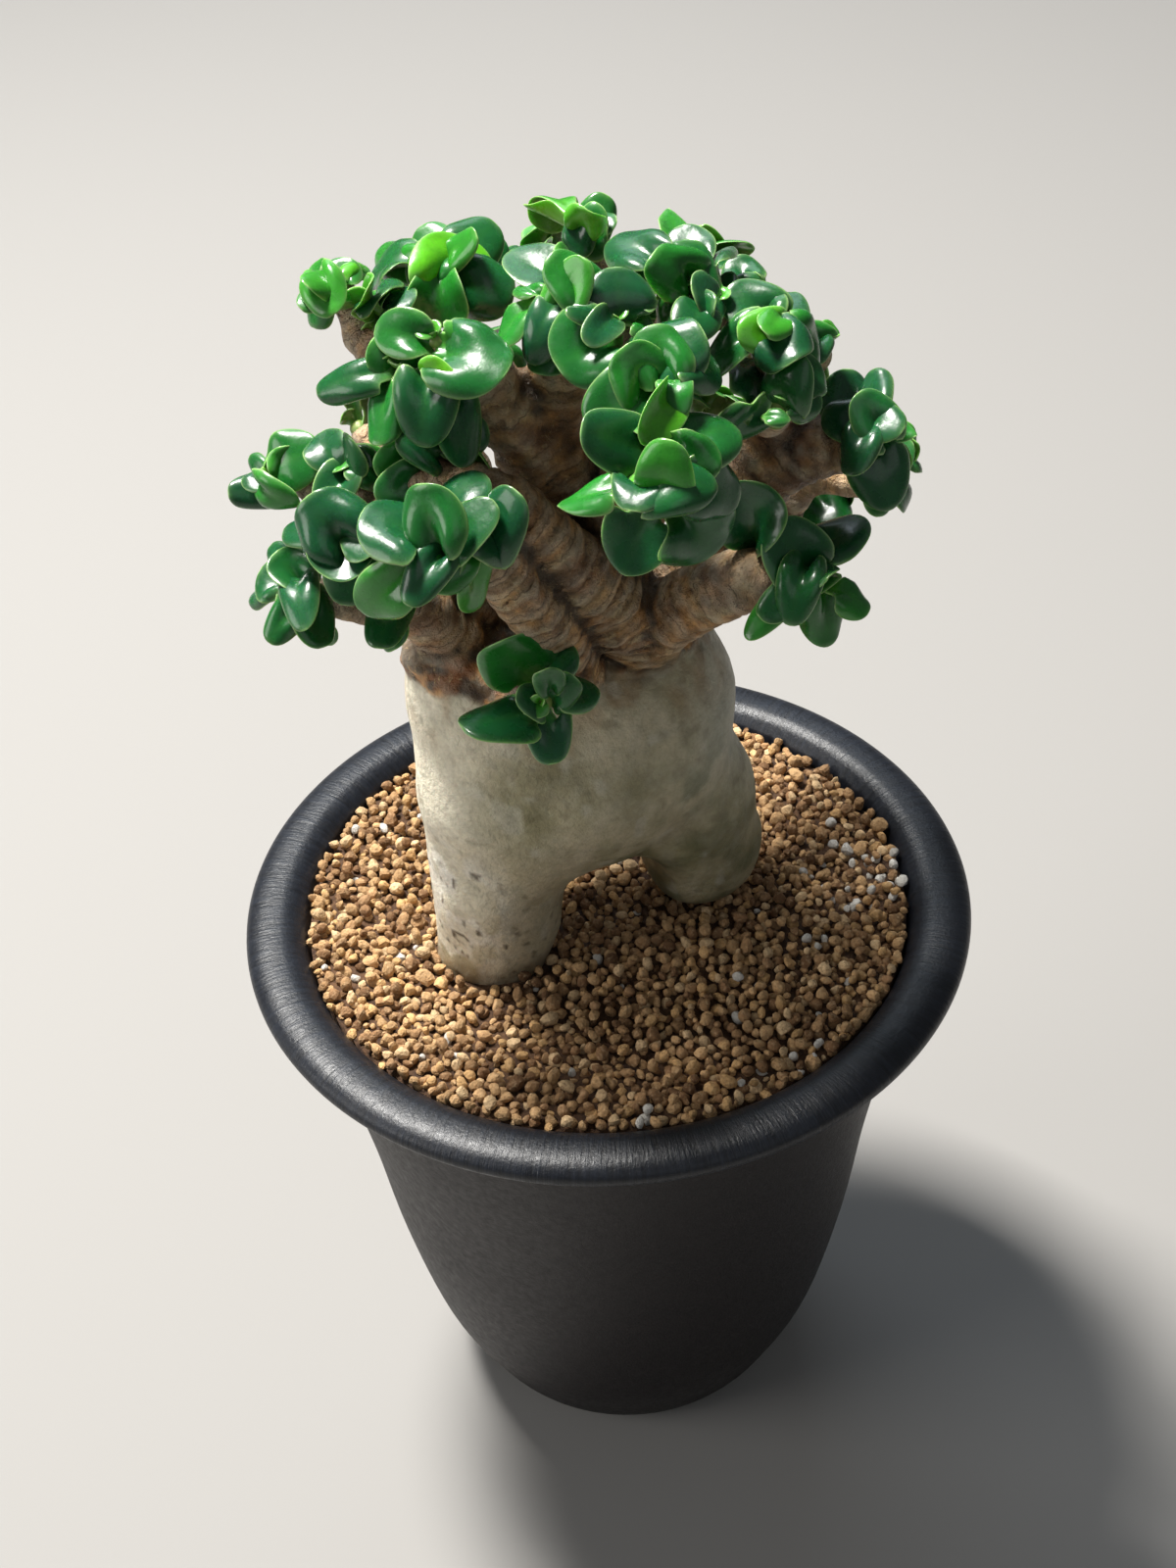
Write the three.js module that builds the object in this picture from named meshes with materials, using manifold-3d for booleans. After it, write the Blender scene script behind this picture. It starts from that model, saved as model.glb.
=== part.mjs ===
// Adenium arabicum grown as a bonsai, in a round moulded pot.
// Millimetres, +Z up. The origin is the centre of the face that the pot stands on.
//
// pot            one moulded plastic pot: flat foot ring, rounded heel, tapered wall, rolled rim, drain hole
// soil           the packed granules that fill the pot, with two sockets for the feet of the plant
// caudex         the woody plant: two feet, swollen stem, cut stub and every branch, grown as one piece
// leaf_rosette_* the leaves of one growing tip on their soft green shoot

import * as THREE from 'three';
import { mergeVertices } from 'three/addons/utils/BufferGeometryUtils.js';
import Module from 'manifold-3d';

const wasm = await Module();
wasm.setup();

// ---------------------------------------------------------------- driving dimensions
const RIM_R = 52.5;          // outer radius of the rolled rim
const RIM_Z = 94.57;         // height of the middle of the rolled rim
const RIM_BEAD = [4.2, 2.17];// half width and half height of the rolled rim
const WALL = 1.7;            // wall of the pot
const FOOT_R = 23.4;         // outer radius of the flat foot ring
const FOOT_IN = 19.6;        // inner radius of the flat foot ring
const RECESS = 2.4;          // how far the bottom plate sits above the foot
const DRAIN_R = 6.0;         // drain hole
const SOIL_Z = 95.0;         // soil level round the plant
const GAP = 0.3;             // gap between touching pieces
const POT_SEG = 40;          // segments round the pot
const BODY_CELL = 4.6;       // cell of the stem's surface net
const LEAF_T = 1.1;          // leaf thickness at the midrib
const LEAF_ROWS = [0.04, 0.38, 0.66, 0.90]; // cross-sections of a leaf between its base and its tip
const SHOOT_R = 1.5;         // soft shoot tip in the middle of a rosette

// ---------------------------------------------------------------- colours
const COL = {
  pot: [0x2b2b2e, 0.62], soil: [0xa9824f, 0.95], wood: [0xa59d80, 0.85], leaf: [0x1f6a33, 0.22],
};

// one row per growing tip: number, base point, outward direction
const ROSETTES = [
  [1,-27.96,8,190.37,-0.752,0.1,0.652],
  [2,-14.81,11.67,189.6,-0.243,0.192,0.951],
  [3,-15.62,-8.38,191.63,-0.248,-0.133,0.959],
  [4,-20.77,-7.83,188.6,-0.34,-0.128,0.932],
  [5,-17.69,-12,178.52,-0.36,-0.244,0.9],
  [6,2.3,11.96,189.51,0.038,0.22,0.975],
  [7,-1.48,-7.57,194.73,-0.023,-0.118,0.993],
  [8,4.6,-9.77,193.03,0.074,-0.157,0.985],
  [9,12.55,-1.33,192.11,0.203,-0.022,0.979],
  [10,16.27,-3.34,191.17,0.263,-0.054,0.963],
  [11,21.55,3.99,187.56,0.36,0.067,0.93],
  [12,23.33,-5.95,188.29,0.378,-0.096,0.921],
  [13,29.36,1.41,182.37,0.503,0.024,0.864],
  [14,9.61,-16.76,189.16,0.159,-0.277,0.948],
  [15,8.35,-24.23,184.7,0.143,-0.414,0.899],
  [16,22.81,-11.4,182.42,0.408,-0.204,0.89],
  [17,35.1,-4,173.2,0.652,-0.074,0.754],
  [18,26.8,-14,159.68,0.698,-0.365,0.616],
  [19,-35.91,-4,173.34,-0.814,-0.153,0.56],
  [20,-26.99,-10,176.28,-0.523,-0.194,0.83],
  [21,-26.17,-16,171.37,-0.542,-0.331,0.772],
  [22,-15.96,-23,173.78,-0.329,-0.474,0.817],
  [23,-33.84,-13,161.52,-0.861,-0.269,0.431],
  [24,-23.25,-14,159.67,-0.68,-0.68,0.272],
  [25,-6.29,-22,150.32,-0.247,-0.862,0.443],
  [26,17,25,179,0.181,0.538,0.823],
  [27,-3,28,181,-0.12,0.495,0.861],
  [28,-20,23,180,-0.278,0.459,0.844],
  [29,8,33,167,0.145,0.683,0.715],
  [30,-13,32,165,-0.396,0.703,0.591],
  [31,26,27,163,0.429,0.724,0.54],
  [32,-29,24,161,-0.576,0.511,0.637],
  [33,38,8,160,0.756,0.103,0.646],
  [34,17,33,153,0.49,0.711,0.505],
  [35,-23,5,186,-0.542,0.13,0.83],
  [36,30,20,150,0.786,0.543,0.296],
];
// one row per leaf: tip number, base point, end point, upper-face direction, flat width, roll, curl, youth, two outline
// exponents, twist, sideways bow, base channel, backward lobe
const LEAVES = [
  [1,-28.05,8.45,188.37,-31.08,0.85,195.76,0.779,0.249,0.576,5.7,64.16,59.67,0.57,1.07,0.72,1.96,0,-87.3,0.33],
  [1,-29.33,9.36,190.08,-31.37,7.16,186.39,-0.633,-0.46,0.623,6.76,48.86,40.19,0.27,1.24,0.72,0.22,0,-168.61,0.96],
  [1,-29.37,8.32,189.48,-30.4,13.28,192.33,-0.678,-0.467,0.568,3.82,-57.74,30.33,0.49,1.16,0.72,4.23,0,-123.29,0.29],
  [1,-27.85,7.06,191.18,-26.91,9.89,194.19,-0.189,-0.686,0.703,5.62,15.85,18.64,0.37,0.9,0.72,-2.95,0,-119.66,0.43],
  [1,-28.39,9.16,190.86,-24.51,12.11,191.27,-0.302,0.27,0.914,9.75,84.4,93.43,0.74,1.1,0.72,9.65,0,-126.66,0.54],
  [1,-29.37,8.42,193.08,-28.08,0.12,191.9,-0.38,-0.189,0.905,6.08,32.16,59.16,0.56,1.21,0.72,-5.14,0,-230,0.52],
  [1,-29.21,8.17,191.46,-29.64,10.05,189.97,-0.818,0.232,0.526,5,20,60,0.3,1.2,0.72,0,0,-230,0.6],
  [2,-16.21,12.31,190.48,-25.06,14.3,187.37,-0.29,0.179,0.94,10.47,2.59,64.87,0.16,1.16,0.72,-19.69,0,-108.4,0.17],
  [2,-16.03,11.79,190.25,-23.62,21.27,189.26,-0.739,-0.552,0.386,7.33,85,52.72,0.48,1.25,0.72,35,0,-49.5,0.48],
  [2,-14.3,11.45,189.17,-17.73,19.14,193.19,-0.267,-0.538,0.8,7.12,3.81,1.16,0.33,1.18,0.72,-1.92,0,-66.86,0.95],
  [2,-15.48,10.68,188.37,-13.46,13.97,194.22,0.251,-0.878,0.407,11.68,-4.94,64.59,0.82,1.06,0.72,1.77,0,-116.85,0.6],
  [2,-15.45,11.84,189.29,-8.51,20.88,190.27,0.316,-0.338,0.887,10,61.95,6.09,0.17,1.05,0.72,-0.02,0,-30,0.38],
  [2,-15.39,11.07,190.22,-6.87,7.65,189.06,-0.269,-0.833,0.484,10.28,85,52.2,0.12,1.35,0.72,-17.06,0,-30,0.2],
  [2,-15.74,12,191.76,-16.04,6.06,186.02,-0.028,-0.695,0.719,9.78,-61.06,61.81,0.44,1.16,0.72,10.56,0,-124.55,0],
  [2,-15.6,12.33,190.3,-17.8,9.01,189.16,-0.205,-0.194,0.959,7.7,24.82,81.17,0.3,1.28,0.72,-13.53,0,-230,0.59],
  [3,-16.72,-8.48,189.83,-7.67,-15.4,192.09,-0.423,-0.272,0.864,10.98,46.7,51.35,0.2,0.9,0.72,-6.16,0,-124.49,0.27],
  [3,-14.98,-9.09,191.12,-22.74,-7.51,194.11,0.157,-0.646,0.747,6.42,-13.09,49.72,0.29,1.02,0.72,-19.21,0,-134.37,0.34],
  [3,-16.44,-9.81,190.51,-18.3,-16.86,183.74,-0.002,-0.693,0.721,8.25,27.51,64.88,0.09,1,0.72,13.88,0,-129.06,0.71],
  [3,-15.89,-8.52,192.69,-13.44,-15.62,179.86,0.132,-0.857,0.499,6.4,30,40,0.08,1.2,0.72,0,0,-115.02,0.6],
  [3,-14.09,-14.36,188.77,-17.15,-13.03,193.11,-0.524,-0.844,-0.112,5.63,15.67,16.82,0.91,0.97,0.72,8.34,0,-97.7,0.89],
  [3,-16.57,-8.15,193.32,-9,-13.21,190.39,-0.384,-0.82,0.424,6.15,29.31,5.19,0.52,1.25,0.72,-35,0,-122.69,1],
  [4,-20.2,-6.97,189.33,-22.96,-7.84,193.13,0.467,-0.873,0.141,8.24,38.97,71.56,0.42,1.11,0.72,7.64,0,-43.23,0.76],
  [4,-20.21,-9.36,189.22,-30.31,-8.35,186.53,-0.267,-0.535,0.801,6.31,83.77,47.84,0.1,1.18,0.72,-3.91,0,-65.6,0.71],
  [4,-21.2,-8.31,189.38,-23.15,-15.91,183.65,-0.551,-0.409,0.728,5.99,75.65,6.98,0.29,1.22,0.72,-15.18,0,-149.08,0.6],
  [4,-20.81,-7.64,189.76,-24.99,-6.54,188.16,-0.343,0.065,0.937,3.5,59.34,44.58,0.28,1.29,0.72,-8.47,0,-105.58,0.48],
  [4,-21.57,-8.67,190.99,-18.41,-9.27,185.54,0.737,-0.476,0.48,6.56,14.11,52.65,0.35,1.05,0.72,12.98,0,-212.24,0.54],
  [5,-17.44,-12.41,177.48,-24.24,-16.72,177.09,0.407,-0.695,0.593,5.97,12.01,49.48,0.2,1.11,0.72,-4.85,0,-133.49,0.69],
  [5,-18.04,-11.21,178.31,-21.15,-14.59,184.07,0.787,-0.613,0.065,5.48,81.29,115,0.09,1.3,0.72,13.06,0,-230,0.82],
  [5,-18.92,-11.32,180.03,-24.23,-13.6,178.81,0.296,-0.884,0.363,5.32,19.99,31.45,0.41,1.25,0.72,-1.8,0,-82.45,0.54],
  [6,2.09,12.27,193.96,-5.1,15.7,196.65,0.452,0.282,0.846,6.39,-54.54,8.22,0.98,1.3,0.72,8.56,0,-93.98,0.02],
  [6,2.91,14.04,194.02,5.08,15.56,197.32,-0.102,-0.877,0.469,5.82,54.89,36.75,0.3,1.09,0.72,5.59,0,-67.01,0.96],
  [6,2,13.46,194.41,2.48,8.48,199.04,-0.457,-0.628,-0.629,6.46,85,40.82,0.72,1.33,0.72,-2.38,0,-230,0.3],
  [6,1.64,13.38,193.63,4.77,10.27,195.31,-0.745,-0.541,0.391,7.34,18.33,19.26,0.26,1.04,0.72,7.91,0,-114.09,0.11],
  [6,2.28,13.89,193.12,6,12.26,195.71,-0.627,-0.534,0.567,4.25,29.43,49.72,0.16,0.97,0.72,-21.2,0,-195.38,0.17],
  [6,0.89,13.99,195.47,-2.12,21.61,189.62,-0.178,0.554,0.813,6.44,1.52,89.83,0.58,1.35,0.72,29.85,0,-55.57,0],
  [6,1.96,14.58,194.73,1.48,8.79,192.58,-0.275,-0.314,0.908,4.74,59.52,94.25,0.06,1.33,0.72,-1.13,0,-230,0.12],
  [7,1.57,-7.55,193.86,-2.53,-6.72,201.26,0.668,-0.602,0.438,7.44,49.02,67.16,0.41,0.93,0.72,-19.03,0,-127.8,0.56],
  [7,-1.46,-6.53,191.8,1.55,-8.37,201.69,-0.571,-0.821,0.021,6.57,6.26,42.68,0.57,0.9,0.72,-10.98,0,-230,0.88],
  [7,-1.2,-7.54,194.69,-0.67,-0.83,199.71,0.863,-0.344,0.369,5.35,25.47,30.87,0.57,1.06,0.72,6.36,0,-172.3,0.28],
  [7,-0.16,-5.65,195.84,-6.94,1.58,197.96,-0.079,-0.349,0.934,7.15,-30.13,13.54,0.11,1.21,0.72,1.88,0,-53.62,0.51],
  [7,-0.76,-6.66,196.25,-4.97,-11.67,190.38,-0.249,-0.642,0.726,5.82,61.96,84.35,0.02,1.19,0.72,-7.64,0,-58.11,0.77],
  [7,-3.67,-6.14,196.1,-9.93,-9.23,190.65,-0.53,-0.315,0.787,6.39,47.71,17.15,0.45,1.33,1,31.59,0,-84.96,0.13],
  [7,-2.63,-7.86,195.72,-6.44,-4.26,196.29,-0.073,-0.229,0.971,3.73,53.09,42.31,0.42,1.28,0.72,10.18,0,-230,0.35],
  [8,4.78,-10.85,192.89,-2.25,-14.94,191.74,0.172,-0.529,0.831,10.9,-3.06,42.29,0.25,1.04,0.72,-2.21,0,-141.73,0.37],
  [8,5.32,-10.11,193.25,4.92,-6.91,199.55,0.092,-0.885,0.455,8.56,19.36,61.17,0.02,1.24,0.72,3.8,0,-30,0.38],
  [8,3.97,-9.82,194.08,-0.96,-12.5,197.53,0.623,-0.701,0.347,3.44,54.08,53.3,0.09,1.23,0.72,35,0,-30.94,0.78],
  [8,5.03,-8.84,194.45,0.99,-15.2,194.71,0.477,-0.269,0.837,4.52,-30.99,50.02,0.02,1.4,0.72,-7.23,0,-73.58,0.57],
  [8,5.55,-10.18,194.41,8.89,-9.11,193.54,0.321,-0.264,0.91,6.61,24.2,7.09,0.36,1.17,0.72,-3.2,0,-136.31,0.6],
  [8,4.99,-9.78,194.96,6.58,-3.59,194.16,0.07,0.11,0.992,8.45,22.76,59.72,0.17,1.3,0.72,-4.36,0,-30.9,0.72],
  [9,11.22,-0.41,192.22,9.26,-3.98,199.32,0.706,-0.692,-0.153,9.37,85,79.89,0.41,1.4,0.72,15.68,-2,-227.76,0.74],
  [9,13.65,-1.02,191.39,14.04,1.84,197.86,-0.095,-0.908,0.407,7.73,26.44,84.28,0.2,1.28,0.72,6.81,0,-67.44,1],
  [9,13.55,-1.51,193.43,4.91,6.64,196,-0.175,-0.46,0.871,7.74,37.82,54.69,0.05,1.05,0.72,9.93,0,-154.11,0.17],
  [9,12.77,-1.36,193.19,12.15,13.37,196.13,0.308,-0.174,0.935,4.6,-25,20,0.5,1.2,1.15,0,0,-53.63,0.15],
  [9,11.98,-0.14,194.31,6.07,-1.62,193.4,-0.088,-0.24,0.967,6.59,7.93,1.88,0.25,1.08,0.72,9.52,0,-230,0.27],
  [9,13.08,-3.71,194.03,9.98,-3.55,188.84,-0.543,-0.784,0.301,4.52,57.77,50.46,0.39,1.31,0.72,8.61,0,-224.33,0.79],
  [10,15.89,-1.67,192.08,13.06,7.12,196.94,-0.081,-0.502,0.861,6.84,-10.14,10.57,0.02,1.17,0.72,0.77,0,-125.93,0.07],
  [10,17.02,-2.93,192.78,18.87,7.58,193.42,-0.605,0.059,0.794,5.38,73.84,49.62,0.02,1.17,0.72,12.32,0,-202.58,0.63],
  [10,17.85,-2.64,191.74,13.53,-7.12,195.94,0.802,-0.28,0.528,6.37,1.67,22.67,0.06,1.27,0.72,4.54,0,-39.14,0.08],
  [10,16.56,-3.04,191.33,16.16,-8.47,194.92,-0.998,0.054,-0.03,4.92,45.03,80.76,0.12,1.24,0.72,-11.64,0,-169.6,0.85],
  [10,15.04,-4.07,191.51,12.71,-11.4,192.09,0.21,0.011,0.978,6.03,14.77,83.39,0.11,1.03,0.72,-25.55,0,-51.12,0],
  [10,17.01,-4.49,191.84,18.58,2.91,192.84,-0.048,-0.124,0.991,3.39,13.05,0,0.04,1.4,0.72,-0.14,0,-49.5,0.16],
  [11,21.54,4.78,187.8,20.11,10.41,190.94,-0.066,-0.499,0.864,5.87,5.87,0,0.1,1.35,0.72,-3.97,0,-205.62,0.66],
  [11,21.43,5,187.68,23.37,11.96,187.85,0.702,-0.213,0.68,5.03,49.37,0,0.19,1.16,0.72,6.04,0,-187.52,0.33],
  [11,21.67,4.24,188.51,18.94,5.16,190.27,0.119,-0.793,0.598,5.54,12.14,43.01,0.14,1.4,0.72,9.22,0,-92.36,0.68],
  [11,21.93,3.82,188.93,24.48,8.18,186.94,0.698,-0.085,0.711,5.83,9.27,8.5,0.12,0.98,0.72,-6.56,0,-211.38,0.72],
  [12,24.21,-4.75,187.71,17.72,-1.97,193.18,0.273,-0.688,0.673,7.76,-3.59,50.46,0.12,0.9,0.72,-3.09,0,-130.52,0.48],
  [12,24.08,-6.76,188.73,26.02,3.2,189.49,0.209,-0.116,0.971,5.65,1.93,3.23,0.05,1.04,0.72,-12.93,0,-141.57,0.82],
  [12,23.77,-5.93,188,28.23,-2.6,187.92,0.594,-0.793,0.138,10.59,85,101.91,0.33,1.4,0.72,-11.19,0,-201.45,0.63],
  [12,23.28,-6.28,188.71,21.16,-1.75,191.19,-0.251,-0.551,0.796,7.9,29.33,36.83,0.17,1.19,0.72,-31.81,0,-221.39,0.39],
  [12,22.38,-5.27,188.39,18.38,-9.82,192.02,0.823,-0.477,0.308,6.46,30.45,99.81,0.75,1,0.72,-2.76,0,-153.94,0.73],
  [12,22.74,-6.64,189.23,24.29,-13.72,189.77,-0.287,0.01,0.958,8.65,85,46.94,0.02,0.94,0.72,16.88,0,-230,0.29],
  [12,24.27,-4.78,189.22,14.76,-8.44,185.83,-0.147,-0.439,0.886,6.26,2.9,69.46,0.2,1.13,0.72,11.47,0,-212.23,0.94],
  [12,24.14,-5.7,189.18,21.53,-12.14,192.73,0.398,0.313,0.862,4.92,42.15,71.3,0.59,1.05,0.72,-21.41,0,-137.98,0.3],
  [13,30.05,0.21,182.91,30.31,4.02,183.26,-0.551,-0.039,0.834,3.89,84.44,80.34,0.1,1.31,0.72,-13.48,0,-102.9,0.48],
  [13,27.67,1.7,183.56,29.85,0.07,183.12,0.032,-0.221,0.975,5,57.4,52.71,0.2,1.15,0.72,1.71,0,-230,0.4],
  [13,29.12,1.58,183.58,28.03,-4.17,184.03,0.357,0.005,0.934,3.94,67.25,72.76,0.07,1.2,0.72,10.74,0,-223.31,0.86],
  [13,30.47,0.96,183.06,27.63,0.34,186.35,0.44,-0.872,0.216,4.32,67.23,50.9,0.44,1.03,0.72,-15.49,0,-86.34,0.68],
  [14,7.48,-17.15,189.38,5.05,-17.44,195.33,0.503,-0.849,0.164,8.15,19.16,45.5,0.45,1.13,0.72,-10.66,0,-116.99,0.98],
  [14,8.38,-16.12,190,0.65,-20.47,187.34,0.197,-0.741,0.641,8.33,18.58,62.44,0.27,0.9,0.72,0.06,0,-49.5,0.62],
  [14,10.18,-17,189.74,6.21,-26.88,189.09,0.652,-0.308,0.693,6.22,-48.57,45.1,0.77,1.09,0.72,-26.25,0,-91.74,0.52],
  [14,8.13,-15.46,190.91,14.22,-15.41,195.6,-0.492,-0.585,0.645,10.86,67.68,28.87,0.09,1.2,0.72,2.09,0,-128.31,0.79],
  [14,10.17,-17.2,189.98,8.76,-14.23,196.12,-0.146,-0.903,0.403,7.92,29.77,48.17,0.3,1.16,0.72,10.21,0,-230,0.73],
  [14,9.58,-16.07,191.62,16.22,-15.08,189.36,0.346,-0.242,0.907,8.84,50.43,68.44,0.11,1.18,0.72,2.77,0,-124.13,0.56],
  [14,10.54,-17.32,190.99,10.86,-22.68,189.1,-0.068,-0.336,0.939,4.37,31.74,77.12,0.39,1.18,0.72,6.24,0,-49.5,0.77],
  [15,8.92,-25.57,184.98,12.68,-19.33,186.34,0.347,-0.395,0.851,11.52,58.24,12.29,0.48,1.22,0.72,-3.48,0,-196.23,0.58],
  [15,8.81,-24.88,183.82,17.38,-20.67,186.15,-0.052,-0.401,0.915,9.07,38.22,67.06,0.22,1.18,0.72,-0.99,0,-90.83,0.47],
  [15,7.69,-24.46,184.68,17.28,-25.19,179.48,0.118,-0.93,0.348,9.92,85,71.8,0.09,1.11,0.72,-12.63,0,-214.98,0.24],
  [15,9.1,-28.34,182.47,9.12,-29.56,190.82,-0.323,-0.937,-0.136,7.17,29.73,61.88,0.55,0.9,0.72,-0.9,0,-49.5,0.71],
  [15,8.34,-23.09,184.72,-0.11,-25.58,190.4,0.539,-0.67,0.51,7.86,16.59,0,0.08,1.16,0.72,1.52,0,-30,0.71],
  [15,4.81,-27.35,183.47,-3.2,-26.85,181.28,-0.268,-0.09,0.959,7.18,60.7,8.29,0.44,1.17,1.15,12.99,0,-117.56,0.64],
  [15,5.8,-28.57,183.76,14.46,-30.26,184.49,-0.181,-0.587,0.789,9.45,85,76.07,0.14,1.3,1,-2.67,0,-73.38,0.74],
  [15,6.39,-27.52,183.59,5.17,-32.7,183.81,0.08,0.022,0.997,7.2,8.57,63.87,0.05,1.06,0.72,9.81,0,-57.54,1],
  [15,8.41,-23.35,187.27,14.45,-28.03,184.59,-0.189,-0.659,0.728,6.89,85,53.63,0.3,1.09,0.72,20.25,0,-190.09,0.05],
  [15,7.3,-23.99,179.3,3.71,-27.44,171.78,0.213,-0.923,0.321,8.94,-21,4.02,0.08,0.96,0.95,31.75,0,-33.17,0.52],
  [15,9.43,-24.23,179.03,14.29,-25.37,172.37,0.219,-0.923,0.317,10.91,16.56,44.72,0.15,1.14,0.72,9.77,0,-147.05,0.27],
  [16,19.09,-13.1,180.93,20.67,-2.17,184.06,0.71,-0.287,0.643,8.88,33.69,51.89,0.02,1.08,0.72,-24.5,0,-84.77,0.67],
  [16,23.4,-11.73,183.06,27.12,-7.98,187.53,0.163,-0.818,0.551,7.97,17.87,29.35,0.21,1.39,0.72,12.39,0,-173.46,0.19],
  [16,23.7,-11.69,183.38,28,-11.6,184.04,-0.09,-0.73,0.677,6.6,74.88,51.25,0.17,1.2,0.72,-12.26,0,-204.8,0.58],
  [16,23.74,-11.56,182.08,24.99,-11.25,190.02,-0.551,-0.826,0.119,8.4,79.61,75.96,0.19,1.31,0.72,-11.99,0,-49.5,0.68],
  [16,20.84,-13.13,182.53,24.11,-14.91,183.01,-0.334,-0.381,0.862,2.61,23.6,30.32,0.32,0.99,1.1,0.9,0,-103.55,0.47],
  [16,22.07,-11.52,184.86,16.22,-12.46,178.99,0.058,-0.993,0.101,6.56,61.99,24.36,0.14,0.95,0.72,-19.6,0,-161.15,0.33],
  [17,33.34,-4.09,171.44,33.23,2.88,178.8,0.154,-0.716,0.681,9.36,79.27,11.33,0.02,1.22,0.72,15.15,0,-180.14,0.32],
  [17,35.68,-5.02,174.3,36.11,1.12,179.66,-0.542,-0.531,0.651,6.35,54.42,34.12,0.02,1.11,0.72,-16.28,0,-179.33,0.68],
  [17,36.24,-5.42,173.16,33.31,-4.96,180.19,0.387,-0.896,0.219,6.84,16.19,51.66,0.16,0.9,0.72,0.99,0,-230,0.8],
  [17,35.27,-3.44,171.84,38.34,-8.96,177.17,-0.757,0.185,0.627,6.55,23.53,99.22,0.06,1.24,0.72,9.72,0,-84.16,0.73],
  [17,34.72,-3.64,174.88,40.38,-6.31,174.48,-0.205,-0.555,0.806,3.87,38.6,0,0.43,0.92,1.1,-7.9,0,-160.77,0.89],
  [17,36,-3.92,173.97,38.99,-0.11,174.17,0.415,-0.368,0.832,3.5,70.68,80.82,0.49,1.26,0.72,2.15,0,-106.95,0.92],
  [17,34.53,-3.79,174.87,36.97,-9.89,166.33,-0.044,-0.819,0.573,8.27,30.47,40.48,0.07,1.16,0.85,-9.03,0,-58.74,0.41],
  [17,36.22,-4.71,174.03,29.21,-3.19,176.3,0.154,-0.531,0.833,7.68,47.25,60.08,0.02,1.07,0.72,-1.07,0,-101.26,0.62],
  [17,35.58,-3.15,173.84,31.45,-11.57,172.77,0.039,-0.145,0.989,6.11,62.02,82.56,0.05,1.16,0.72,21.72,0,-194.34,0.45],
  [17,37.3,-4.61,174.38,37.58,-3.62,166.5,0.502,0.856,0.125,6.04,18.41,0,0.54,1.28,0.72,-13.73,0,-115.95,0.25],
  [18,22.19,-10.14,161,20.43,-12.21,173.31,-0.687,-0.694,-0.215,11.51,-30.51,34.31,0.08,1.15,0.72,19.81,0,-203.84,0],
  [18,26.76,-15.04,159.37,22.22,-14.45,168.46,0.568,-0.753,0.332,9.58,-14.16,21.2,0.12,1.1,0.72,-11.92,0,-95.83,0.51],
  [18,25.52,-13.85,160.79,34.47,-5.79,162.83,0.039,-0.286,0.958,8.17,31.96,36.14,0.02,1.4,0.9,-15.64,0,-68.39,0.66],
  [18,26.69,-13.65,160.89,23.55,-21.71,158.73,0.02,-0.266,0.964,6.23,41.12,115,0.15,1.03,0.72,-4.76,0,-214.57,0.86],
  [18,27.46,-14.34,160.26,18.41,-20.36,156.15,-0.103,-0.451,0.887,4.4,40,55,0.5,1.2,0.72,0,0,-106.74,0.6],
  [18,28.64,-14.88,159.01,24.18,-16.9,159.27,-0.117,0.376,0.919,7.3,24.83,0,0.33,1.36,0.72,21.06,0,-230,1],
  [18,27.84,-14.99,161.19,28.68,-17.84,152.21,0.496,-0.813,0.305,7.75,71.46,9.15,0.35,1.19,0.85,8.65,0,-205.69,0.76],
  [18,28.19,-16.56,160.27,33.59,-18.32,157.54,0.372,-0.247,0.894,6.39,85,38.78,0.49,1.19,0.72,8.87,0,-107.82,0.25],
  [18,27.37,-14.53,160.02,28.36,-20.09,164.48,-0.644,0.406,0.648,5.6,49.49,16.53,0.17,1,0.72,-11.21,0,-171.98,0.94],
  [18,29.01,-14.28,160.34,18.71,-12.95,159.2,-0.153,-0.426,0.892,7.7,9.58,36.67,0.02,1.11,0.72,3.33,0,-149.16,0.54],
  [19,-34.24,-5.32,172.46,-42.89,-6.79,172.5,0.124,-0.717,0.686,6.12,85,4.22,0.03,1.13,0.72,-8.2,0,-135.15,0.85],
  [19,-37.38,-5.28,172.66,-40.4,-1.61,174.46,-0.425,-0.655,0.625,3.43,69.67,26.86,0.18,1.37,0.72,-19.95,0,-73.72,0.48],
  [19,-37.02,-3.3,173.15,-35.44,-6.29,178.5,0.408,-0.74,-0.534,5.21,23.99,79.55,0.53,1.34,0.72,-13.92,0,-209.66,0.07],
  [19,-36.7,-4.29,174.87,-34.18,1.53,175.11,0.194,-0.124,0.973,4.6,57.34,49.28,0.35,1.13,0.72,7.44,0,-164.25,0.57],
  [19,-38.46,-5.19,174.12,-30.81,-7.02,177.91,-0.453,-0.666,0.593,7.9,9.23,49.69,0.27,1,0.72,-1.08,0,-30,0.21],
  [19,-37.71,-4.62,173.72,-38.14,-9.21,174.13,0.099,0.078,0.992,6.48,8.04,27.5,0.02,1.38,0.72,15.79,0,-76.21,0.17],
  [19,-37.91,-5.27,174.9,-33.66,-11.84,173.97,-0.829,-0.55,0.098,5.38,54.49,89.54,0.48,1.25,0.72,6.45,0,-157.81,0.66],
  [20,-27.28,-11.4,176.06,-30.87,-6.17,179.92,-0.316,-0.694,0.647,5.87,-21.87,62.73,0.05,1.08,0.72,16.12,0,-65.28,0],
  [20,-26.21,-9.87,176.79,-30.7,-15.7,175.11,-0.213,-0.116,0.97,6.12,-32.82,33.63,0.1,1.37,0.72,-30.92,0,-155.93,0.81],
  [20,-27.98,-9.26,176.15,-22.28,-10.54,176.7,-0.237,-0.908,0.346,7.72,21.07,39.42,0.43,1.29,0.72,1.99,0,-134.89,0.56],
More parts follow.
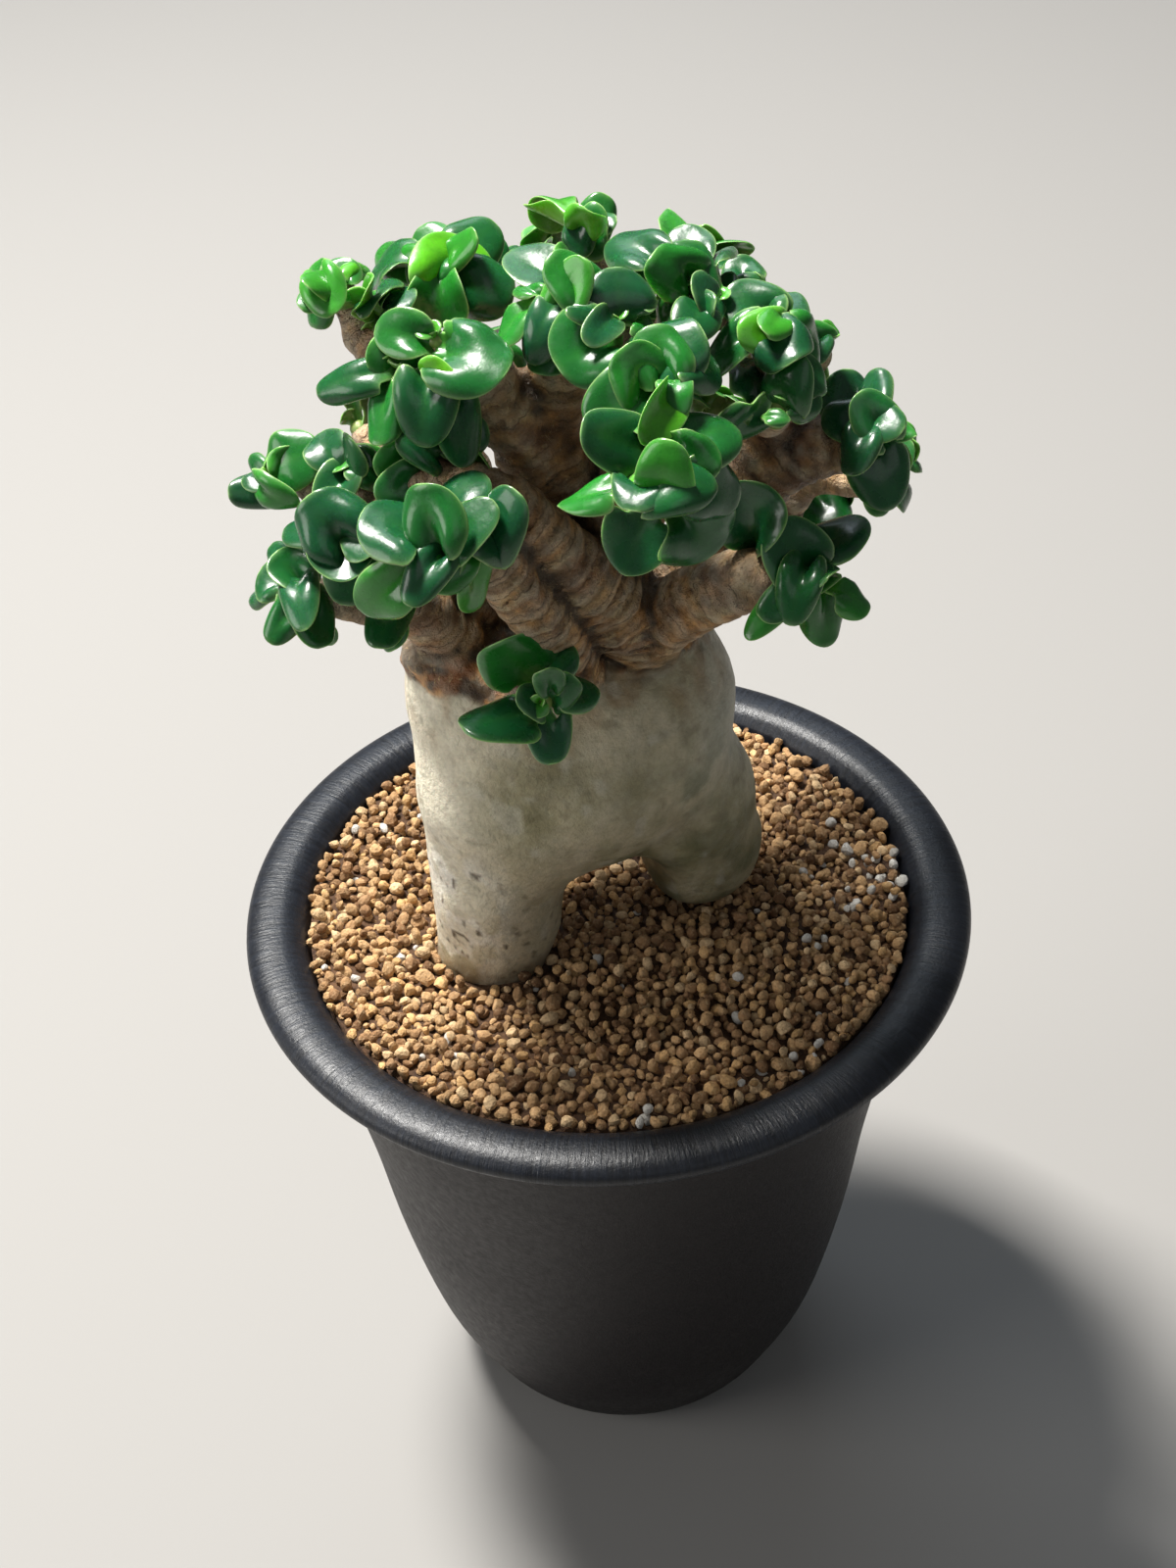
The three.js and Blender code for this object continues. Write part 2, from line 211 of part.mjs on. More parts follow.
  [20,-27.33,-12.16,175.22,-27.51,-10,182.06,-0.788,-0.593,0.166,7.15,85,7.13,0.12,1.26,0.72,-28.28,0,-51.29,0.26],
  [20,-28.07,-9.91,177.59,-22.74,-11.79,175.79,0.086,-0.549,0.831,5.55,30.3,85.11,0.19,1.09,0.72,-2.16,0,-145.03,0.59],
  [21,-26.96,-17.24,170.98,-32.09,-16.96,178.16,0.123,-0.984,0.126,11.85,85,70.21,0.02,1.27,0.72,1.76,0,-230,0.51],
  [21,-26.7,-16.43,171.74,-36.07,-13.94,171.12,-0.113,-0.179,0.977,6.57,41.8,45.12,0.03,1.19,0.72,-7.29,0,-60.64,1],
  [21,-26.43,-16.28,172.54,-30.88,-22.26,170.59,0.085,-0.366,0.927,10.44,-70,0,0.02,1.09,0.72,-2.84,0,-39.04,0.41],
  [21,-27.42,-16.66,172.56,-28.64,-22.04,165.93,0.187,-0.779,0.598,7.06,13.57,38.8,0.11,1.04,0.72,9.91,0,-163.18,0.51],
  [21,-29.09,-17.8,173.49,-24.18,-22.24,173.6,-0.333,-0.345,0.878,5.24,9.39,0,0.05,1.2,0.72,-7.09,0,-33.29,0],
  [22,-17.77,-25.46,174.55,-25.52,-22.36,178.94,0.486,-0.02,0.874,11.78,34.92,38.59,0.04,0.9,0.72,-15.9,0,-79.68,0.48],
  [22,-15.34,-26.02,174.77,-18.1,-24.59,183.91,-0.475,-0.88,-0.007,9.6,51.51,38.61,0.23,1.18,0.72,5.24,0,-215.49,0.55],
  [22,-16.19,-22.12,174.76,-10.91,-19.26,180.82,-0.68,-0.223,0.698,9.25,35.31,77.04,0.06,1.1,0.72,5.64,0,-30,0.37],
  [22,-16.4,-25.29,171.8,-9.96,-24.91,180.78,-0.69,-0.507,0.517,6.74,-0.22,62.62,0.11,1.09,0.72,8.11,0,-49.61,0.35],
  [22,-12.62,-23.98,172.32,-7.53,-24.13,181.8,-0.567,-0.77,0.292,8.59,49.69,38.2,0.02,1.26,0.72,-4.75,0,-49.5,0.68],
  [22,-14.83,-24.19,174.61,-20.75,-31.49,172.31,0.044,-0.332,0.942,5.8,33.71,62.04,0.02,0.96,0.72,-11.5,0,-228.86,1],
  [22,-15.26,-23.48,176.82,-13.4,-25.89,166.89,0.673,-0.68,0.291,7.05,16.67,38.33,0.57,1.23,0.72,-9,0,-230,0.45],
  [22,-17.84,-25.3,175.07,-26.63,-25.4,167.36,-0.26,-0.916,0.307,7.16,11.56,55.67,0.5,0.97,0.72,-4.75,0,-115.47,0.34],
  [22,-16.14,-24.06,175.28,-16.62,-29.34,171.83,0.319,-0.538,0.78,7.55,9.2,61.53,0.47,1.11,0.72,-6.68,0,-93.44,0.53],
  [23,-33.43,-14.79,162.31,-37.6,-12.75,167.67,0.327,-0.77,0.548,7.28,-49.45,25.61,0.17,0.97,0.72,19.49,0,-230,0.5],
  [23,-35.06,-12.6,162.51,-39.11,-5.01,163.55,-0.534,-0.387,0.752,5.04,53.21,13.53,0.07,1.29,0.72,3.18,0,-166.79,0.57],
  [23,-34.77,-13.31,161.41,-37.16,-15.7,165.42,0.803,0.16,0.574,12,85,35.33,0.49,1.35,0.72,-5.78,0,-30,1],
  [23,-34.66,-12.87,161.87,-41.83,-11.61,160.09,-0.24,0.005,0.971,5.99,85,57.48,0.08,1.26,0.72,-1.81,0,-230,0.37],
  [23,-33.93,-11.89,160.82,-33.99,-22.72,163.15,-0.193,0.207,0.959,5.68,43.51,103.43,0.04,1.4,0.72,12.43,0,-119.52,0.8],
  [23,-33.84,-14.48,162.64,-39.07,-18.74,158.77,-0.14,-0.567,0.812,5.36,66.81,36.06,0.2,1.11,0.72,-14.93,0,-230,0.85],
  [23,-34.96,-12.91,162.36,-32.3,-20.36,158.81,0.012,-0.426,0.905,6.71,25.04,46.67,0.19,1.33,0.72,-35,0,-177.15,0.75],
  [23,-34.69,-12.3,161.85,-36.62,-17.4,159.44,0.522,-0.517,0.678,6.61,13.52,6.73,0.1,1.14,0.72,2.02,0,-114.59,0.9],
  [23,-35.91,-12.39,161.61,-31.51,-15.74,155.86,-0.743,-0.64,-0.195,5.57,5.35,24.36,0.23,1.17,0.72,-18.03,0,-157.82,0.51],
  [24,-23.38,-13.82,160.23,-25.59,-22,159.34,-0.066,-0.09,0.994,6.54,68.1,49.72,0.14,1.01,0.72,-12.57,0,-75.49,0.96],
  [24,-23.66,-14.21,158.56,-24.15,-19.62,157.09,-0.539,-0.176,0.823,6.09,57.11,59.73,0.21,1.33,0.72,10.6,0,-220.63,1],
  [24,-23.99,-15.53,160.2,-24.65,-14.34,161.6,-0.904,-0.423,-0.064,4.58,51.89,85.83,0.61,1.38,0.72,-21.04,0,-160.74,0.84],
  [26,17.04,25.11,179.16,10.71,30.05,179.2,0.227,0.285,0.931,8.47,38.47,80,0.09,1.11,1.05,-6.36,0,-210.52,0.15],
  [26,17.09,25.27,179.41,19.32,20.07,184.15,0.144,0.699,0.7,8.76,41.02,80,0.14,1.17,0.68,13.13,0,-215.82,0.56],
  [26,17.14,25.43,179.66,20.64,32.06,178.36,-0.08,0.232,0.969,7.04,36.89,73.75,0.34,1.09,0.74,10.14,0,-66.97,0.63],
  [26,17.2,25.59,179.91,12.07,25.72,184.94,0.568,0.601,0.563,6.64,32.35,76.16,0.35,1.13,0.74,-2.44,0,-151.35,0.6],
  [26,17.25,25.75,180.15,23.79,25.25,184.26,-0.328,0.721,0.61,6.15,41.81,76.13,0.45,1.11,0.68,-12.23,0,-66.61,0.69],
  [26,17.31,25.91,180.4,16.52,33.17,181.67,0.517,-0.092,0.851,6.66,21.86,56.99,0.62,1.04,0.8,-10.69,0,-153.41,0.6],
  [26,17.36,26.08,180.65,17.63,26.35,187.24,0.259,0.965,-0.051,5.94,21.39,45.26,0.79,1.11,1.05,-4.69,0,-198.08,0.38],
  [27,-3.02,28.1,181.17,-5.39,36.03,177.68,-0.105,0.375,0.921,7.98,-45.06,14.93,0.18,1.06,0.74,-13.78,0,-92.37,0.09],
  [27,-3.06,28.25,181.43,-6.65,23.24,185.67,-0.007,0.649,0.761,8.54,-55.59,26.47,0.11,1.09,0.74,-0.77,0,-119.41,0.21],
  [27,-3.1,28.4,181.69,3.22,32.25,183.61,-0.518,0.502,0.692,7.95,26.24,61.56,0.34,1.04,1.05,3.23,0,-224.97,0.27],
  [27,-3.17,28.69,182.2,-2.16,28.02,187.76,-0.415,0.891,0.184,6.5,29.21,69,0.56,1.2,0.74,-1.75,0,-133.9,0.41],
  [27,-3.2,28.84,182.46,-2.77,34.23,185.33,-0.47,-0.385,0.794,6.2,-43.51,14.12,0.53,1.06,1.05,0.85,0,-80.5,0],
  [28,-20.06,23.09,180.17,-25.94,17.81,183.37,-0.027,0.54,0.841,7.97,-49.48,14.69,0.19,1.29,0.74,-6.68,0,-86.62,0.4],
  [28,-20.14,23.23,180.42,-12.94,26.85,184.69,-0.613,0.549,0.568,8.34,32.63,63,0.13,1.16,0.8,4.51,0,-125.63,1],
  [28,-20.22,23.37,180.68,-26.34,28.88,180.12,0.116,0.226,0.967,7.97,53.55,80,0.22,1.14,0.68,-3.92,0,-68.71,0.6],
  [28,-20.31,23.5,180.93,-21.48,20.55,187.89,-0.195,0.914,0.355,7,-48.52,26.25,0.39,1.25,0.74,0.35,0,-108.55,0.18],
  [28,-20.39,23.64,181.18,-19.74,28.25,183.91,-0.5,-0.389,0.774,6.39,-48.39,10.1,0.43,0.96,0.68,-2.26,0,-82.87,0.15],
  [28,-20.47,23.78,181.43,-24.29,24.68,184.07,0.498,0.725,0.476,6.44,46.64,50.34,0.58,1.05,0.8,5.39,0,-139.15,0.6],
  [28,-20.56,23.92,181.69,-20.32,25.62,186.74,-0.916,0.392,-0.09,4.62,46.33,80,0.77,1.15,1.05,-10.63,0,-215.07,0.15],
  [29,8.03,33.14,167.14,16.24,35.45,165.9,0.009,0.448,0.894,7.93,20.18,66.26,0.08,1.35,0.8,14.09,0,-202.88,0.75],
  [29,8.08,33.38,167.4,1.88,38.47,168.19,0.546,0.571,0.613,7.74,-41.22,22.52,0.23,1.12,1.05,-4.99,0,-93.8,0.47],
  [29,8.13,33.63,167.66,10.83,32.04,173.67,-0.2,0.922,0.333,6.52,20.8,56.29,0.23,1.34,0.74,14.44,0,-125.26,0.56],
  [29,8.19,33.87,167.92,11.03,41,168,0.035,-0.025,0.999,6.24,39.93,80,0.51,1.35,0.8,7.18,0,-72.51,0.39],
  [29,8.24,34.12,168.17,3.91,36.11,173.68,0.547,0.827,0.131,5.51,33.89,80,0.66,1.32,0.8,13.82,0,-152.92,0.63],
  [29,8.29,34.37,168.43,11.3,37.59,172.95,-0.802,0.587,0.115,5.11,53.43,73.28,0.72,1.1,0.68,8.17,0,-201.74,0.6],
  [30,-13.08,32.14,165.12,-14.27,37.6,159.46,-0.347,0.637,0.688,9.3,-57.02,15.17,0.11,1.21,1.05,13.23,0,-102.43,0],
  [30,-13.22,32.39,165.33,-18.63,28.94,170.96,-0.014,0.858,0.514,8.65,29.34,80,0.14,1.08,1.05,-0.35,0,-67.45,0.51],
  [30,-13.36,32.65,165.54,-8.51,37.76,168.08,-0.701,0.358,0.617,6.72,32.84,44.89,0.29,0.98,0.8,-3.52,0,-148.91,0.58],
  [30,-13.51,32.9,165.76,-19.04,36.89,165.41,0.322,0.516,0.794,7.38,-36.66,16.22,0.47,0.97,0.8,-8.87,0,-74.71,0.15],
  [30,-13.65,33.15,165.97,-15.09,34.32,173.16,-0.493,0.838,-0.235,5.83,29.53,72.1,0.62,1.16,0.74,11.04,0,-80.81,0.83],
  [30,-13.79,33.41,166.18,-14.58,39.41,166.72,-0.366,-0.131,0.921,5.18,33.57,80,0.82,0.98,1.05,12.08,0,-136.46,0.13],
  [31,26.09,27.14,163.11,19.9,28.45,168.78,0.616,0.576,0.538,8.07,-35.63,25.97,0.05,1.25,0.8,-3.73,0,-59.72,0.43],
  [31,26.21,27.36,163.27,33.97,26.17,164.85,0.052,0.903,0.427,7.28,-30.92,23.42,0.2,1.22,0.68,-2.04,0,-59.63,0.15],
  [31,26.34,27.58,163.43,24.59,34.64,161.28,0.759,0.355,0.546,7.34,48.86,46.94,0.24,1.1,0.68,10.88,0,-137.01,0.16],
  [31,26.47,27.8,163.59,27.36,27.41,170.84,0.273,0.962,0.018,6.32,51.82,80,0.3,1.26,0.8,7.12,0,-144.2,0.6],
  [31,26.6,28.01,163.76,32.35,32.01,162.57,-0.163,0.488,0.857,6.1,52.71,80,0.42,1.1,1.05,-2.07,0,-221.85,0.15],
  [31,26.73,28.23,163.92,25.42,33,166.53,0.959,0.124,0.254,5.3,33.74,48.88,0.61,1.03,1.05,14.13,0,-141.89,0.15],
  [31,26.86,28.45,164.08,30.53,30.6,168.41,-0.303,0.931,-0.205,5.33,-57.85,21.36,0.66,1.16,0.74,8.7,0,-107.06,0.15],
  [32,-29.12,24.1,161.13,-23.03,28.76,165.64,-0.729,0.48,0.488,7.85,-56.74,16.65,0.05,1.19,0.68,-10.44,0,-121.73,0.24],
  [32,-29.46,25.05,163.01,-31.12,30.87,165.14,-0.15,-0.377,0.914,6.09,84.62,113.21,0.19,1.24,0.8,1.93,0,-164.81,0.21],
  [33,38.15,8.02,160.13,39.65,-0.7,160.27,0.651,0.124,0.749,7.92,40.06,53.6,0.18,1.23,0.8,-11.12,0,-83.02,0.6],
  [33,38.42,8.06,160.36,42.74,13.26,158.5,0.457,-0.061,0.887,8.17,26.03,80,0.25,1.15,0.8,-3.5,0,-137,0.56],
  [33,38.7,8.09,160.59,37.34,8.4,168.31,0.948,0.278,0.156,7.01,33.66,48.32,0.33,1.11,0.68,-8.61,0,-74.76,0.6],
  [33,38.96,7.8,160.44,42.37,7.16,165.02,-0.702,-0.557,0.445,8.98,4.72,94.39,0.21,1.03,1.05,-1.39,0,-113.54,0.68],
  [33,39.24,8.17,161.06,42.6,12.58,164.64,0.553,-0.737,0.389,5.78,50.34,48.48,0.59,1.15,0.74,-13.93,0,-85.99,0.6],
  [33,39.51,8.21,161.29,43.02,8.06,164.39,0.309,0.9,-0.308,4.77,43.37,80,0.81,1.07,0.8,10.01,0,-217.78,0.85],
  [34,17.1,33.14,153.1,10.58,34.52,157.6,0.498,0.703,0.507,7.99,54.01,69.83,0.07,1.07,0.68,-4.46,0,-125.79,0.76],
  [34,17.24,33.36,153.25,24.76,30.31,154.67,0.298,0.892,0.34,7.67,33.53,72.82,0.18,1.32,0.74,-10.61,0,-127.82,0.19],
  [34,17.39,33.57,153.4,16.81,40.95,151.41,0.451,0.265,0.853,7.46,39.1,47.61,0.31,1.32,0.68,3.66,0,-209.19,0.41],
  [34,17.54,33.78,153.56,17.8,33.86,159.68,0.404,0.914,-0.029,6.79,34.61,44.46,0.45,1.15,1.05,-9.4,0,-198.63,0.14],
  [34,17.69,34,153.71,24.21,37.36,152.68,-0.141,0.53,0.836,6.95,-53.61,19.93,0.53,1.13,0.8,-12.32,0,-97.14,0.11],
  [34,17.83,34.21,153.86,16.9,41.02,157.36,0.992,0.09,0.091,5.94,52.15,75.12,0.67,1.28,0.74,-0.73,0,-127.33,0.6],
  [34,17.98,34.42,154.01,20.93,35.46,157.79,-0.083,0.976,-0.203,5.83,21.35,78.51,0.78,1.05,0.68,4.21,0,-89.7,0.41],
  [35,-23.11,5.03,186.17,-18.37,5.36,191.36,-0.737,-0.032,0.675,8.72,41.12,80,0.06,1.08,0.8,5.94,0,-82.54,0.56],
  [35,-23.13,5.1,187.76,-21.72,3.38,192.75,-0.693,0.599,0.402,8.86,57.73,81.84,0.11,1.34,1.05,10.52,0,-158.69,0],
  [35,-23.6,5.14,186.91,-24,8.34,190.34,-0.512,-0.658,0.553,6.76,-41.25,31.1,0.45,0.96,0.8,7.79,0,-89.16,0],
  [35,-22.27,4.68,188.9,-28.2,4.69,190.72,0.185,0.779,0.599,5.37,-70,30.11,0.69,1.15,0.74,9.7,0,-97.86,0.15],
  [35,-23.92,5.22,187.41,-23.34,2.84,194.68,-0.978,0.16,0.131,5.85,-53.45,20.88,0.67,1,0.74,-5.67,0,-96.94,0.03],
  [36,30.16,20.11,150.06,36.49,15.68,153.17,0.501,0.846,0.185,8.74,26.56,44.74,0.08,1.02,1.05,-10.36,0,-146.75,0.25],
  [36,30.39,20.27,150.15,31.71,26.94,145.29,0.69,0.332,0.643,8.74,45.01,42.11,0.13,1.26,0.68,4.51,0,-147.46,0.6],
  [36,30.86,20.6,150.33,36.67,20.91,148.81,0.115,0.79,0.603,6.56,51.31,59.04,0.37,1.06,0.74,14.28,0,-201.29,0.52],
  [36,31.07,21.05,149.47,30.31,24.9,149.17,0.537,0.04,-0.843,8.34,19.17,26.09,0.02,1.02,0.68,35,0,-223.41,0.01],
  [30,-12.11,32.16,165.84,-5.77,32.87,159.92,0.621,-0.496,0.606,8.3,45.8,72.32,0.33,1.32,0.72,-16.64,0,-230,0.75],
  [36,31.16,20.56,150.07,33.29,12.57,148.76,0.088,-0.139,0.986,9.4,85,5.21,0.18,1.31,0.72,35,0,-196.28,0.46],
  [7,-1.41,-7.25,195.1,-4.43,-12.04,189.37,-0.395,-0.592,0.703,7.49,82.03,1.91,0.25,0.97,0.72,-2.91,0,-144.64,0.43],
  [23,-34.71,-14.03,162.11,-40.08,-10.9,163.82,-0.083,-0.581,0.81,6.82,7.98,11,0.09,1.36,0.72,0.04,0,-69.75,0.04],
  [1,-27.77,8.19,189.86,-32.12,2.34,191.77,0.387,0.014,0.922,4.73,13.74,60.43,0.37,1.13,0.72,-1.17,0,-230,0.76],
  [5,-17.66,-12.52,179.45,-14.55,-9.32,172.3,0.667,-0.744,-0.043,8.95,39.34,37.5,0.68,1.19,0.72,3.57,0,-82.62,0.74],
  [5,-18.44,-12.74,180.44,-10.72,-10.8,173.89,0.495,0.479,0.725,9.19,12.85,40.5,0.68,1.17,0.72,-8.64,0,-226.96,0.77],
  [2,-15.61,12.45,189.09,-10.82,9.61,196.17,-0.846,-0.164,0.507,5.64,47.97,38.89,0.52,0.93,0.72,18.83,0,-98.86,0.44],
  [2,-16.43,12.54,188.87,-8.63,17.01,193.71,-0.041,-0.701,0.712,8.28,37.46,50.52,0.15,1.2,0.72,-0.79,0,-44.75,0.15],
  [5,-18.32,-11.87,181.17,-10.6,-11.69,182.28,-0.041,-0.897,0.439,6.8,55.05,40.42,0.02,1.32,0.72,-6.11,0,-190.51,0.33],
  [33,38.1,7.7,160.95,38.11,4.49,155.64,0.187,-0.841,0.508,4.92,24.83,27.89,0.31,1.05,0.72,-3.48,0,-113.52,0.3],
  [22,-17.3,-24.25,175.89,-8.6,-24.12,172.82,0.298,-0.479,0.826,6.28,30.49,105.08,0.07,1.13,0.72,-2.06,0,-56.07,0.16],
  [18,27.3,-14.21,160.34,19.96,-21.29,159.88,0.473,-0.536,0.7,5.32,23.5,31.48,0.15,1.15,0.72,9.34,0,-176.14,0.76],
  [25,-6.93,-19.27,150.73,-11.73,-21.36,158.63,0.213,-0.969,-0.127,10.59,21.2,0,0.37,1.35,0.72,-8.43,0,-45.29,0.51],
  [25,-6.06,-19.27,150.66,-1.96,-19.22,155.04,-0.673,-0.38,0.635,6.3,73.41,79.22,0.12,1.2,0.75,-2.26,0,-164.03,0.21],
  [25,-6.76,-22.02,150.41,0.52,-20.4,149.32,0.233,-0.477,0.847,6.3,37.27,23.74,0.17,0.96,0.95,-11.01,0,-155.85,0.53],
  [25,-5.55,-22.33,151.16,-5.68,-25.02,157.23,0.196,-0.898,-0.394,4.36,33.67,23.98,0.24,1.02,0.8,-2.72,0,-230,0.15],
  [25,-6.15,-21.96,148.23,-16.49,-27.02,150.56,0.252,-0.069,0.965,9.52,21.72,1.07,0.09,1.12,0.75,16.48,0,-30,0.52],
  [25,-6.21,-22.73,148.84,-5.9,-27.98,144.67,-0.029,-0.623,0.782,6.24,2.14,9.04,0.02,0.96,0.72,8.82,0,-82.92,1],
  [25,-6.3,-22.6,148.97,-9.66,-24.07,153.09,0.688,-0.647,0.33,4.86,-10.58,46.23,0.12,1.08,0.72,4.2,0,-102.6,0.81],
  [25,-6.12,-21.73,149.63,-2.17,-23.94,154.51,-0.517,-0.856,0.03,5.53,55.96,50.49,0.19,1.01,0.72,8.29,0,-102.35,0.82],
];
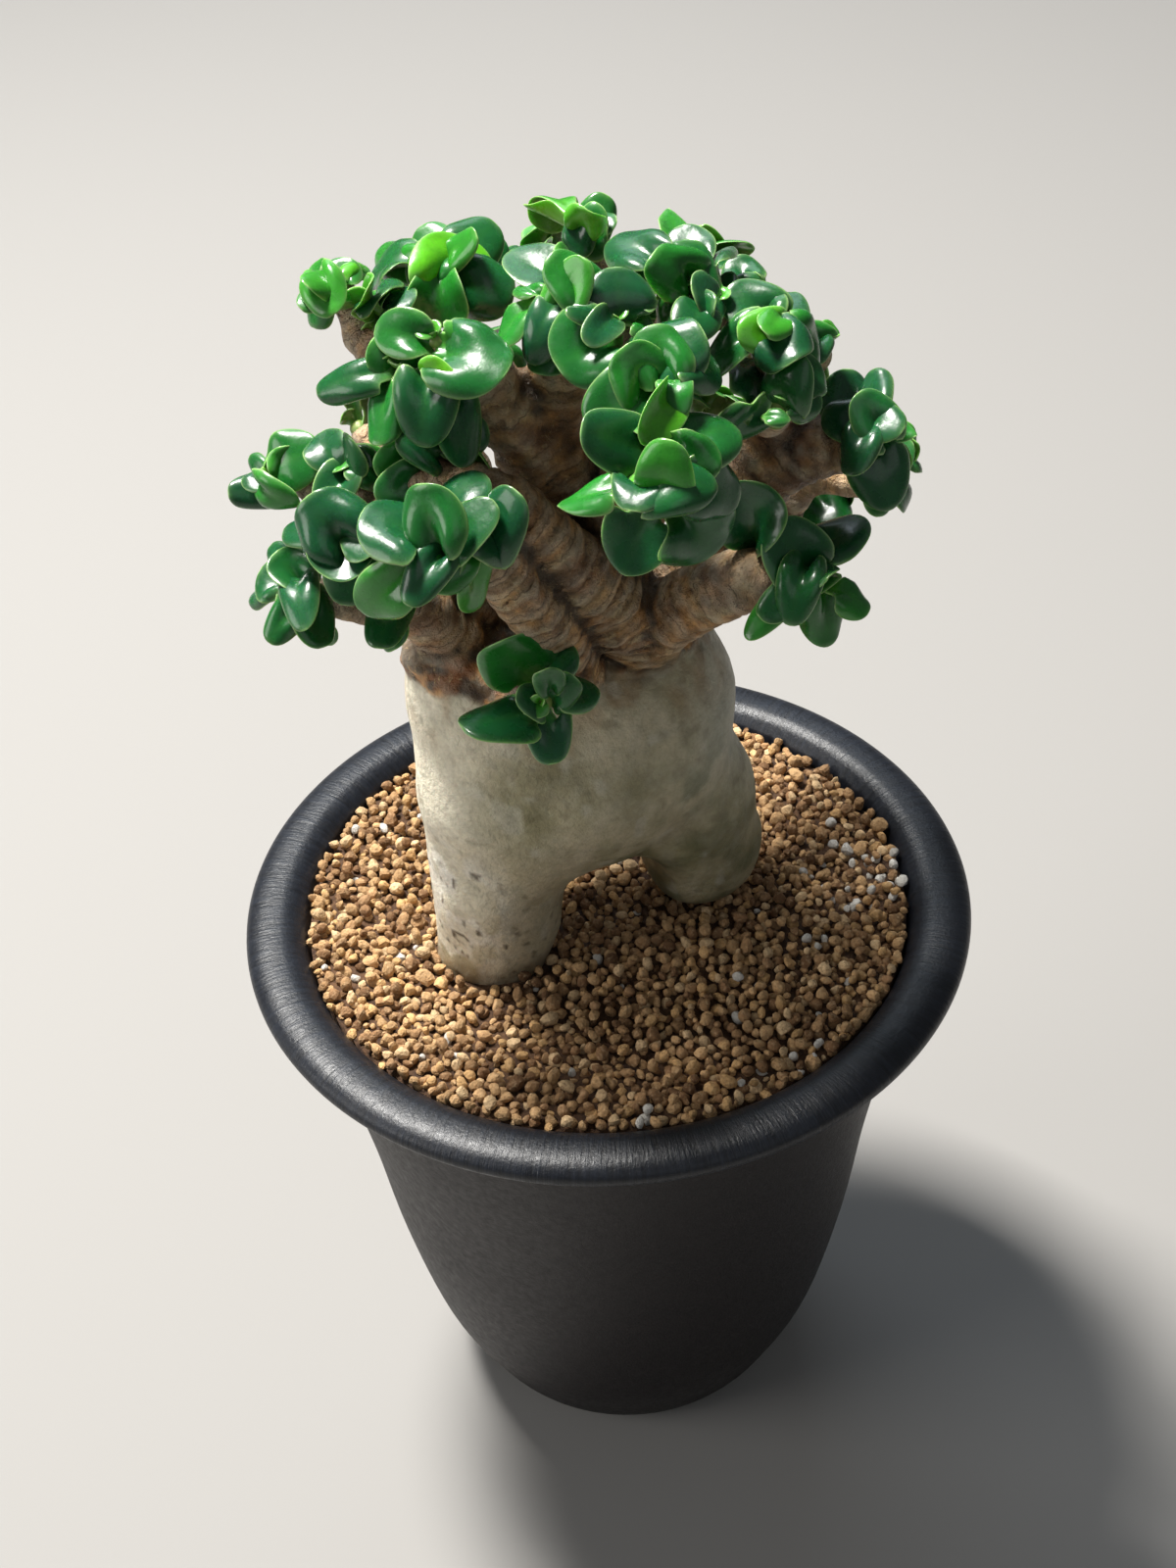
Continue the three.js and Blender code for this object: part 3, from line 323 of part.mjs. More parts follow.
// main branches, as points with a radius
const LIMBS = [
  [[-1.84,-8.5,142.75,3.6],[-2.21,-9.34,144.14,3.66],[-2.56,-10.2,145.52,3.72],[-2.92,-11.06,146.9,3.78],[-3.28,-11.91,148.29,3.84],[-3.66,-12.72,149.71,3.88],[-4.07,-13.5,151.18,3.9],[-4.49,-14.25,152.73,3.9],[-4.93,-14.98,154.36,3.87],[-5.39,-15.69,156.01,3.83],[-5.86,-16.35,157.65,3.79],[-6.35,-16.96,159.23,3.74],[-6.86,-17.5,160.69,3.7],[-7.4,-17.95,162.05,3.67],[-7.96,-18.31,163.34,3.64],[-8.55,-18.63,164.57,3.61],[-9.13,-18.91,165.73,3.57],[-9.71,-19.19,166.82,3.54],[-10.27,-19.5,167.85,3.5],[-10.8,-19.83,168.77,3.46],[-11.32,-20.17,169.59,3.41],[-11.83,-20.5,170.35,3.36],[-12.34,-20.83,171.07,3.3],[-12.85,-21.17,171.79,3.25],[-13.36,-21.5,172.54,3.2]],
  [[6.42,-5,145.79,4.8],[5.75,-5.76,147.23,4.82],[5.08,-6.54,148.68,4.85],[4.41,-7.31,150.14,4.87],[3.74,-8.07,151.58,4.9],[3.06,-8.81,153.01,4.91],[2.37,-9.5,154.41,4.9],[1.67,-10.16,155.81,4.87],[0.95,-10.81,157.21,4.83],[0.22,-11.44,158.59,4.78],[-0.5,-12.02,159.94,4.71],[-1.21,-12.54,161.24,4.65],[-1.88,-13,162.46,4.6],[-2.51,-13.38,163.6,4.55],[-3.11,-13.69,164.67,4.5],[-3.7,-13.94,165.69,4.46],[-4.28,-14.15,166.66,4.41],[-4.87,-14.33,167.59,4.36],[-5.48,-14.5,168.51,4.3],[-6.13,-14.65,169.41,4.24],[-6.78,-14.78,170.29,4.19],[-7.45,-14.88,171.13,4.12],[-8.13,-14.94,171.93,4.06],[-8.8,-14.99,172.66,3.99],[-9.47,-15,173.33,3.9],[-10.13,-14.97,173.93,3.8],[-10.77,-14.91,174.49,3.68],[-11.4,-14.81,174.98,3.55],[-12.06,-14.7,175.41,3.42],[-12.76,-14.59,175.76,3.3],[-13.52,-14.5,176.04,3.2],[-14.36,-14.42,176.2,3.12],[-15.25,-14.33,176.26,3.04],[-16.19,-14.25,176.24,2.98],[-17.15,-14.17,176.19,2.92],[-18.1,-14.08,176.13,2.86],[-19.04,-14,176.12,2.8]],
  [[7.72,-5.5,147.96,4.6],[8.26,-6.09,148.82,4.57],[8.78,-6.7,149.71,4.53],[9.31,-7.31,150.6,4.5],[9.84,-7.91,151.47,4.47],[10.4,-8.47,152.3,4.43],[10.98,-9,153.08,4.4],[11.59,-9.48,153.8,4.37],[12.22,-9.93,154.47,4.34],[12.88,-10.34,155.1,4.31],[13.54,-10.74,155.71,4.28],[14.21,-11.12,156.29,4.24],[14.88,-11.5,156.87,4.2],[15.54,-11.88,157.45,4.15],[16.2,-12.26,158.04,4.09],[16.86,-12.62,158.61,4.02],[17.53,-12.96,159.13,3.96],[18.23,-13.26,159.58,3.88],[18.94,-13.5,159.92,3.8],[19.69,-13.67,160.13,3.71],[20.47,-13.78,160.22,3.61],[21.27,-13.84,160.24,3.51],[22.08,-13.89,160.22,3.41],[22.88,-13.93,160.19,3.3],[23.68,-14,160.21,3.2]],
  [[-3,1,145,6],[-2.69,0.3,148.42,5.93],[-2.31,-0.43,151.99,5.87],[-1.94,-1.16,155.57,5.8],[-1.63,-1.85,158.98,5.73],[-1.43,-2.48,162.08,5.67],[-1.41,-3,164.71,5.6],[-1.59,-3.39,166.76,5.54],[-1.93,-3.69,168.35,5.47],[-2.38,-3.91,169.63,5.41],[-2.91,-4.09,170.73,5.35],[-3.47,-4.28,171.81,5.28],[-4.01,-4.5,173.01,5.2],[-4.57,-4.75,174.3,5.11],[-5.16,-5,175.57,5.02],[-5.79,-5.25,176.81,4.92],[-6.44,-5.5,178.03,4.82],[-7.08,-5.75,179.22,4.71],[-7.7,-6,180.39,4.6],[-8.3,-6.25,181.51,4.48],[-8.9,-6.5,182.6,4.35],[-9.49,-6.75,183.67,4.21],[-10.08,-7,184.72,4.07],[-10.68,-7.25,185.77,3.94],[-11.27,-7.5,186.83,3.8]],
  [[-5.61,-5,176.21,4.6],[-5.25,-4.99,177.09,4.5],[-4.89,-4.96,177.96,4.41],[-4.53,-4.94,178.82,4.31],[-4.18,-4.93,179.7,4.21],[-3.84,-4.94,180.59,4.11],[-3.53,-5,181.49,4],[-3.25,-5.11,182.43,3.88],[-3,-5.26,183.38,3.75],[-2.76,-5.44,184.35,3.61],[-2.54,-5.63,185.32,3.47],[-2.31,-5.82,186.29,3.34],[-2.08,-6,187.26,3.2]],
  [[4,-1,145,5.8],[3.7,-1.86,147.66,5.66],[3.32,-2.74,150.39,5.53],[2.94,-3.62,153.12,5.39],[2.64,-4.48,155.78,5.25],[2.48,-5.28,158.29,5.12],[2.55,-6,160.59,5],[2.91,-6.6,162.63,4.89],[3.51,-7.11,164.47,4.79],[4.26,-7.56,166.17,4.69],[5.06,-8,167.78,4.59],[5.8,-8.47,169.36,4.5],[6.38,-9,170.96,4.4],[6.79,-9.61,172.57,4.3],[7.12,-10.26,174.13,4.2],[7.4,-10.94,175.66,4.1],[7.64,-11.63,177.18,4],[7.89,-12.32,178.7,3.9],[8.16,-13,180.23,3.8]],
  [[5.13,-8,167.57,4.4],[5.51,-7.14,168.89,4.3],[5.87,-6.26,170.24,4.2],[6.23,-5.38,171.59,4.1],[6.61,-4.52,172.92,4],[7.02,-3.72,174.2,3.9],[7.46,-3,175.4,3.8],[7.98,-2.35,176.54,3.7],[8.56,-1.74,177.61,3.59],[9.17,-1.19,178.64,3.48],[9.77,-0.7,179.63,3.38],[10.32,-0.3,180.59,3.28],[10.78,0,181.54,3.2],[11.14,0.17,182.46,3.13],[11.42,0.22,183.34,3.08],[11.65,0.19,184.2,3.03],[11.86,0.11,185.04,2.99],[12.07,0.03,185.89,2.95],[12.3,0,186.74,2.9]],
  [[8,3,145,5.6],[9.36,2.84,146.48,5.5],[10.75,2.7,147.92,5.39],[12.14,2.56,149.36,5.29],[13.49,2.41,150.84,5.19],[14.78,2.22,152.38,5.09],[15.96,2,154.02,5],[17.02,1.72,155.86,4.92],[17.98,1.39,157.88,4.85],[18.87,1.03,159.97,4.79],[19.72,0.67,162.01,4.73],[20.57,0.32,163.86,4.66],[21.44,0,165.4,4.6],[22.33,-0.28,166.63,4.54],[23.21,-0.54,167.64,4.49],[24.09,-0.78,168.47,4.44],[24.96,-1.02,169.16,4.38],[25.84,-1.26,169.75,4.3],[26.73,-1.5,170.28,4.2],[27.63,-1.75,170.7,4.07],[28.53,-2,170.96,3.91],[29.44,-2.25,171.13,3.74],[30.35,-2.5,171.25,3.56],[31.27,-2.75,171.36,3.37],[32.18,-3,171.53,3.2]],
  [[20.31,1,162.64,4.4],[20.81,0.83,164.29,4.3],[21.33,0.67,165.96,4.2],[21.86,0.5,167.63,4.1],[22.36,0.33,169.28,4],[22.83,0.17,170.88,3.9],[23.24,0,172.41,3.8],[23.59,-0.17,173.85,3.7],[23.88,-0.33,175.22,3.6],[24.13,-0.5,176.54,3.5],[24.37,-0.67,177.84,3.4],[24.6,-0.83,179.13,3.3],[24.86,-1,180.46,3.2]],
  [[-11.27,-7.5,186.83,3.6],[-12.28,-6.95,186.44,3.5],[-13.3,-6.43,186.03,3.39],[-14.32,-5.91,185.61,3.29],[-15.32,-5.35,185.22,3.19],[-16.3,-4.73,184.85,3.09],[-17.23,-4,184.54,3],[-18.13,-3.13,184.24,2.92],[-19.01,-2.13,183.94,2.84],[-19.86,-1.06,183.68,2.77],[-20.67,0.02,183.48,2.71],[-21.44,1.06,183.36,2.65],[-22.15,2,183.37,2.6],[-22.79,2.84,183.53,2.56],[-23.35,3.61,183.82,2.52],[-23.87,4.34,184.21,2.49],[-24.37,5.06,184.64,2.46],[-24.86,5.77,185.07,2.43],[-25.38,6.5,185.45,2.4]],
  [[-16,-5,145,4.4],[-16.82,-5.88,146.9,4.23],[-17.67,-6.81,148.9,4.05],[-18.52,-7.75,150.89,3.88],[-19.34,-8.63,152.8,3.7],[-20.11,-9.4,154.51,3.54],[-20.8,-10,155.95,3.4],[-21.38,-10.4,157.04,3.28],[-21.89,-10.63,157.86,3.17],[-22.34,-10.75,158.49,3.08],[-22.76,-10.81,159.02,2.99],[-23.18,-10.88,159.56,2.9],[-23.63,-11,160.18,2.8]],
  [[-20.8,-10,155.95,3],[-21.71,-10.34,156.37,2.93],[-22.65,-10.7,156.8,2.86],[-23.59,-11.06,157.23,2.79],[-24.51,-11.41,157.65,2.73],[-25.39,-11.72,158.05,2.66],[-26.2,-12,158.43,2.6],[-26.95,-12.22,158.79,2.54],[-27.63,-12.41,159.12,2.49],[-28.27,-12.56,159.43,2.44],[-28.89,-12.7,159.74,2.4],[-29.52,-12.84,160.04,2.35],[-30.16,-13,160.36,2.3]],
  [[-13,-1,145,4.6],[-14.18,-1.7,147.24,4.43],[-15.37,-2.44,149.56,4.25],[-16.56,-3.19,151.88,4.07],[-17.74,-3.89,154.11,3.9],[-18.89,-4.51,156.18,3.74],[-20,-5,158,3.6],[-21.06,-5.35,159.52,3.47],[-22.09,-5.59,160.79,3.36],[-23.1,-5.75,161.89,3.26],[-24.08,-5.85,162.91,3.17],[-25.04,-5.93,163.92,3.08],[-26,-6,165,3],[-26.94,-6.06,166.14,2.92],[-27.86,-6.07,167.28,2.85],[-28.77,-6.06,168.4,2.79],[-29.67,-6.04,169.53,2.73],[-30.57,-6.01,170.65,2.66],[-31.48,-6,171.78,2.6]],
  [[3,8,143,5.2],[3.69,9.33,144.87,5.03],[4.41,10.67,146.78,4.87],[5.12,12,148.69,4.7],[5.81,13.33,150.56,4.53],[6.45,14.67,152.34,4.37],[7,16,154,4.2],[7.45,17.33,155.51,4.03],[7.81,18.67,156.89,3.87],[8.12,20,158.19,3.7],[8.41,21.33,159.44,3.53],[8.69,22.67,160.7,3.37],[9,24,162,3.2]],
  [[-9,6,143,5],[-9.84,7.37,145.01,4.83],[-10.7,8.78,147.04,4.67],[-11.56,10.19,149.06,4.5],[-12.41,11.56,151.07,4.33],[-13.22,12.84,153.06,4.17],[-14,14,155,4],[-14.72,15.01,156.89,3.83],[-15.41,15.89,158.74,3.67],[-16.06,16.69,160.56,3.5],[-16.7,17.44,162.37,3.33],[-17.34,18.2,164.18,3.17],[-18,19,166,3]],
  [[-2,5,146,5.4],[-1.82,6.19,148.69,5.24],[-1.63,7.41,151.41,5.07],[-1.44,8.62,154.12,4.91],[-1.26,9.81,156.81,4.75],[-1.11,10.95,159.45,4.58],[-1,12,162,4.4],[-0.94,12.95,164.45,4.21],[-0.93,13.81,166.81,4.01],[-0.94,14.62,169.12,3.81],[-0.96,15.41,171.41,3.61],[-0.99,16.19,173.69,3.4],[-1,17,176,3.2]],
  [[12,5,143,4.6],[13.7,5.69,144.33,4.47],[15.44,6.41,145.67,4.33],[17.19,7.12,147,4.2],[18.89,7.81,148.33,4.07],[20.51,8.45,149.67,3.93],[22,9,151,3.8],[23.34,9.45,152.33,3.67],[24.56,9.81,153.67,3.53],[25.69,10.12,155,3.4],[26.78,10.41,156.33,3.27],[27.87,10.69,157.67,3.13],[29,11,159,3]],
  [[-16,2,143,4.2],[-17.53,2.34,144.37,4.07],[-19.11,2.7,145.78,3.93],[-20.69,3.06,147.19,3.8],[-22.22,3.41,148.56,3.67],[-23.67,3.72,149.84,3.53],[-25,4,151,3.4],[-26.17,4.22,152.01,3.27],[-27.22,4.41,152.89,3.13],[-28.19,4.56,153.69,3],[-29.11,4.7,154.44,2.87],[-30.03,4.84,155.2,2.73],[-31,5,156,2.6]],
];
// the twig that carries each growing tip
const TWIGS = [
  [1,[[-25.38,6.5,185.45,2.04],[-26,7,187.02,2.01],[-26.5,7.56,188.57,1.98],[-27.51,7.94,189.98,1.95]]],
  [2,[[-22.1,4,184.57,1.74],[-21.37,5.23,185.8,1.78],[-19.8,6.7,186.32,1.81],[-17.87,8.25,186.53,1.85],[-16.05,9.69,186.79,1.88],[-14.82,10.85,187.5,1.92],[-14.66,11.56,189.03,1.95]]],
  [3,[[-11.27,-7.5,186.83,2.9],[-12.71,-7.79,188.23,2.58],[-14.36,-8.03,189.38,2.27],[-15.47,-8.3,191.05,1.95]]],
  [4,[[-17.23,-4,184.54,2.55],[-18.42,-5.26,185.7,2.35],[-19.6,-6.82,186.54,2.15],[-20.57,-7.75,188.04,1.95]]],
  [5,[[-14.36,-14.42,176.2,2.65],[-15.5,-13.6,176.82,2.42],[-16.63,-12.31,177.1,2.18],[-17.47,-11.85,177.98,1.95]]],
  [6,[[3.91,13.81,189.2,1.74],[3.39,13.29,189.6,1.81],[2.66,12.5,189.37,1.88],[2.27,11.83,188.92,1.95]]],
  [7,[[-2.08,-6,187.26,2.72],[-1.96,-6.38,188.98,2.53],[-1.74,-6.8,190.61,2.33],[-1.53,-7.2,192.27,2.14],[-1.47,-7.5,194.13,1.95]]],
  [8,[[-1.74,-6.8,190.61,1.98],[-0.23,-7.57,191.33,1.98],[1.82,-8.41,191.24,1.97],[3.67,-9.18,191.29,1.96],[4.55,-9.68,192.43,1.95]]],
  [9,[[12.3,0,186.74,2.46],[12.38,-0.44,188.33,2.29],[12.29,-1.01,189.84,2.12],[12.43,-1.32,191.53,1.95]]],
  [10,[[12.29,-1.01,189.84,1.8],[13.66,-1.81,190.14,1.85],[15.16,-2.79,189.9,1.9],[16.11,-3.31,190.59,1.95]]],
  [11,[[24.86,-1,180.46,2.72],[24.55,-0.11,181.95,2.57],[23.46,1.12,183.11,2.41],[22.18,2.41,184.17,2.26],[21.28,3.45,185.39,2.1],[21.33,3.95,187,1.95]]],
  [12,[[24.86,-1,180.46,2.72],[24.85,-1.87,182.01,2.57],[24.21,-3.07,183.35,2.41],[23.39,-4.32,184.64,2.26],[22.87,-5.35,186.05,2.1],[23.1,-5.89,187.74,1.95]]],
  [13,[[24.86,-1,180.46,2.72],[26.35,-0.2,180.89,2.46],[27.85,0.85,180.97,2.21],[29.05,1.4,181.85,1.95]]],
  [14,[[8.3,-16.76,181.58,2.2],[8.64,-16.86,183.32,2.13],[8.94,-16.61,185.02,2.07],[9.22,-16.39,186.75,2.01],[9.52,-16.6,188.59,1.95]]],
  [15,[[8.16,-13,180.23,2.9],[8.32,-14.72,181.2,2.74],[8.3,-16.76,181.58,2.58],[8.19,-18.92,181.73,2.42],[8.08,-20.98,181.98,2.27],[8.08,-22.74,182.68,2.11],[8.27,-23.99,184.16,1.95]]],
  [16,[[24.6,-0.83,179.13,2.8],[24.69,-2.81,180.08,2.63],[23.91,-5.36,180.17,2.46],[22.89,-7.96,180.07,2.29],[22.23,-10.11,180.43,2.12],[22.56,-11.28,181.89,1.95]]],
  [17,[[31.27,-2.75,171.36,2.87],[32.47,-3.16,171.76,2.56],[33.65,-3.65,172.03,2.26],[34.71,-3.96,172.75,1.95]]],
  [18,[[22.08,-13.89,160.22,2.9],[23.59,-13.9,159.81,2.58],[25.07,-13.63,159.12,2.27],[26.38,-13.78,159.31,1.95]]],
  [19,[[-31.48,-6,171.78,2.21],[-32.82,-5.28,172.19,2.12],[-34.08,-4.27,172.4,2.04],[-35.42,-3.91,173,1.95]]],
  [20,[[-22.81,-14.96,172.66,1.84],[-23.98,-13.91,173.53,1.87],[-24.89,-12.06,174,1.9],[-25.73,-10.39,174.58,1.92],[-26.68,-9.88,175.78,1.95]]],
  [21,[[-19.04,-14,176.12,2.38],[-21.02,-14.66,175.07,2.27],[-22.81,-14.96,172.66,2.17],[-24.41,-15.23,170.68,2.06],[-25.85,-15.8,170.91,1.95]]],
  [22,[[-12.34,-20.83,171.07,2.81],[-13.51,-21.53,171.75,2.52],[-14.83,-22.06,172.3,2.24],[-15.76,-22.72,173.29,1.95]]],
  [23,[[-29.52,-12.84,160.04,2],[-30.79,-12.87,160.41,1.98],[-32.05,-12.72,160.75,1.97],[-33.33,-12.84,161.27,1.95]]],
  [24,[[-21.38,-10.4,157.04,2.79],[-21.94,-11.39,157.89,2.51],[-22.18,-12.48,158.82,2.23],[-22.84,-13.59,159.51,1.95]]],
  [25,[[-2.78,-15,146.35,2.4],[-3.1,-15.48,146.56,2.32],[-3.42,-15.93,146.75,2.24],[-3.74,-16.39,146.95,2.15],[-4.06,-16.91,147.19,2.07],[-4.39,-17.5,147.52,2],[-4.73,-18.2,147.94,1.93],[-5.08,-18.99,148.43,1.87],[-5.44,-19.82,148.97,1.82],[-5.79,-20.66,149.53,1.76],[-6.15,-21.48,150.06,1.7]]],
  [26,[[8.97,25.81,162.82,2.18],[9.92,26.41,164.43,2.16],[10.92,26.41,166.08,2.13],[11.96,25.99,167.77,2.1],[12.99,25.33,169.5,2.08],[13.98,24.61,171.26,2.05],[14.9,24.01,173.05,2.03],[15.72,23.7,174.85,2],[16.39,23.86,176.67,1.98],[16.89,24.68,178.51,1.95]]],
  [27,[[-1,17,176,2.72],[-1.25,18.73,176.98,2.59],[-1.57,20.68,177.47,2.46],[-1.92,22.7,177.78,2.33],[-2.28,24.64,178.19,2.21],[-2.63,26.36,179,2.08],[-2.93,27.7,180.48,1.95]]],
  [28,[[-18,19,166,2.55],[-18.62,19.81,167.74,2.46],[-18.93,20.33,169.6,2.38],[-19.05,20.67,171.53,2.29],[-19.08,20.96,173.51,2.21],[-19.15,21.32,175.52,2.12],[-19.36,21.87,177.53,2.04],[-19.83,22.72,179.49,1.95]]],
  [29,[[9,24,162,2.72],[8.97,25.81,162.82,2.57],[8.62,27.6,163.52,2.41],[8.17,29.34,164.26,2.26],[7.85,31.01,165.22,2.1],[7.91,32.59,166.57,1.95]]],
  [30,[[-17.34,18.2,164.18,2.69],[-17.24,20.2,164.52,2.59],[-16.42,22.22,164.39,2.48],[-15.21,24.22,164.01,2.37],[-13.93,26.19,163.61,2.27],[-12.88,28.09,163.43,2.16],[-12.39,29.89,163.7,2.06],[-12.76,31.58,164.65,1.95]]],
  [31,[[28.03,18.23,149.51,1.79],[28.55,19.53,150.8,1.81],[28.37,20.57,152.37,1.83],[27.73,21.44,154.14,1.85],[26.87,22.23,156,1.87],[26,23.05,157.88,1.89],[25.37,23.98,159.68,1.91],[25.21,25.12,161.31,1.93],[25.74,26.57,162.68,1.95]]],
  [32,[[-16.7,17.44,162.37,2.83],[-18.4,18.53,162.36,2.71],[-20.2,19.44,161.81,2.58],[-22.05,20.24,160.99,2.45],[-23.89,21,160.18,2.33],[-25.64,21.79,159.67,2.2],[-27.25,22.66,159.72,2.08],[-28.65,23.69,160.62,1.95]]],
  [33,[[29,11,159,2.55],[30.84,10.65,159.08,2.43],[32.61,9.82,158.83,2.31],[34.31,8.86,158.6,2.19],[35.95,8.12,158.75,2.07],[37.55,7.94,159.61,1.95]]],
  [34,[[3.79,20.19,151.25,2.2],[4.91,21.91,151.31,2.17],[6.24,23.42,151.22,2.14],[7.72,24.77,151.07,2.11],[9.3,26.02,150.91,2.09],[10.93,27.23,150.83,2.06],[12.53,28.43,150.89,2.03],[14.07,29.69,151.18,2],[15.48,31.05,151.76,1.98],[16.71,32.57,152.7,1.95]]],
  [35,[[-21.44,1.06,183.36,2.25],[-21.88,2.36,184.12,2.15],[-22.1,4,184.57,2.05],[-22.67,4.92,185.5,1.95]]],
  [36,[[23.34,9.45,152.33,2.9],[24.68,10.99,151.96,2.74],[25.58,12.77,151.26,2.58],[26.29,14.65,150.47,2.42],[27.03,16.52,149.81,2.27],[28.03,18.23,149.51,2.11],[29.53,19.67,149.82,1.95]]],
];


// ---------------------------------------------------------------- small vector helpers
const V = (x, y, z) => [x, y, z];
const add = (a, b) => [a[0] + b[0], a[1] + b[1], a[2] + b[2]];
const sub = (a, b) => [a[0] - b[0], a[1] - b[1], a[2] - b[2]];
const mul = (a, s) => [a[0] * s, a[1] * s, a[2] * s];
const dot = (a, b) => a[0] * b[0] + a[1] * b[1] + a[2] * b[2];
const cross = (a, b) => [a[1] * b[2] - a[2] * b[1], a[2] * b[0] - a[0] * b[2], a[0] * b[1] - a[1] * b[0]];
const len = (a) => Math.hypot(a[0], a[1], a[2]);
const unit = (a) => mul(a, 1 / (len(a) || 1));

// ---------------------------------------------------------------- solids and meshes
function solidFromArrays(pos, tri) {
  const m = new wasm.Mesh({ numProp: 3, vertProperties: new Float32Array(pos), triVerts: new Uint32Array(tri) });
  return new wasm.Manifold(m);
}
function solidFromGeometry(g0) {
  const g = g0.clone();
  for (const k of Object.keys(g.attributes)) if (k !== 'position') g.deleteAttribute(k);
  const m = mergeVertices(g, 1e-4);
  const idx = Array.from(m.index.array), p = m.attributes.position.array, tri = [];
  for (let i = 0; i < idx.length; i += 3) {
    const [a, b, c] = [idx[i], idx[i + 1], idx[i + 2]];
    if (a !== b && b !== c && a !== c) tri.push(a, b, c);
  }
  return solidFromArrays(p, tri);
}
// the largest connected piece of a solid, as plain arrays
function largestPiece(s) {
  const m = s.getMesh(), tri = m.triVerts, np = m.numProp, vp = m.vertProperties, n = vp.length / np;
  const par = new Int32Array(n).map((_, i) => i);
  const find = (a) => { while (par[a] !== a) { par[a] = par[par[a]]; a = par[a]; } return a; };
  const key = new Map();
  for (let i = 0; i < n; i++) {
    const k = `${vp[i * np]},${vp[i * np + 1]},${vp[i * np + 2]}`;
    if (key.has(k)) par[find(i)] = find(key.get(k)); else key.set(k, i);
  }
  for (let i = 0; i < tri.length; i += 3) { par[find(tri[i])] = find(tri[i + 1]); par[find(tri[i + 1])] = find(tri[i + 2]); }
  const vol = new Map();
  const P = (i) => [vp[i * np], vp[i * np + 1], vp[i * np + 2]];
  for (let i = 0; i < tri.length; i += 3) {
    const r = find(tri[i]);
    vol.set(r, (vol.get(r) || 0) + dot(P(tri[i]), cross(P(tri[i + 1]), P(tri[i + 2]))) / 6);
  }
  let best = -1, bv = -1;
  for (const [r, v] of vol) if (v > bv) { bv = v; best = r; }
  const map = new Map(), pos = [], out = [];
  for (let i = 0; i < tri.length; i += 3) {
    if (find(tri[i]) !== best) continue;
    for (let k = 0; k < 3; k++) {
      const v = find(tri[i + k]) === best ? tri[i + k] : tri[i + k];
      const q = P(v), kk = q.join(',');
      if (!map.has(kk)) { map.set(kk, pos.length / 3); pos.push(...q); }
      out.push(map.get(kk));
    }
  }
  return { pos, tri: out, vol: bv };
}
// the main body of a mesh once vertices closer than a micron are joined: pinched-off crumbs and pockets are left out
function settle(data) {
  let pos = data.pos, tri = data.tri;
  for (let k = 0; k < 8; k++) {
    const g = new THREE.BufferGeometry(); g.setAttribute('position', new THREE.Float32BufferAttribute(pos, 3)); g.setIndex(Array.from(tri));
    const m = mergeVertices(g, 1e-3), idx = Array.from(m.index.array), t = [];
    for (let i = 0; i < idx.length; i += 3) if (idx[i] !== idx[i + 1] && idx[i + 1] !== idx[i + 2] && idx[i] !== idx[i + 2]) t.push(idx[i], idx[i + 1], idx[i + 2]);
    const parts = solidFromArrays(m.attributes.position.array, t).decompose();
    if (parts.length === 1) return { pos: Array.from(m.attributes.position.array), tri: t, vol: parts[0].volume() };
    const best = parts.reduce((a, b) => (a.volume() > b.volume() ? a : b)).getMesh();
    pos = []; for (let i = 0; i < best.vertProperties.length; i += best.numProp) pos.push(best.vertProperties[i], best.vertProperties[i + 1], best.vertProperties[i + 2]);
    tri = Array.from(best.triVerts);
  }
  return data;
}
// whether every edge joins exactly two faces
function sound({ pos, tri }) {
  const id = new Map(), v = [], E = new Map();
  for (let i = 0; i < pos.length; i += 3) { const k = [0, 1, 2].map((j) => Math.round(pos[i + j] * 1e3)).join(); if (!id.has(k)) id.set(k, id.size); v.push(id.get(k)); }
  for (let i = 0; i < tri.length; i += 3) for (let k = 0; k < 3; k++) {
    const a = v[tri[i + k]], b = v[tri[i + (k + 1) % 3]], e = a < b ? `${a}_${b}` : `${b}_${a}`; E.set(e, (E.get(e) || 0) + 1);
  }
  return [...E.values()].every((n) => n === 2);
}
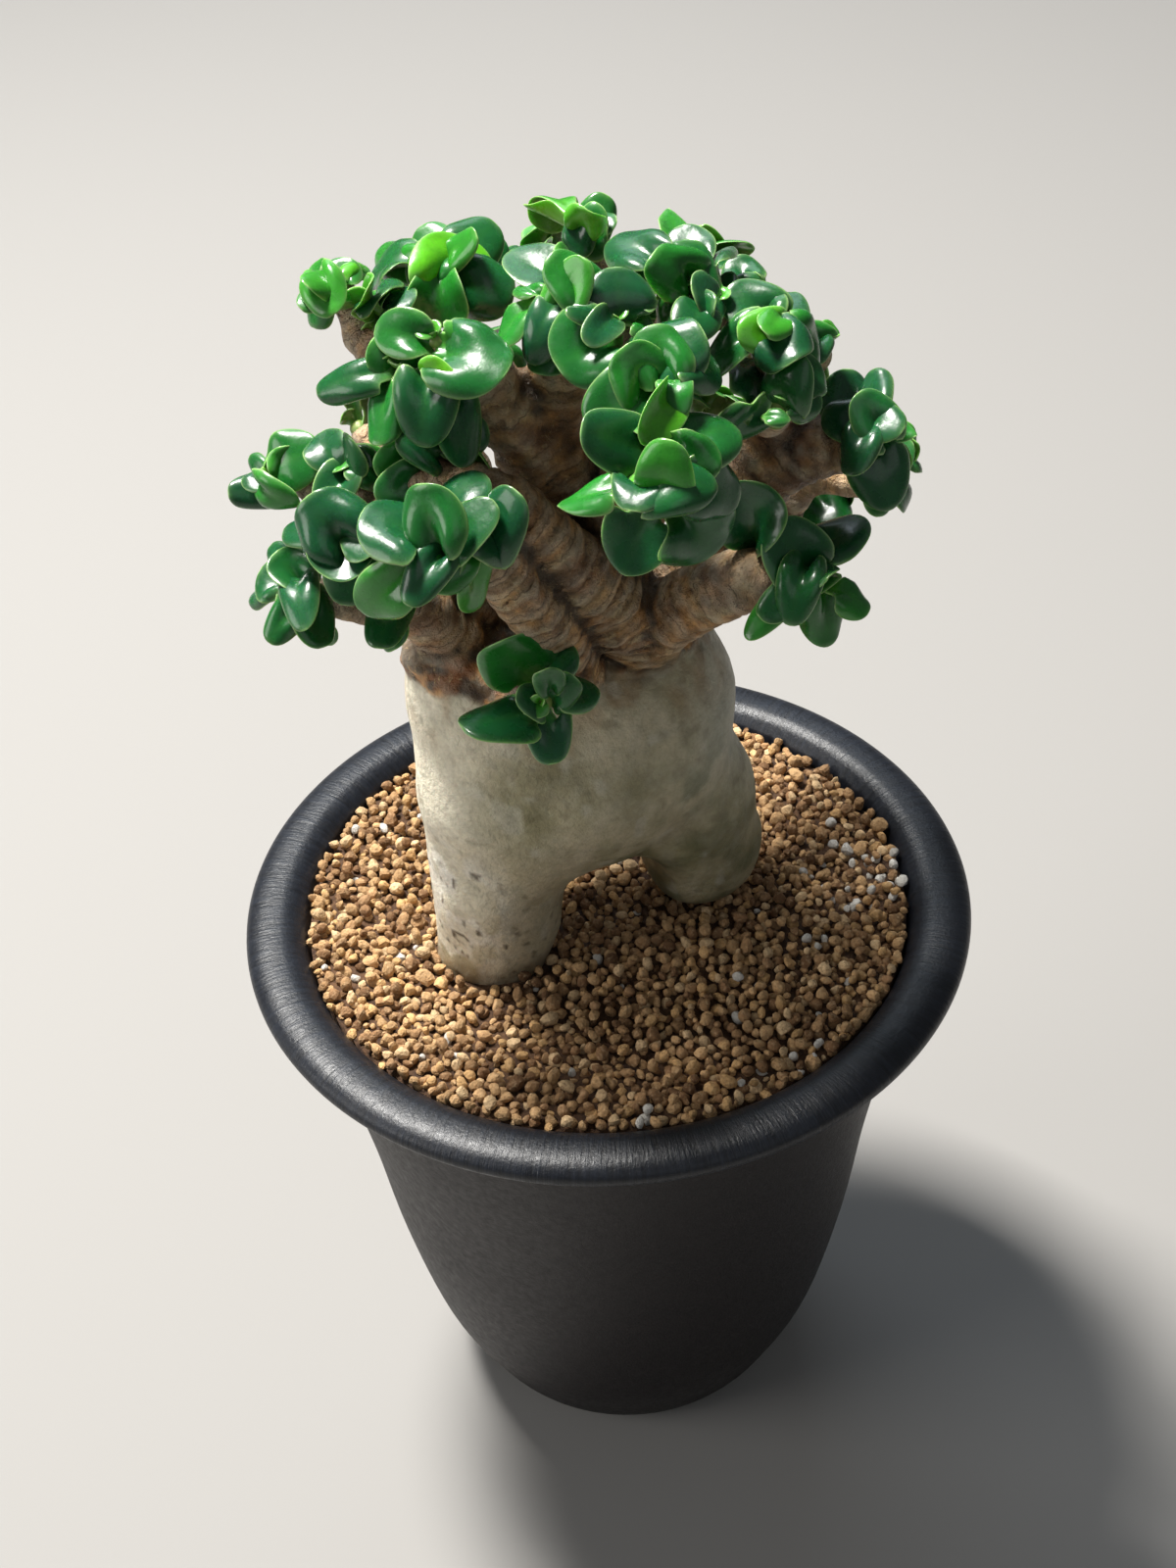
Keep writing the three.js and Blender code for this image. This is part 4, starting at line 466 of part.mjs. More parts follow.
// fewer triangles where they lie flat or are tiny: edges collapse while the surface stays within tol
function lighten(data, tol, minEdge = 0.25) {
  const P = []; for (let i = 0; i < data.pos.length; i += 3) P.push([data.pos[i], data.pos[i + 1], data.pos[i + 2]]);
  let F = []; for (let i = 0; i < data.tri.length; i += 3) F.push([data.tri[i], data.tri[i + 1], data.tri[i + 2]]);
  const Q = P.map(() => new Float64Array(10));
  const plane = (f) => { const n = cross(sub(P[f[1]], P[f[0]]), sub(P[f[2]], P[f[0]])); const l = len(n); if (l < 1e-9) return null; const u = mul(n, 1 / l); return [...u, -dot(u, P[f[0]])]; };
  const addQ = (q, p) => { let k = 0; for (let i = 0; i < 4; i++) for (let j = i; j < 4; j++) q[k++] += p[i] * p[j]; };
  for (const f of F) { const p = plane(f); if (p) for (const v of f) addQ(Q[v], p); }
  const err = (q, v) => q[0] * v[0] * v[0] + 2 * q[1] * v[0] * v[1] + 2 * q[2] * v[0] * v[2] + 2 * q[3] * v[0] + q[4] * v[1] * v[1] + 2 * q[5] * v[1] * v[2] + 2 * q[6] * v[1] + q[7] * v[2] * v[2] + 2 * q[8] * v[2] + q[9];
  for (let pass = 0; pass < 30; pass++) {
    const adj = P.map(() => []); F.forEach((f, i) => f.forEach((v) => adj[v].push(i)));
    const edges = [];
    for (const f of F) for (let k = 0; k < 3; k++) {
      const a = f[k], b = f[(k + 1) % 3]; if (a > b) continue;
      const q = Q[a].map((x, i) => x + Q[b][i]), L = len(sub(P[a], P[b]));
      let best = null;
      for (const v of [P[a], P[b], mul(add(P[a], P[b]), 0.5)]) { const e = Math.abs(err(q, v)); if (!best || e < best.e) best = { e, v }; }
      const lim = L < minEdge ? tol * tol * 9 : tol * tol;
      if (best.e < lim) edges.push({ a, b, e: best.e + L * 1e-5, v: best.v, q });
    }
    edges.sort((x, y) => x.e - y.e || x.a - y.a || x.b - y.b);
    const locked = new Uint8Array(P.length), dead = new Uint8Array(F.length); let done = 0;
    for (const { a, b, v, q } of edges) {
      if (locked[a] || locked[b]) continue;
      const na = new Set(), nb = new Set();
      for (const i of adj[a]) F[i].forEach((w) => na.add(w)); for (const i of adj[b]) F[i].forEach((w) => nb.add(w));
      let common = 0; for (const w of na) if (w !== a && w !== b && nb.has(w)) common++;
      if (common !== 2) continue;
      let ok = true;
      for (const [s0, lst] of [[a, adj[a]], [b, adj[b]]]) for (const i of lst) {
        const f = F[i]; if (f.includes(a) && f.includes(b)) continue;
        const o = cross(sub(P[f[1]], P[f[0]]), sub(P[f[2]], P[f[0]]));
        const g = f.map((w) => (w === s0 ? v : P[w])), n = cross(sub(g[1], g[0]), sub(g[2], g[0]));
        const ln = len(n), e = Math.max(len(sub(g[0], g[1])), len(sub(g[1], g[2])), len(sub(g[2], g[0])));
        if (ln < 1e-4 || ln / e < 0.02 || (len(o) > 1e-6 && dot(unit(o), unit(n)) < 0.5)) { ok = false; break; }
      }
      if (!ok) continue;
      for (const i of adj[b]) { const f = F[i]; if (f.includes(a)) { dead[i] = 1; } else f[f.indexOf(b)] = a; }
      P[a] = v; Q[a] = q; for (const w of na) locked[w] = 1; for (const w of nb) locked[w] = 1; done++;
    }
    F = F.filter((_, i) => !dead[i]);
    if (!done) break;
  }
  const map = new Map(), pos = [], tri = [];
  for (const f of F) for (const v of f) { if (!map.has(v)) { map.set(v, pos.length / 3); pos.push(...P[v]); } tri.push(map.get(v)); }
  try {
    const g = solidFromArrays(pos, tri), v = g.volume();
    if (Math.abs(v - data.vol) < 0.03 * data.vol) return { pos, tri, vol: v };
  } catch (e) { /* the lighter mesh is not closed, so the full one stays */ }
  return data;
}
function meshOf(name, data, col) {
  const g = new THREE.BufferGeometry();
  g.setAttribute('position', new THREE.BufferAttribute(new Float32Array(data.pos), 3));
  g.setIndex(data.tri);
  g.computeVertexNormals();
  const mesh = new THREE.Mesh(g, new THREE.MeshStandardMaterial({ color: col[0], roughness: col[1], metalness: 0 }));
  mesh.name = name;
  return mesh;
}

// ---------------------------------------------------------------- the stem as a distance field
function smin(a, b, k) { const h = Math.min(1, Math.max(0, 0.5 + 0.5 * (b - a) / k)); return b + (a - b) * h - k * h * (1 - h); }
function smax(a, b, k) { return -smin(-a, -b, k); }
function rcone(p, a, b, r1, r2) {
  const ba = sub(b, a), pa = sub(p, a), y = Math.min(1, Math.max(0, dot(pa, ba) / dot(ba, ba)));
  return len(sub(pa, mul(ba, y))) - (r1 + (r2 - r1) * y);
}
function ell(p, c, s, yaw) {
  const q = sub(p, c), t = yaw * Math.PI / 180, cc = Math.cos(t), ss = Math.sin(t);
  const x = q[0] * cc + q[1] * ss, y = -q[0] * ss + q[1] * cc, z = q[2];
  const k0 = Math.hypot(x / s[0], y / s[1], z / s[2]), k1 = Math.hypot(x / s[0] ** 2, y / s[1] ** 2, z / s[2] ** 2);
  return k0 * (k0 - 1) / Math.max(k1, 1e-9);
}
function stem(p) {
  let d = ell(p, V(-2.6, -1.8, 127.5), V(20.6, 16.4, 20.0), 20);           // swollen stem
  d = smin(d, ell(p, V(-13.2, -4.6, 136), V(11.4, 11.6, 14.5), 0), 5);     // left shoulder
  d = smin(d, ell(p, V(7.6, 1.4, 130.5), V(10.4, 12, 16.5), 0), 5);        // right shoulder
  d = smin(d, ell(p, V(9.6, 1.6, 114.5), V(10.6, 10.8, 13), 0), 4);        // right haunch
  d = smin(d, rcone(p, V(-12.9, -6.6, 121), V(-17.1, -7.6, 90), 11.2, 7.6), 5); // left foot, in the soil
  d = smin(d, rcone(p, V(10.6, 1.6, 112), V(13.0, 2.2, 104.2), 10.4, 9.6), 4);  // right foot, a bulb
  d = smin(d, rcone(p, V(-16, -4.6, 138), V(-17.8, -4.6, 146.5), 8.4, 6.6), 2.5); // cut stub
  const t = 20 * Math.PI / 180, q = V((p[0] + 1.9) * Math.cos(t) + (p[1] + 3) * Math.sin(t) - 1.9, 0, p[2]);
  const arch = smin(rcone(q, V(-4.4, 0, 84), V(0.6, 0, 104.6), 7.2, 4.4), rcone(q, V(1, 0, 88), V(1.4, 0, 103), 6, 4.6), 3);
  d = smax(d, -arch, 4);                                                   // arch between the feet
  d = smax(d, p[0] < -8 ? p[2] - 148.5 : p[2] - (145 + 0.02 * p[0]), 3);   // pruned top
  return d;
}
// closed surface of f(p) = 0 by a surface net on a cubic lattice
function surfaceNet(f, lo, hi, h) {
  const n = [0, 1, 2].map((i) => Math.ceil((hi[i] - lo[i]) / h) + 1);
  const id = (i, j, k) => (i * n[1] + j) * n[2] + k;
  const val = new Float64Array(n[0] * n[1] * n[2]);
  for (let i = 0; i < n[0]; i++) for (let j = 0; j < n[1]; j++) for (let k = 0; k < n[2]; k++)
    val[id(i, j, k)] = f([lo[0] + i * h, lo[1] + j * h, lo[2] + k * h]);
  const cell = new Map(), pos = [], tri = [];
  const vertex = (i, j, k) => {
    const key = id(i, j, k);
    if (cell.has(key)) return cell.get(key);
    let c = [0, 0, 0], m = 0;
    for (let ax = 0; ax < 3; ax++) for (let a = 0; a < 2; a++) for (let b = 0; b < 2; b++) {
      const o = [0, 0, 0]; o[(ax + 1) % 3] = a; o[(ax + 2) % 3] = b;
      const o2 = o.slice(); o2[ax] = 1;
      const v0 = val[id(i + o[0], j + o[1], k + o[2])], v1 = val[id(i + o2[0], j + o2[1], k + o2[2])];
      if ((v0 < 0) !== (v1 < 0)) { const q = o.slice(); q[ax] += v0 / (v0 - v1); c = add(c, q); m++; }
    }
    let p = [lo[0] + (i + c[0] / m) * h, lo[1] + (j + c[1] / m) * h, lo[2] + (k + c[2] / m) * h];
    for (let it = 0; it < 3; it++) {                       // settle the vertex on the surface
      const e = 0.05, d = f(p);
      const g = [f([p[0] + e, p[1], p[2]]) - d, f([p[0], p[1] + e, p[2]]) - d, f([p[0], p[1], p[2] + e]) - d].map((x) => x / e);
      const gg = dot(g, g); if (gg > 0.05) p = sub(p, mul(g, Math.max(-h / 3, Math.min(h / 3, d / gg))));
    }
    cell.set(key, pos.length / 3); pos.push(...p);
    return pos.length / 3 - 1;
  };
  for (let ax = 0; ax < 3; ax++) {
    const a1 = (ax + 1) % 3, a2 = (ax + 2) % 3, q = [0, 0, 0];
    for (q[0] = 0; q[0] < n[0]; q[0]++) for (q[1] = 0; q[1] < n[1]; q[1]++) for (q[2] = 0; q[2] < n[2]; q[2]++) {
      if (q[ax] >= n[ax] - 1 || q[a1] < 1 || q[a2] < 1 || q[a1] >= n[a1] - 1 || q[a2] >= n[a2] - 1) continue;
      const r = q.slice(); r[ax]++;
      const A = val[id(...q)] < 0, B = val[id(...r)] < 0;
      if (A === B) continue;
      const c = (d1, d2) => { const w = q.slice(); w[a1] -= d1; w[a2] -= d2; return vertex(...w); };
      let f4 = [c(0, 0), c(1, 0), c(1, 1), c(0, 1)];
      if (!A) f4 = f4.reverse();
      tri.push(f4[0], f4[1], f4[2], f4[0], f4[2], f4[3]);
    }
  }
  return { pos, tri };
}

// ---------------------------------------------------------------- tapered branches
function frameAt(t) {
  const up = Math.abs(t[2]) > 0.9 ? [1, 0, 0] : [0, 0, 1];
  const e1 = unit(cross(up, t)), e2 = cross(t, e1); return [e1, e2];
}
// closed tapered tube through points [x, y, z, r]; grow makes it fatter all over
function limb(pts, sides, grow = 0) {
  const pos = [], tri = [];
  const P = pts.map((p) => p.slice());
  if (grow) {
    const a = unit(sub(P[0], P[1])), n = P.length, b = unit(sub(P[n - 1], P[n - 2]));
    for (let k = 0; k < 3; k++) { P[0][k] += a[k] * grow; P[n - 1][k] += b[k] * grow; }
  }
  let e1 = null;
  P.forEach((p, i) => {
    const t = unit(sub(P[Math.min(i + 1, P.length - 1)], P[Math.max(i - 1, 0)]));
    if (!e1) e1 = frameAt(t)[0]; else e1 = unit(sub(e1, mul(t, dot(e1, t))));
    const e2 = cross(t, e1);
    for (let s = 0; s < sides; s++) {
      const a = 2 * Math.PI * s / sides, r = p[3] + grow;
      pos.push(...add(p, add(mul(e1, r * Math.cos(a)), mul(e2, r * Math.sin(a)))));
    }
  });
  const n = P.length;
  for (let i = 0; i < n - 1; i++) for (let s = 0; s < sides; s++) {
    const a = i * sides + s, b = i * sides + (s + 1) % sides, c = a + sides, d = b + sides;
    tri.push(a, b, d, a, d, c);
  }
  const c0 = pos.length / 3; pos.push(...P[0].slice(0, 3)); pos.push(...P[n - 1].slice(0, 3));
  for (let s = 0; s < sides; s++) {
    tri.push(c0, (s + 1) % sides, s);
    tri.push(c0 + 1, (n - 1) * sides + s, (n - 1) * sides + (s + 1) % sides);
  }
  return solidFromArrays(pos, tri);
}

// ---------------------------------------------------------------- leaves
const smooth = (a, b, x) => { const t = Math.min(1, Math.max(0, (x - a) / (b - a))); return t * t * (3 - 2 * t); };
// half width of a blade along its length, 1 at the widest: narrow at the base, blunt and round at the end
function outline(u, a, b) {
  const w = (0.36 + 0.64 * smooth(0.10, 0.56 + 0.25 * (a - 1), u)) * (0.62 + 0.38 * smooth(0, 0.16, u));
  const x = Math.min(1, Math.max(0, (u - 0.60) / 0.40));
  return w * Math.max(0, 1 - x * x) ** (0.5 + Math.max(0, b - 0.72));
}
// a leaf blade whose midrib bends back by curl. Its base is a channel (cup), its halves roll under further out (roll)
// and the outer parts of the margins may reach back as lobes (lobe). The blade is a closed lens-shaped solid.
function leafMesh(L, root, grow) {
  const [, bx, by, bz, tx, ty, tz, nx, ny, nz, W0, roll, curl, , a, b, tw, lat, cup, lobe] = L;
  const B = [bx, by, bz], T = [tx, ty, tz], Lc = len(sub(T, B)), X = unit(sub(T, B));
  let N = [nx, ny, nz]; N = unit(sub(N, mul(X, dot(N, X)))); const Y = cross(N, X);
  const rad = Math.PI / 180, th = curl * rad, K = 160, cx = [0], cz = [0], an = [];
  for (let i = 0; i <= K; i++) an.push(-th * (0.85 * smooth(0.12, 0.88, i / K) + 0.15 * i / K));
  for (let i = 1; i <= K; i++) {
    cx.push(cx[i - 1] + 0.5 * (Math.cos(an[i]) + Math.cos(an[i - 1])) / K);
    cz.push(cz[i - 1] + 0.5 * (Math.sin(an[i]) + Math.sin(an[i - 1])) / K);
  }
  const d = -Math.atan2(cz[K], cx[K]), sc = Lc / Math.hypot(cx[K], cz[K]), c = Math.cos(d), s = Math.sin(d);
  const t2 = LEAF_T / 2 + grow;
  const at = (u, v, off) => {
    const i = Math.min(K, Math.round(u * K)), mx = sc * (c * cx[i] - s * cz[i]), mz = sc * (s * cx[i] + c * cz[i]), A = an[i] + d;
    const wr = outline(u, a, b), w = wr * W0 / 2 + (wr > 0 ? grow : 0), av = Math.abs(v), n = 12;
    const sm = smooth(0.20, 0.52, u), arch = Math.min(78, -cup * 0.38) * rad * (1 - smooth(0.35, 0.90, u));
    let y = 0, z = 0, al = 0;
    for (let k = 0; k < n; k++) {
      const q = (k + 0.5) / n * av;
      al = (1 - sm) * -cup * rad * wr * q + sm * (arch * Math.sin(Math.PI * Math.min(1, q / 0.85)) - roll * rad * wr * q ** 1.5);
      al = Math.min(2.4, Math.max(-2.2, al));
      y += Math.cos(al) * w * av / n; z += Math.sin(al) * w * av / n;
    }
    y -= Math.sin(al) * off; z += Math.cos(al) * off;
    y *= v < 0 ? -1 : 1;
    const q = tw * rad * u ** 1.5; [y, z] = [y * Math.cos(q) - z * Math.sin(q), y * Math.sin(q) + z * Math.cos(q)];
    y += lat * Math.sin(Math.PI * u);
    const sh = -lobe * (W0 / 2) * av ** 1.8 * smooth(0.18, 0.48, u) * (1 - smooth(0.55, 1, u)), ca = Math.cos(A), sa = Math.sin(A);
    return add(B, add(mul(X, mx - sa * z + ca * sh), add(mul(N, mz + ca * z + sa * sh), mul(Y, y))));
  };
  const pos = [], tri = [], ring = [[-1, 0], [-0.5, 0.9], [0.5, 0.9], [1, 0], [0.5, -0.9], [-0.5, -0.9]], R = ring.length;
  const push = (...p) => p.forEach((q) => pos.push(...q));
  let nr = 0;
  if (root) {                                          // short petiole back to the shoot
    const t = unit(sub(B, root)), e1 = unit(cross(N, t)), e2 = cross(t, e1), r = 0.45 + grow, o = sub(root, mul(t, grow));
    push(...ring.map((_, k) => { const f = 2 * Math.PI * k / R; return add(o, add(mul(e1, -r * Math.cos(f)), mul(e2, r * Math.sin(f)))); })); nr++;
  }
  for (const u of LEAF_ROWS) { const f = u > 0.8 ? 0.75 : 1; push(...ring.map(([v, o]) => at(u, v, o * t2 * f))); nr++; }
  const end = at(1, 0, 0), e = unit(sub(end, at(0.93, 0, 0))); push(add(end, mul(e, grow)));
  for (let r = 0; r < nr - 1; r++) for (let k = 0; k < R; k++) {
    const p = r * R + k, q = r * R + (k + 1) % R, p2 = p + R, q2 = q + R; tri.push(p, q2, q, p, p2, q2);
  }
  const l = (nr - 1) * R; for (let k = 0; k < R; k++) tri.push(l + k, l + R, l + (k + 1) % R);
  for (let k = 1; k < R - 1; k++) tri.push(0, k, k + 1);
  return { pos, tri };
}
// whether an edge of a mesh passes through one of its own faces
function crosses({ pos, tri }) {
  const P = (i) => [pos[3 * i], pos[3 * i + 1], pos[3 * i + 2]];
  for (let i = 0; i < tri.length; i += 3) {
    const A = P(tri[i]), e1 = sub(P(tri[i + 1]), A), e2 = sub(P(tri[i + 2]), A);
    for (let j = 0; j < tri.length; j += 3) for (let k = 0; k < 3; k++) {
      const a = tri[j + k], b = tri[j + (k + 1) % 3];
      if (a > b || a === tri[i] || a === tri[i + 1] || a === tri[i + 2] || b === tri[i] || b === tri[i + 1] || b === tri[i + 2]) continue;
      const o = P(a), D = sub(P(b), o), h = cross(D, e2), det = dot(e1, h); if (Math.abs(det) < 1e-12) continue;
      const w = sub(o, A), u = dot(w, h) / det; if (u < 0 || u > 1) continue;
      const c = cross(w, e1), v = dot(D, c) / det, t = dot(e2, c) / det;
      if (v >= 0 && u + v <= 1 && t >= 0 && t <= 1) return true;
    }
  }
  return false;
}
// the leaf as a solid: where a tight channel or lobe would run into itself, the form is eased a little
function ease(l, f) { const m = l.slice(); for (const k of [11, 16, 17, 18, 19]) m[k] = l[k] * f; return m; }
function leaf(L, root, grow = 0) {
  let m = null, stalk = null;
  for (const f of [1, 0.8, 0.62, 0.45]) { m = leafMesh(ease(L, f), root, grow); if (!crosses(m)) break; m = null; }
  if (!m) {                                        // a blade that turns back over its petiole gets a petiole of its own
    for (const f of [1, 0.8, 0.62, 0.45, 0.3, 0.15, 0]) { m = leafMesh(ease(L, f), null, grow); if (!crosses(m)) break; }
    const B = [L[1], L[2], L[3]], T = [L[4], L[5], L[6]];
    if (root) stalk = limb([[...root, 0.5], [...add(B, mul(sub(T, B), 0.1)), 0.5]], 5, grow);
  }
  const { pos, tri } = m;
  let g = solidFromArrays(pos, tri);
  if (g.volume() < 0) { for (let i = 0; i < tri.length; i += 3) [tri[i], tri[i + 1]] = [tri[i + 1], tri[i]]; g = solidFromArrays(pos, tri); }
  return stalk ? g.add(stalk) : g;
}

// ---------------------------------------------------------------- pot
const wallOuter = [[28.8, 8.0], [33.0, 19], [36.8, 37.8], [39.4, 57], [44.9, 90.4]];
function potProfile() {
  const p = [[DRAIN_R, RECESS], [FOOT_IN - 0.9, RECESS], [FOOT_IN, 0], [FOOT_R, 0], [26.3, 3.2], ...wallOuter, [45.4, 92.2]];
  const cr = RIM_R - RIM_BEAD[0];
  for (let i = -50; i <= 100; i += 37.5) { const a = i * Math.PI / 180; p.push([cr + RIM_BEAD[0] * Math.cos(a), RIM_Z + RIM_BEAD[1] * Math.sin(a)]); }
  p.push([44.3, 95.1], [43.2, 90.4], [37.7, 57], [35.1, 37.8], [31.3, 19], [26.2, 7.6], [21, 4.4], [DRAIN_R, 4.4]);
  p.push(p[0].slice());
  return p;
}
const potGeo = new THREE.LatheGeometry(potProfile().map(([r, z]) => new THREE.Vector2(r, z)), POT_SEG);
potGeo.rotateX(Math.PI / 2);
let potSolid = solidFromGeometry(potGeo);

// ---------------------------------------------------------------- soil
const soilProfile = [[0, 4.8], [20.7, 4.8], [25.7, 7.9], [30.8, 19.2], [34.6, 38], [37.2, 57], [42.7, 90.3], [43.4, 93.4], [40.5, 94.9], [0, SOIL_Z]];
const soilGeo = new THREE.LatheGeometry(soilProfile.map(([r, z]) => new THREE.Vector2(r, z)), POT_SEG * 0.75);
soilGeo.rotateX(Math.PI / 2);
let soilSolid = solidFromGeometry(soilGeo);
const feet = surfaceNet((p) => Math.max(stem(p) - 0.5, p[2] - 101), [-31.3, -24.2, 78.7], [30.1, 19, 106], 2.9);
soilSolid = soilSolid.subtract(solidFromArrays(feet.pos, feet.tri));

// ---------------------------------------------------------------- woody plant
const net = surfaceNet(stem, [-33.1, -28.3, 80.9], [31, 25, 155], BODY_CELL);
let wood = solidFromArrays(net.pos, net.tri);
const thin = (pts, step) => {                    // fewer sections, first and last kept
  const out = [pts[0]]; let acc = 0;
  for (let i = 1; i < pts.length - 1; i++) { acc += len(sub(pts[i], pts[i - 1])); if (acc > step) { out.push(pts[i]); acc = 0; } }
  out.push(pts[pts.length - 1]); return out;
};
const limbFat = [];
for (const pts of LIMBS) { const q = thin(pts, 7); wood = wood.add(limb(q, 6)); limbFat.push(limb(q, 6, GAP + 0.05)); }
const twigFat = {};
for (const [id, pts] of TWIGS) { const q = thin(pts, 6.5); wood = wood.add(limb(q, 5)); twigFat[id] = limb(q, 5, GAP + 0.05); }

// ---------------------------------------------------------------- rosettes
const box = (s) => { const b = s.boundingBox(); return [b.min, b.max]; };
const meets = (A, B) => [0, 1, 2].every((k) => A[0][k] < B[1][k] && B[0][k] < A[1][k]);
const stemFat = (() => { const m = surfaceNet((p) => Math.max(stem(p) - 0.7, 125 - p[2]), [-33.1, -28.3, 118.9], [31, 25, 155], 4.1); return solidFromArrays(m.pos, m.tri); })();
const obstacles = [...limbFat, ...Object.values(twigFat), stemFat].map((s) => ({ s, b: box(s) }));
const rosettes = [];
const woodPiece = lighten(largestPiece(wood), 0.15, 0.7), woodOwn = solidFromArrays(woodPiece.pos, woodPiece.tri);
const made = [{ s: woodOwn, b: box(woodOwn) }];
const trim = (l, k) => {                          // the same leaf, a little smaller
  const m = l.slice(); for (let i = 0; i < 3; i++) m[4 + i] = l[1 + i] + (l[4 + i] - l[1 + i]) * (1 - 0.13 * k);
  m[10] = l[10] * (1 - 0.13 * k); return m;
};
for (const [id, x, y, z, ax, ay, az] of ROSETTES) {
  const P = [x, y, z], A = [ax, ay, az];
  const shootPts = [[...add(P, mul(A, -0.22)), SHOOT_R], [...add(P, mul(A, 2.4)), SHOOT_R * 0.5]];
  let s = limb(shootPts, 5);
  const fat = [limb(shootPts, 5, GAP)];
  for (const l0 of LEAVES.filter((q) => q[0] === id)) {
    const B = [l0[1], l0[2], l0[3]], S = add(P, mul(A, 1.0)), root = len(sub(B, S)) > 1.4 ? S : null;
    let best = null;
    for (let k = 0; k < 4; k++) {                 // a leaf that would cross a neighbour is trimmed back from it
      const l = trim(l0, k), g = leaf(l, root); let over = 0; const gb = box(g);
      for (const o of obstacles) if (meets(gb, o.b)) over += g.intersect(o.s).volume();
      if (!best || over < best.over - 0.02) best = { l, g, over };
      if (over < 0.02) break;
    }
    s = s.add(best.g); fat.push(leaf(best.l, root, GAP));
  }
  for (const o of obstacles) if (meets(box(s), o.b)) s = s.subtract(o.s);
  const full = largestPiece(s); let piece, own;
  for (const tol of [0.15, 0.12, 0.1, 0.08, 0.05, 0.02]) {    // as light as stays clear of the pieces made before it
    piece = lighten(full, tol, 3.3 * tol);
    if (piece.tri.length > 2400) piece = lighten(piece, 1.5 * tol, 5.3 * tol);
    piece = settle(piece);
    own = solidFromArrays(piece.pos, piece.tri);
    if (sound(piece) && !made.some((o) => meets(box(own), o.b) && own.intersect(o.s).volume() > 1e-5)) break;
  }
  for (const o of made) if (meets(box(own), o.b) && own.intersect(o.s).volume() > 1e-5) {
    for (const m of [[0, 0, 0], [0.2, 0, 0], [-0.2, 0, 0], [0, 0.2, 0], [0, -0.2, 0], [0, 0, 0.2], [0, 0, -0.2]]) own = own.subtract(o.s.translate(m));
    piece = settle(largestPiece(own)); own = solidFromArrays(piece.pos, piece.tri);
  }
  made.push({ s: own, b: box(own) });
  for (const f of fat) obstacles.push({ s: f, b: box(f) });
  rosettes.push({ id, piece });
}

// ---------------------------------------------------------------- assembly
const plant = new THREE.Group();
plant.add(meshOf('pot', largestPiece(potSolid), COL.pot));
plant.add(meshOf('soil', lighten(largestPiece(soilSolid), 0.04), COL.soil));
plant.add(meshOf('caudex', woodPiece, COL.wood));
for (const r of rosettes) plant.add(meshOf(`leaf_rosette_${String(r.id).padStart(2, '0')}`, r.piece, COL.leaf));

export default plant;
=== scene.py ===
import math
import bpy
import numpy as np
from mathutils import Matrix, Vector


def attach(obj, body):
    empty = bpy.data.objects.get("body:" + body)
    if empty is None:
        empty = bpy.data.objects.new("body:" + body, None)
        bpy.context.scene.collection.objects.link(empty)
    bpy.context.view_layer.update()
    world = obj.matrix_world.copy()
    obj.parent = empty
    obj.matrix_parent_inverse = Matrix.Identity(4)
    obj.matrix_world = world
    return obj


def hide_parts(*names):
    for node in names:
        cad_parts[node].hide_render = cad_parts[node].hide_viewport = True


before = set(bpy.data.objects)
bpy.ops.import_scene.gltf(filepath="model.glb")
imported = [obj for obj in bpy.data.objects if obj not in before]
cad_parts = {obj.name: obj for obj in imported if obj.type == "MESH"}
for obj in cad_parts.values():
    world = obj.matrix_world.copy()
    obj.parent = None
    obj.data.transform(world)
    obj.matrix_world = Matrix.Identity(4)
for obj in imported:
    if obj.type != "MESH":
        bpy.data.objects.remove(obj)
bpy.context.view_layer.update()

MM = 0.001

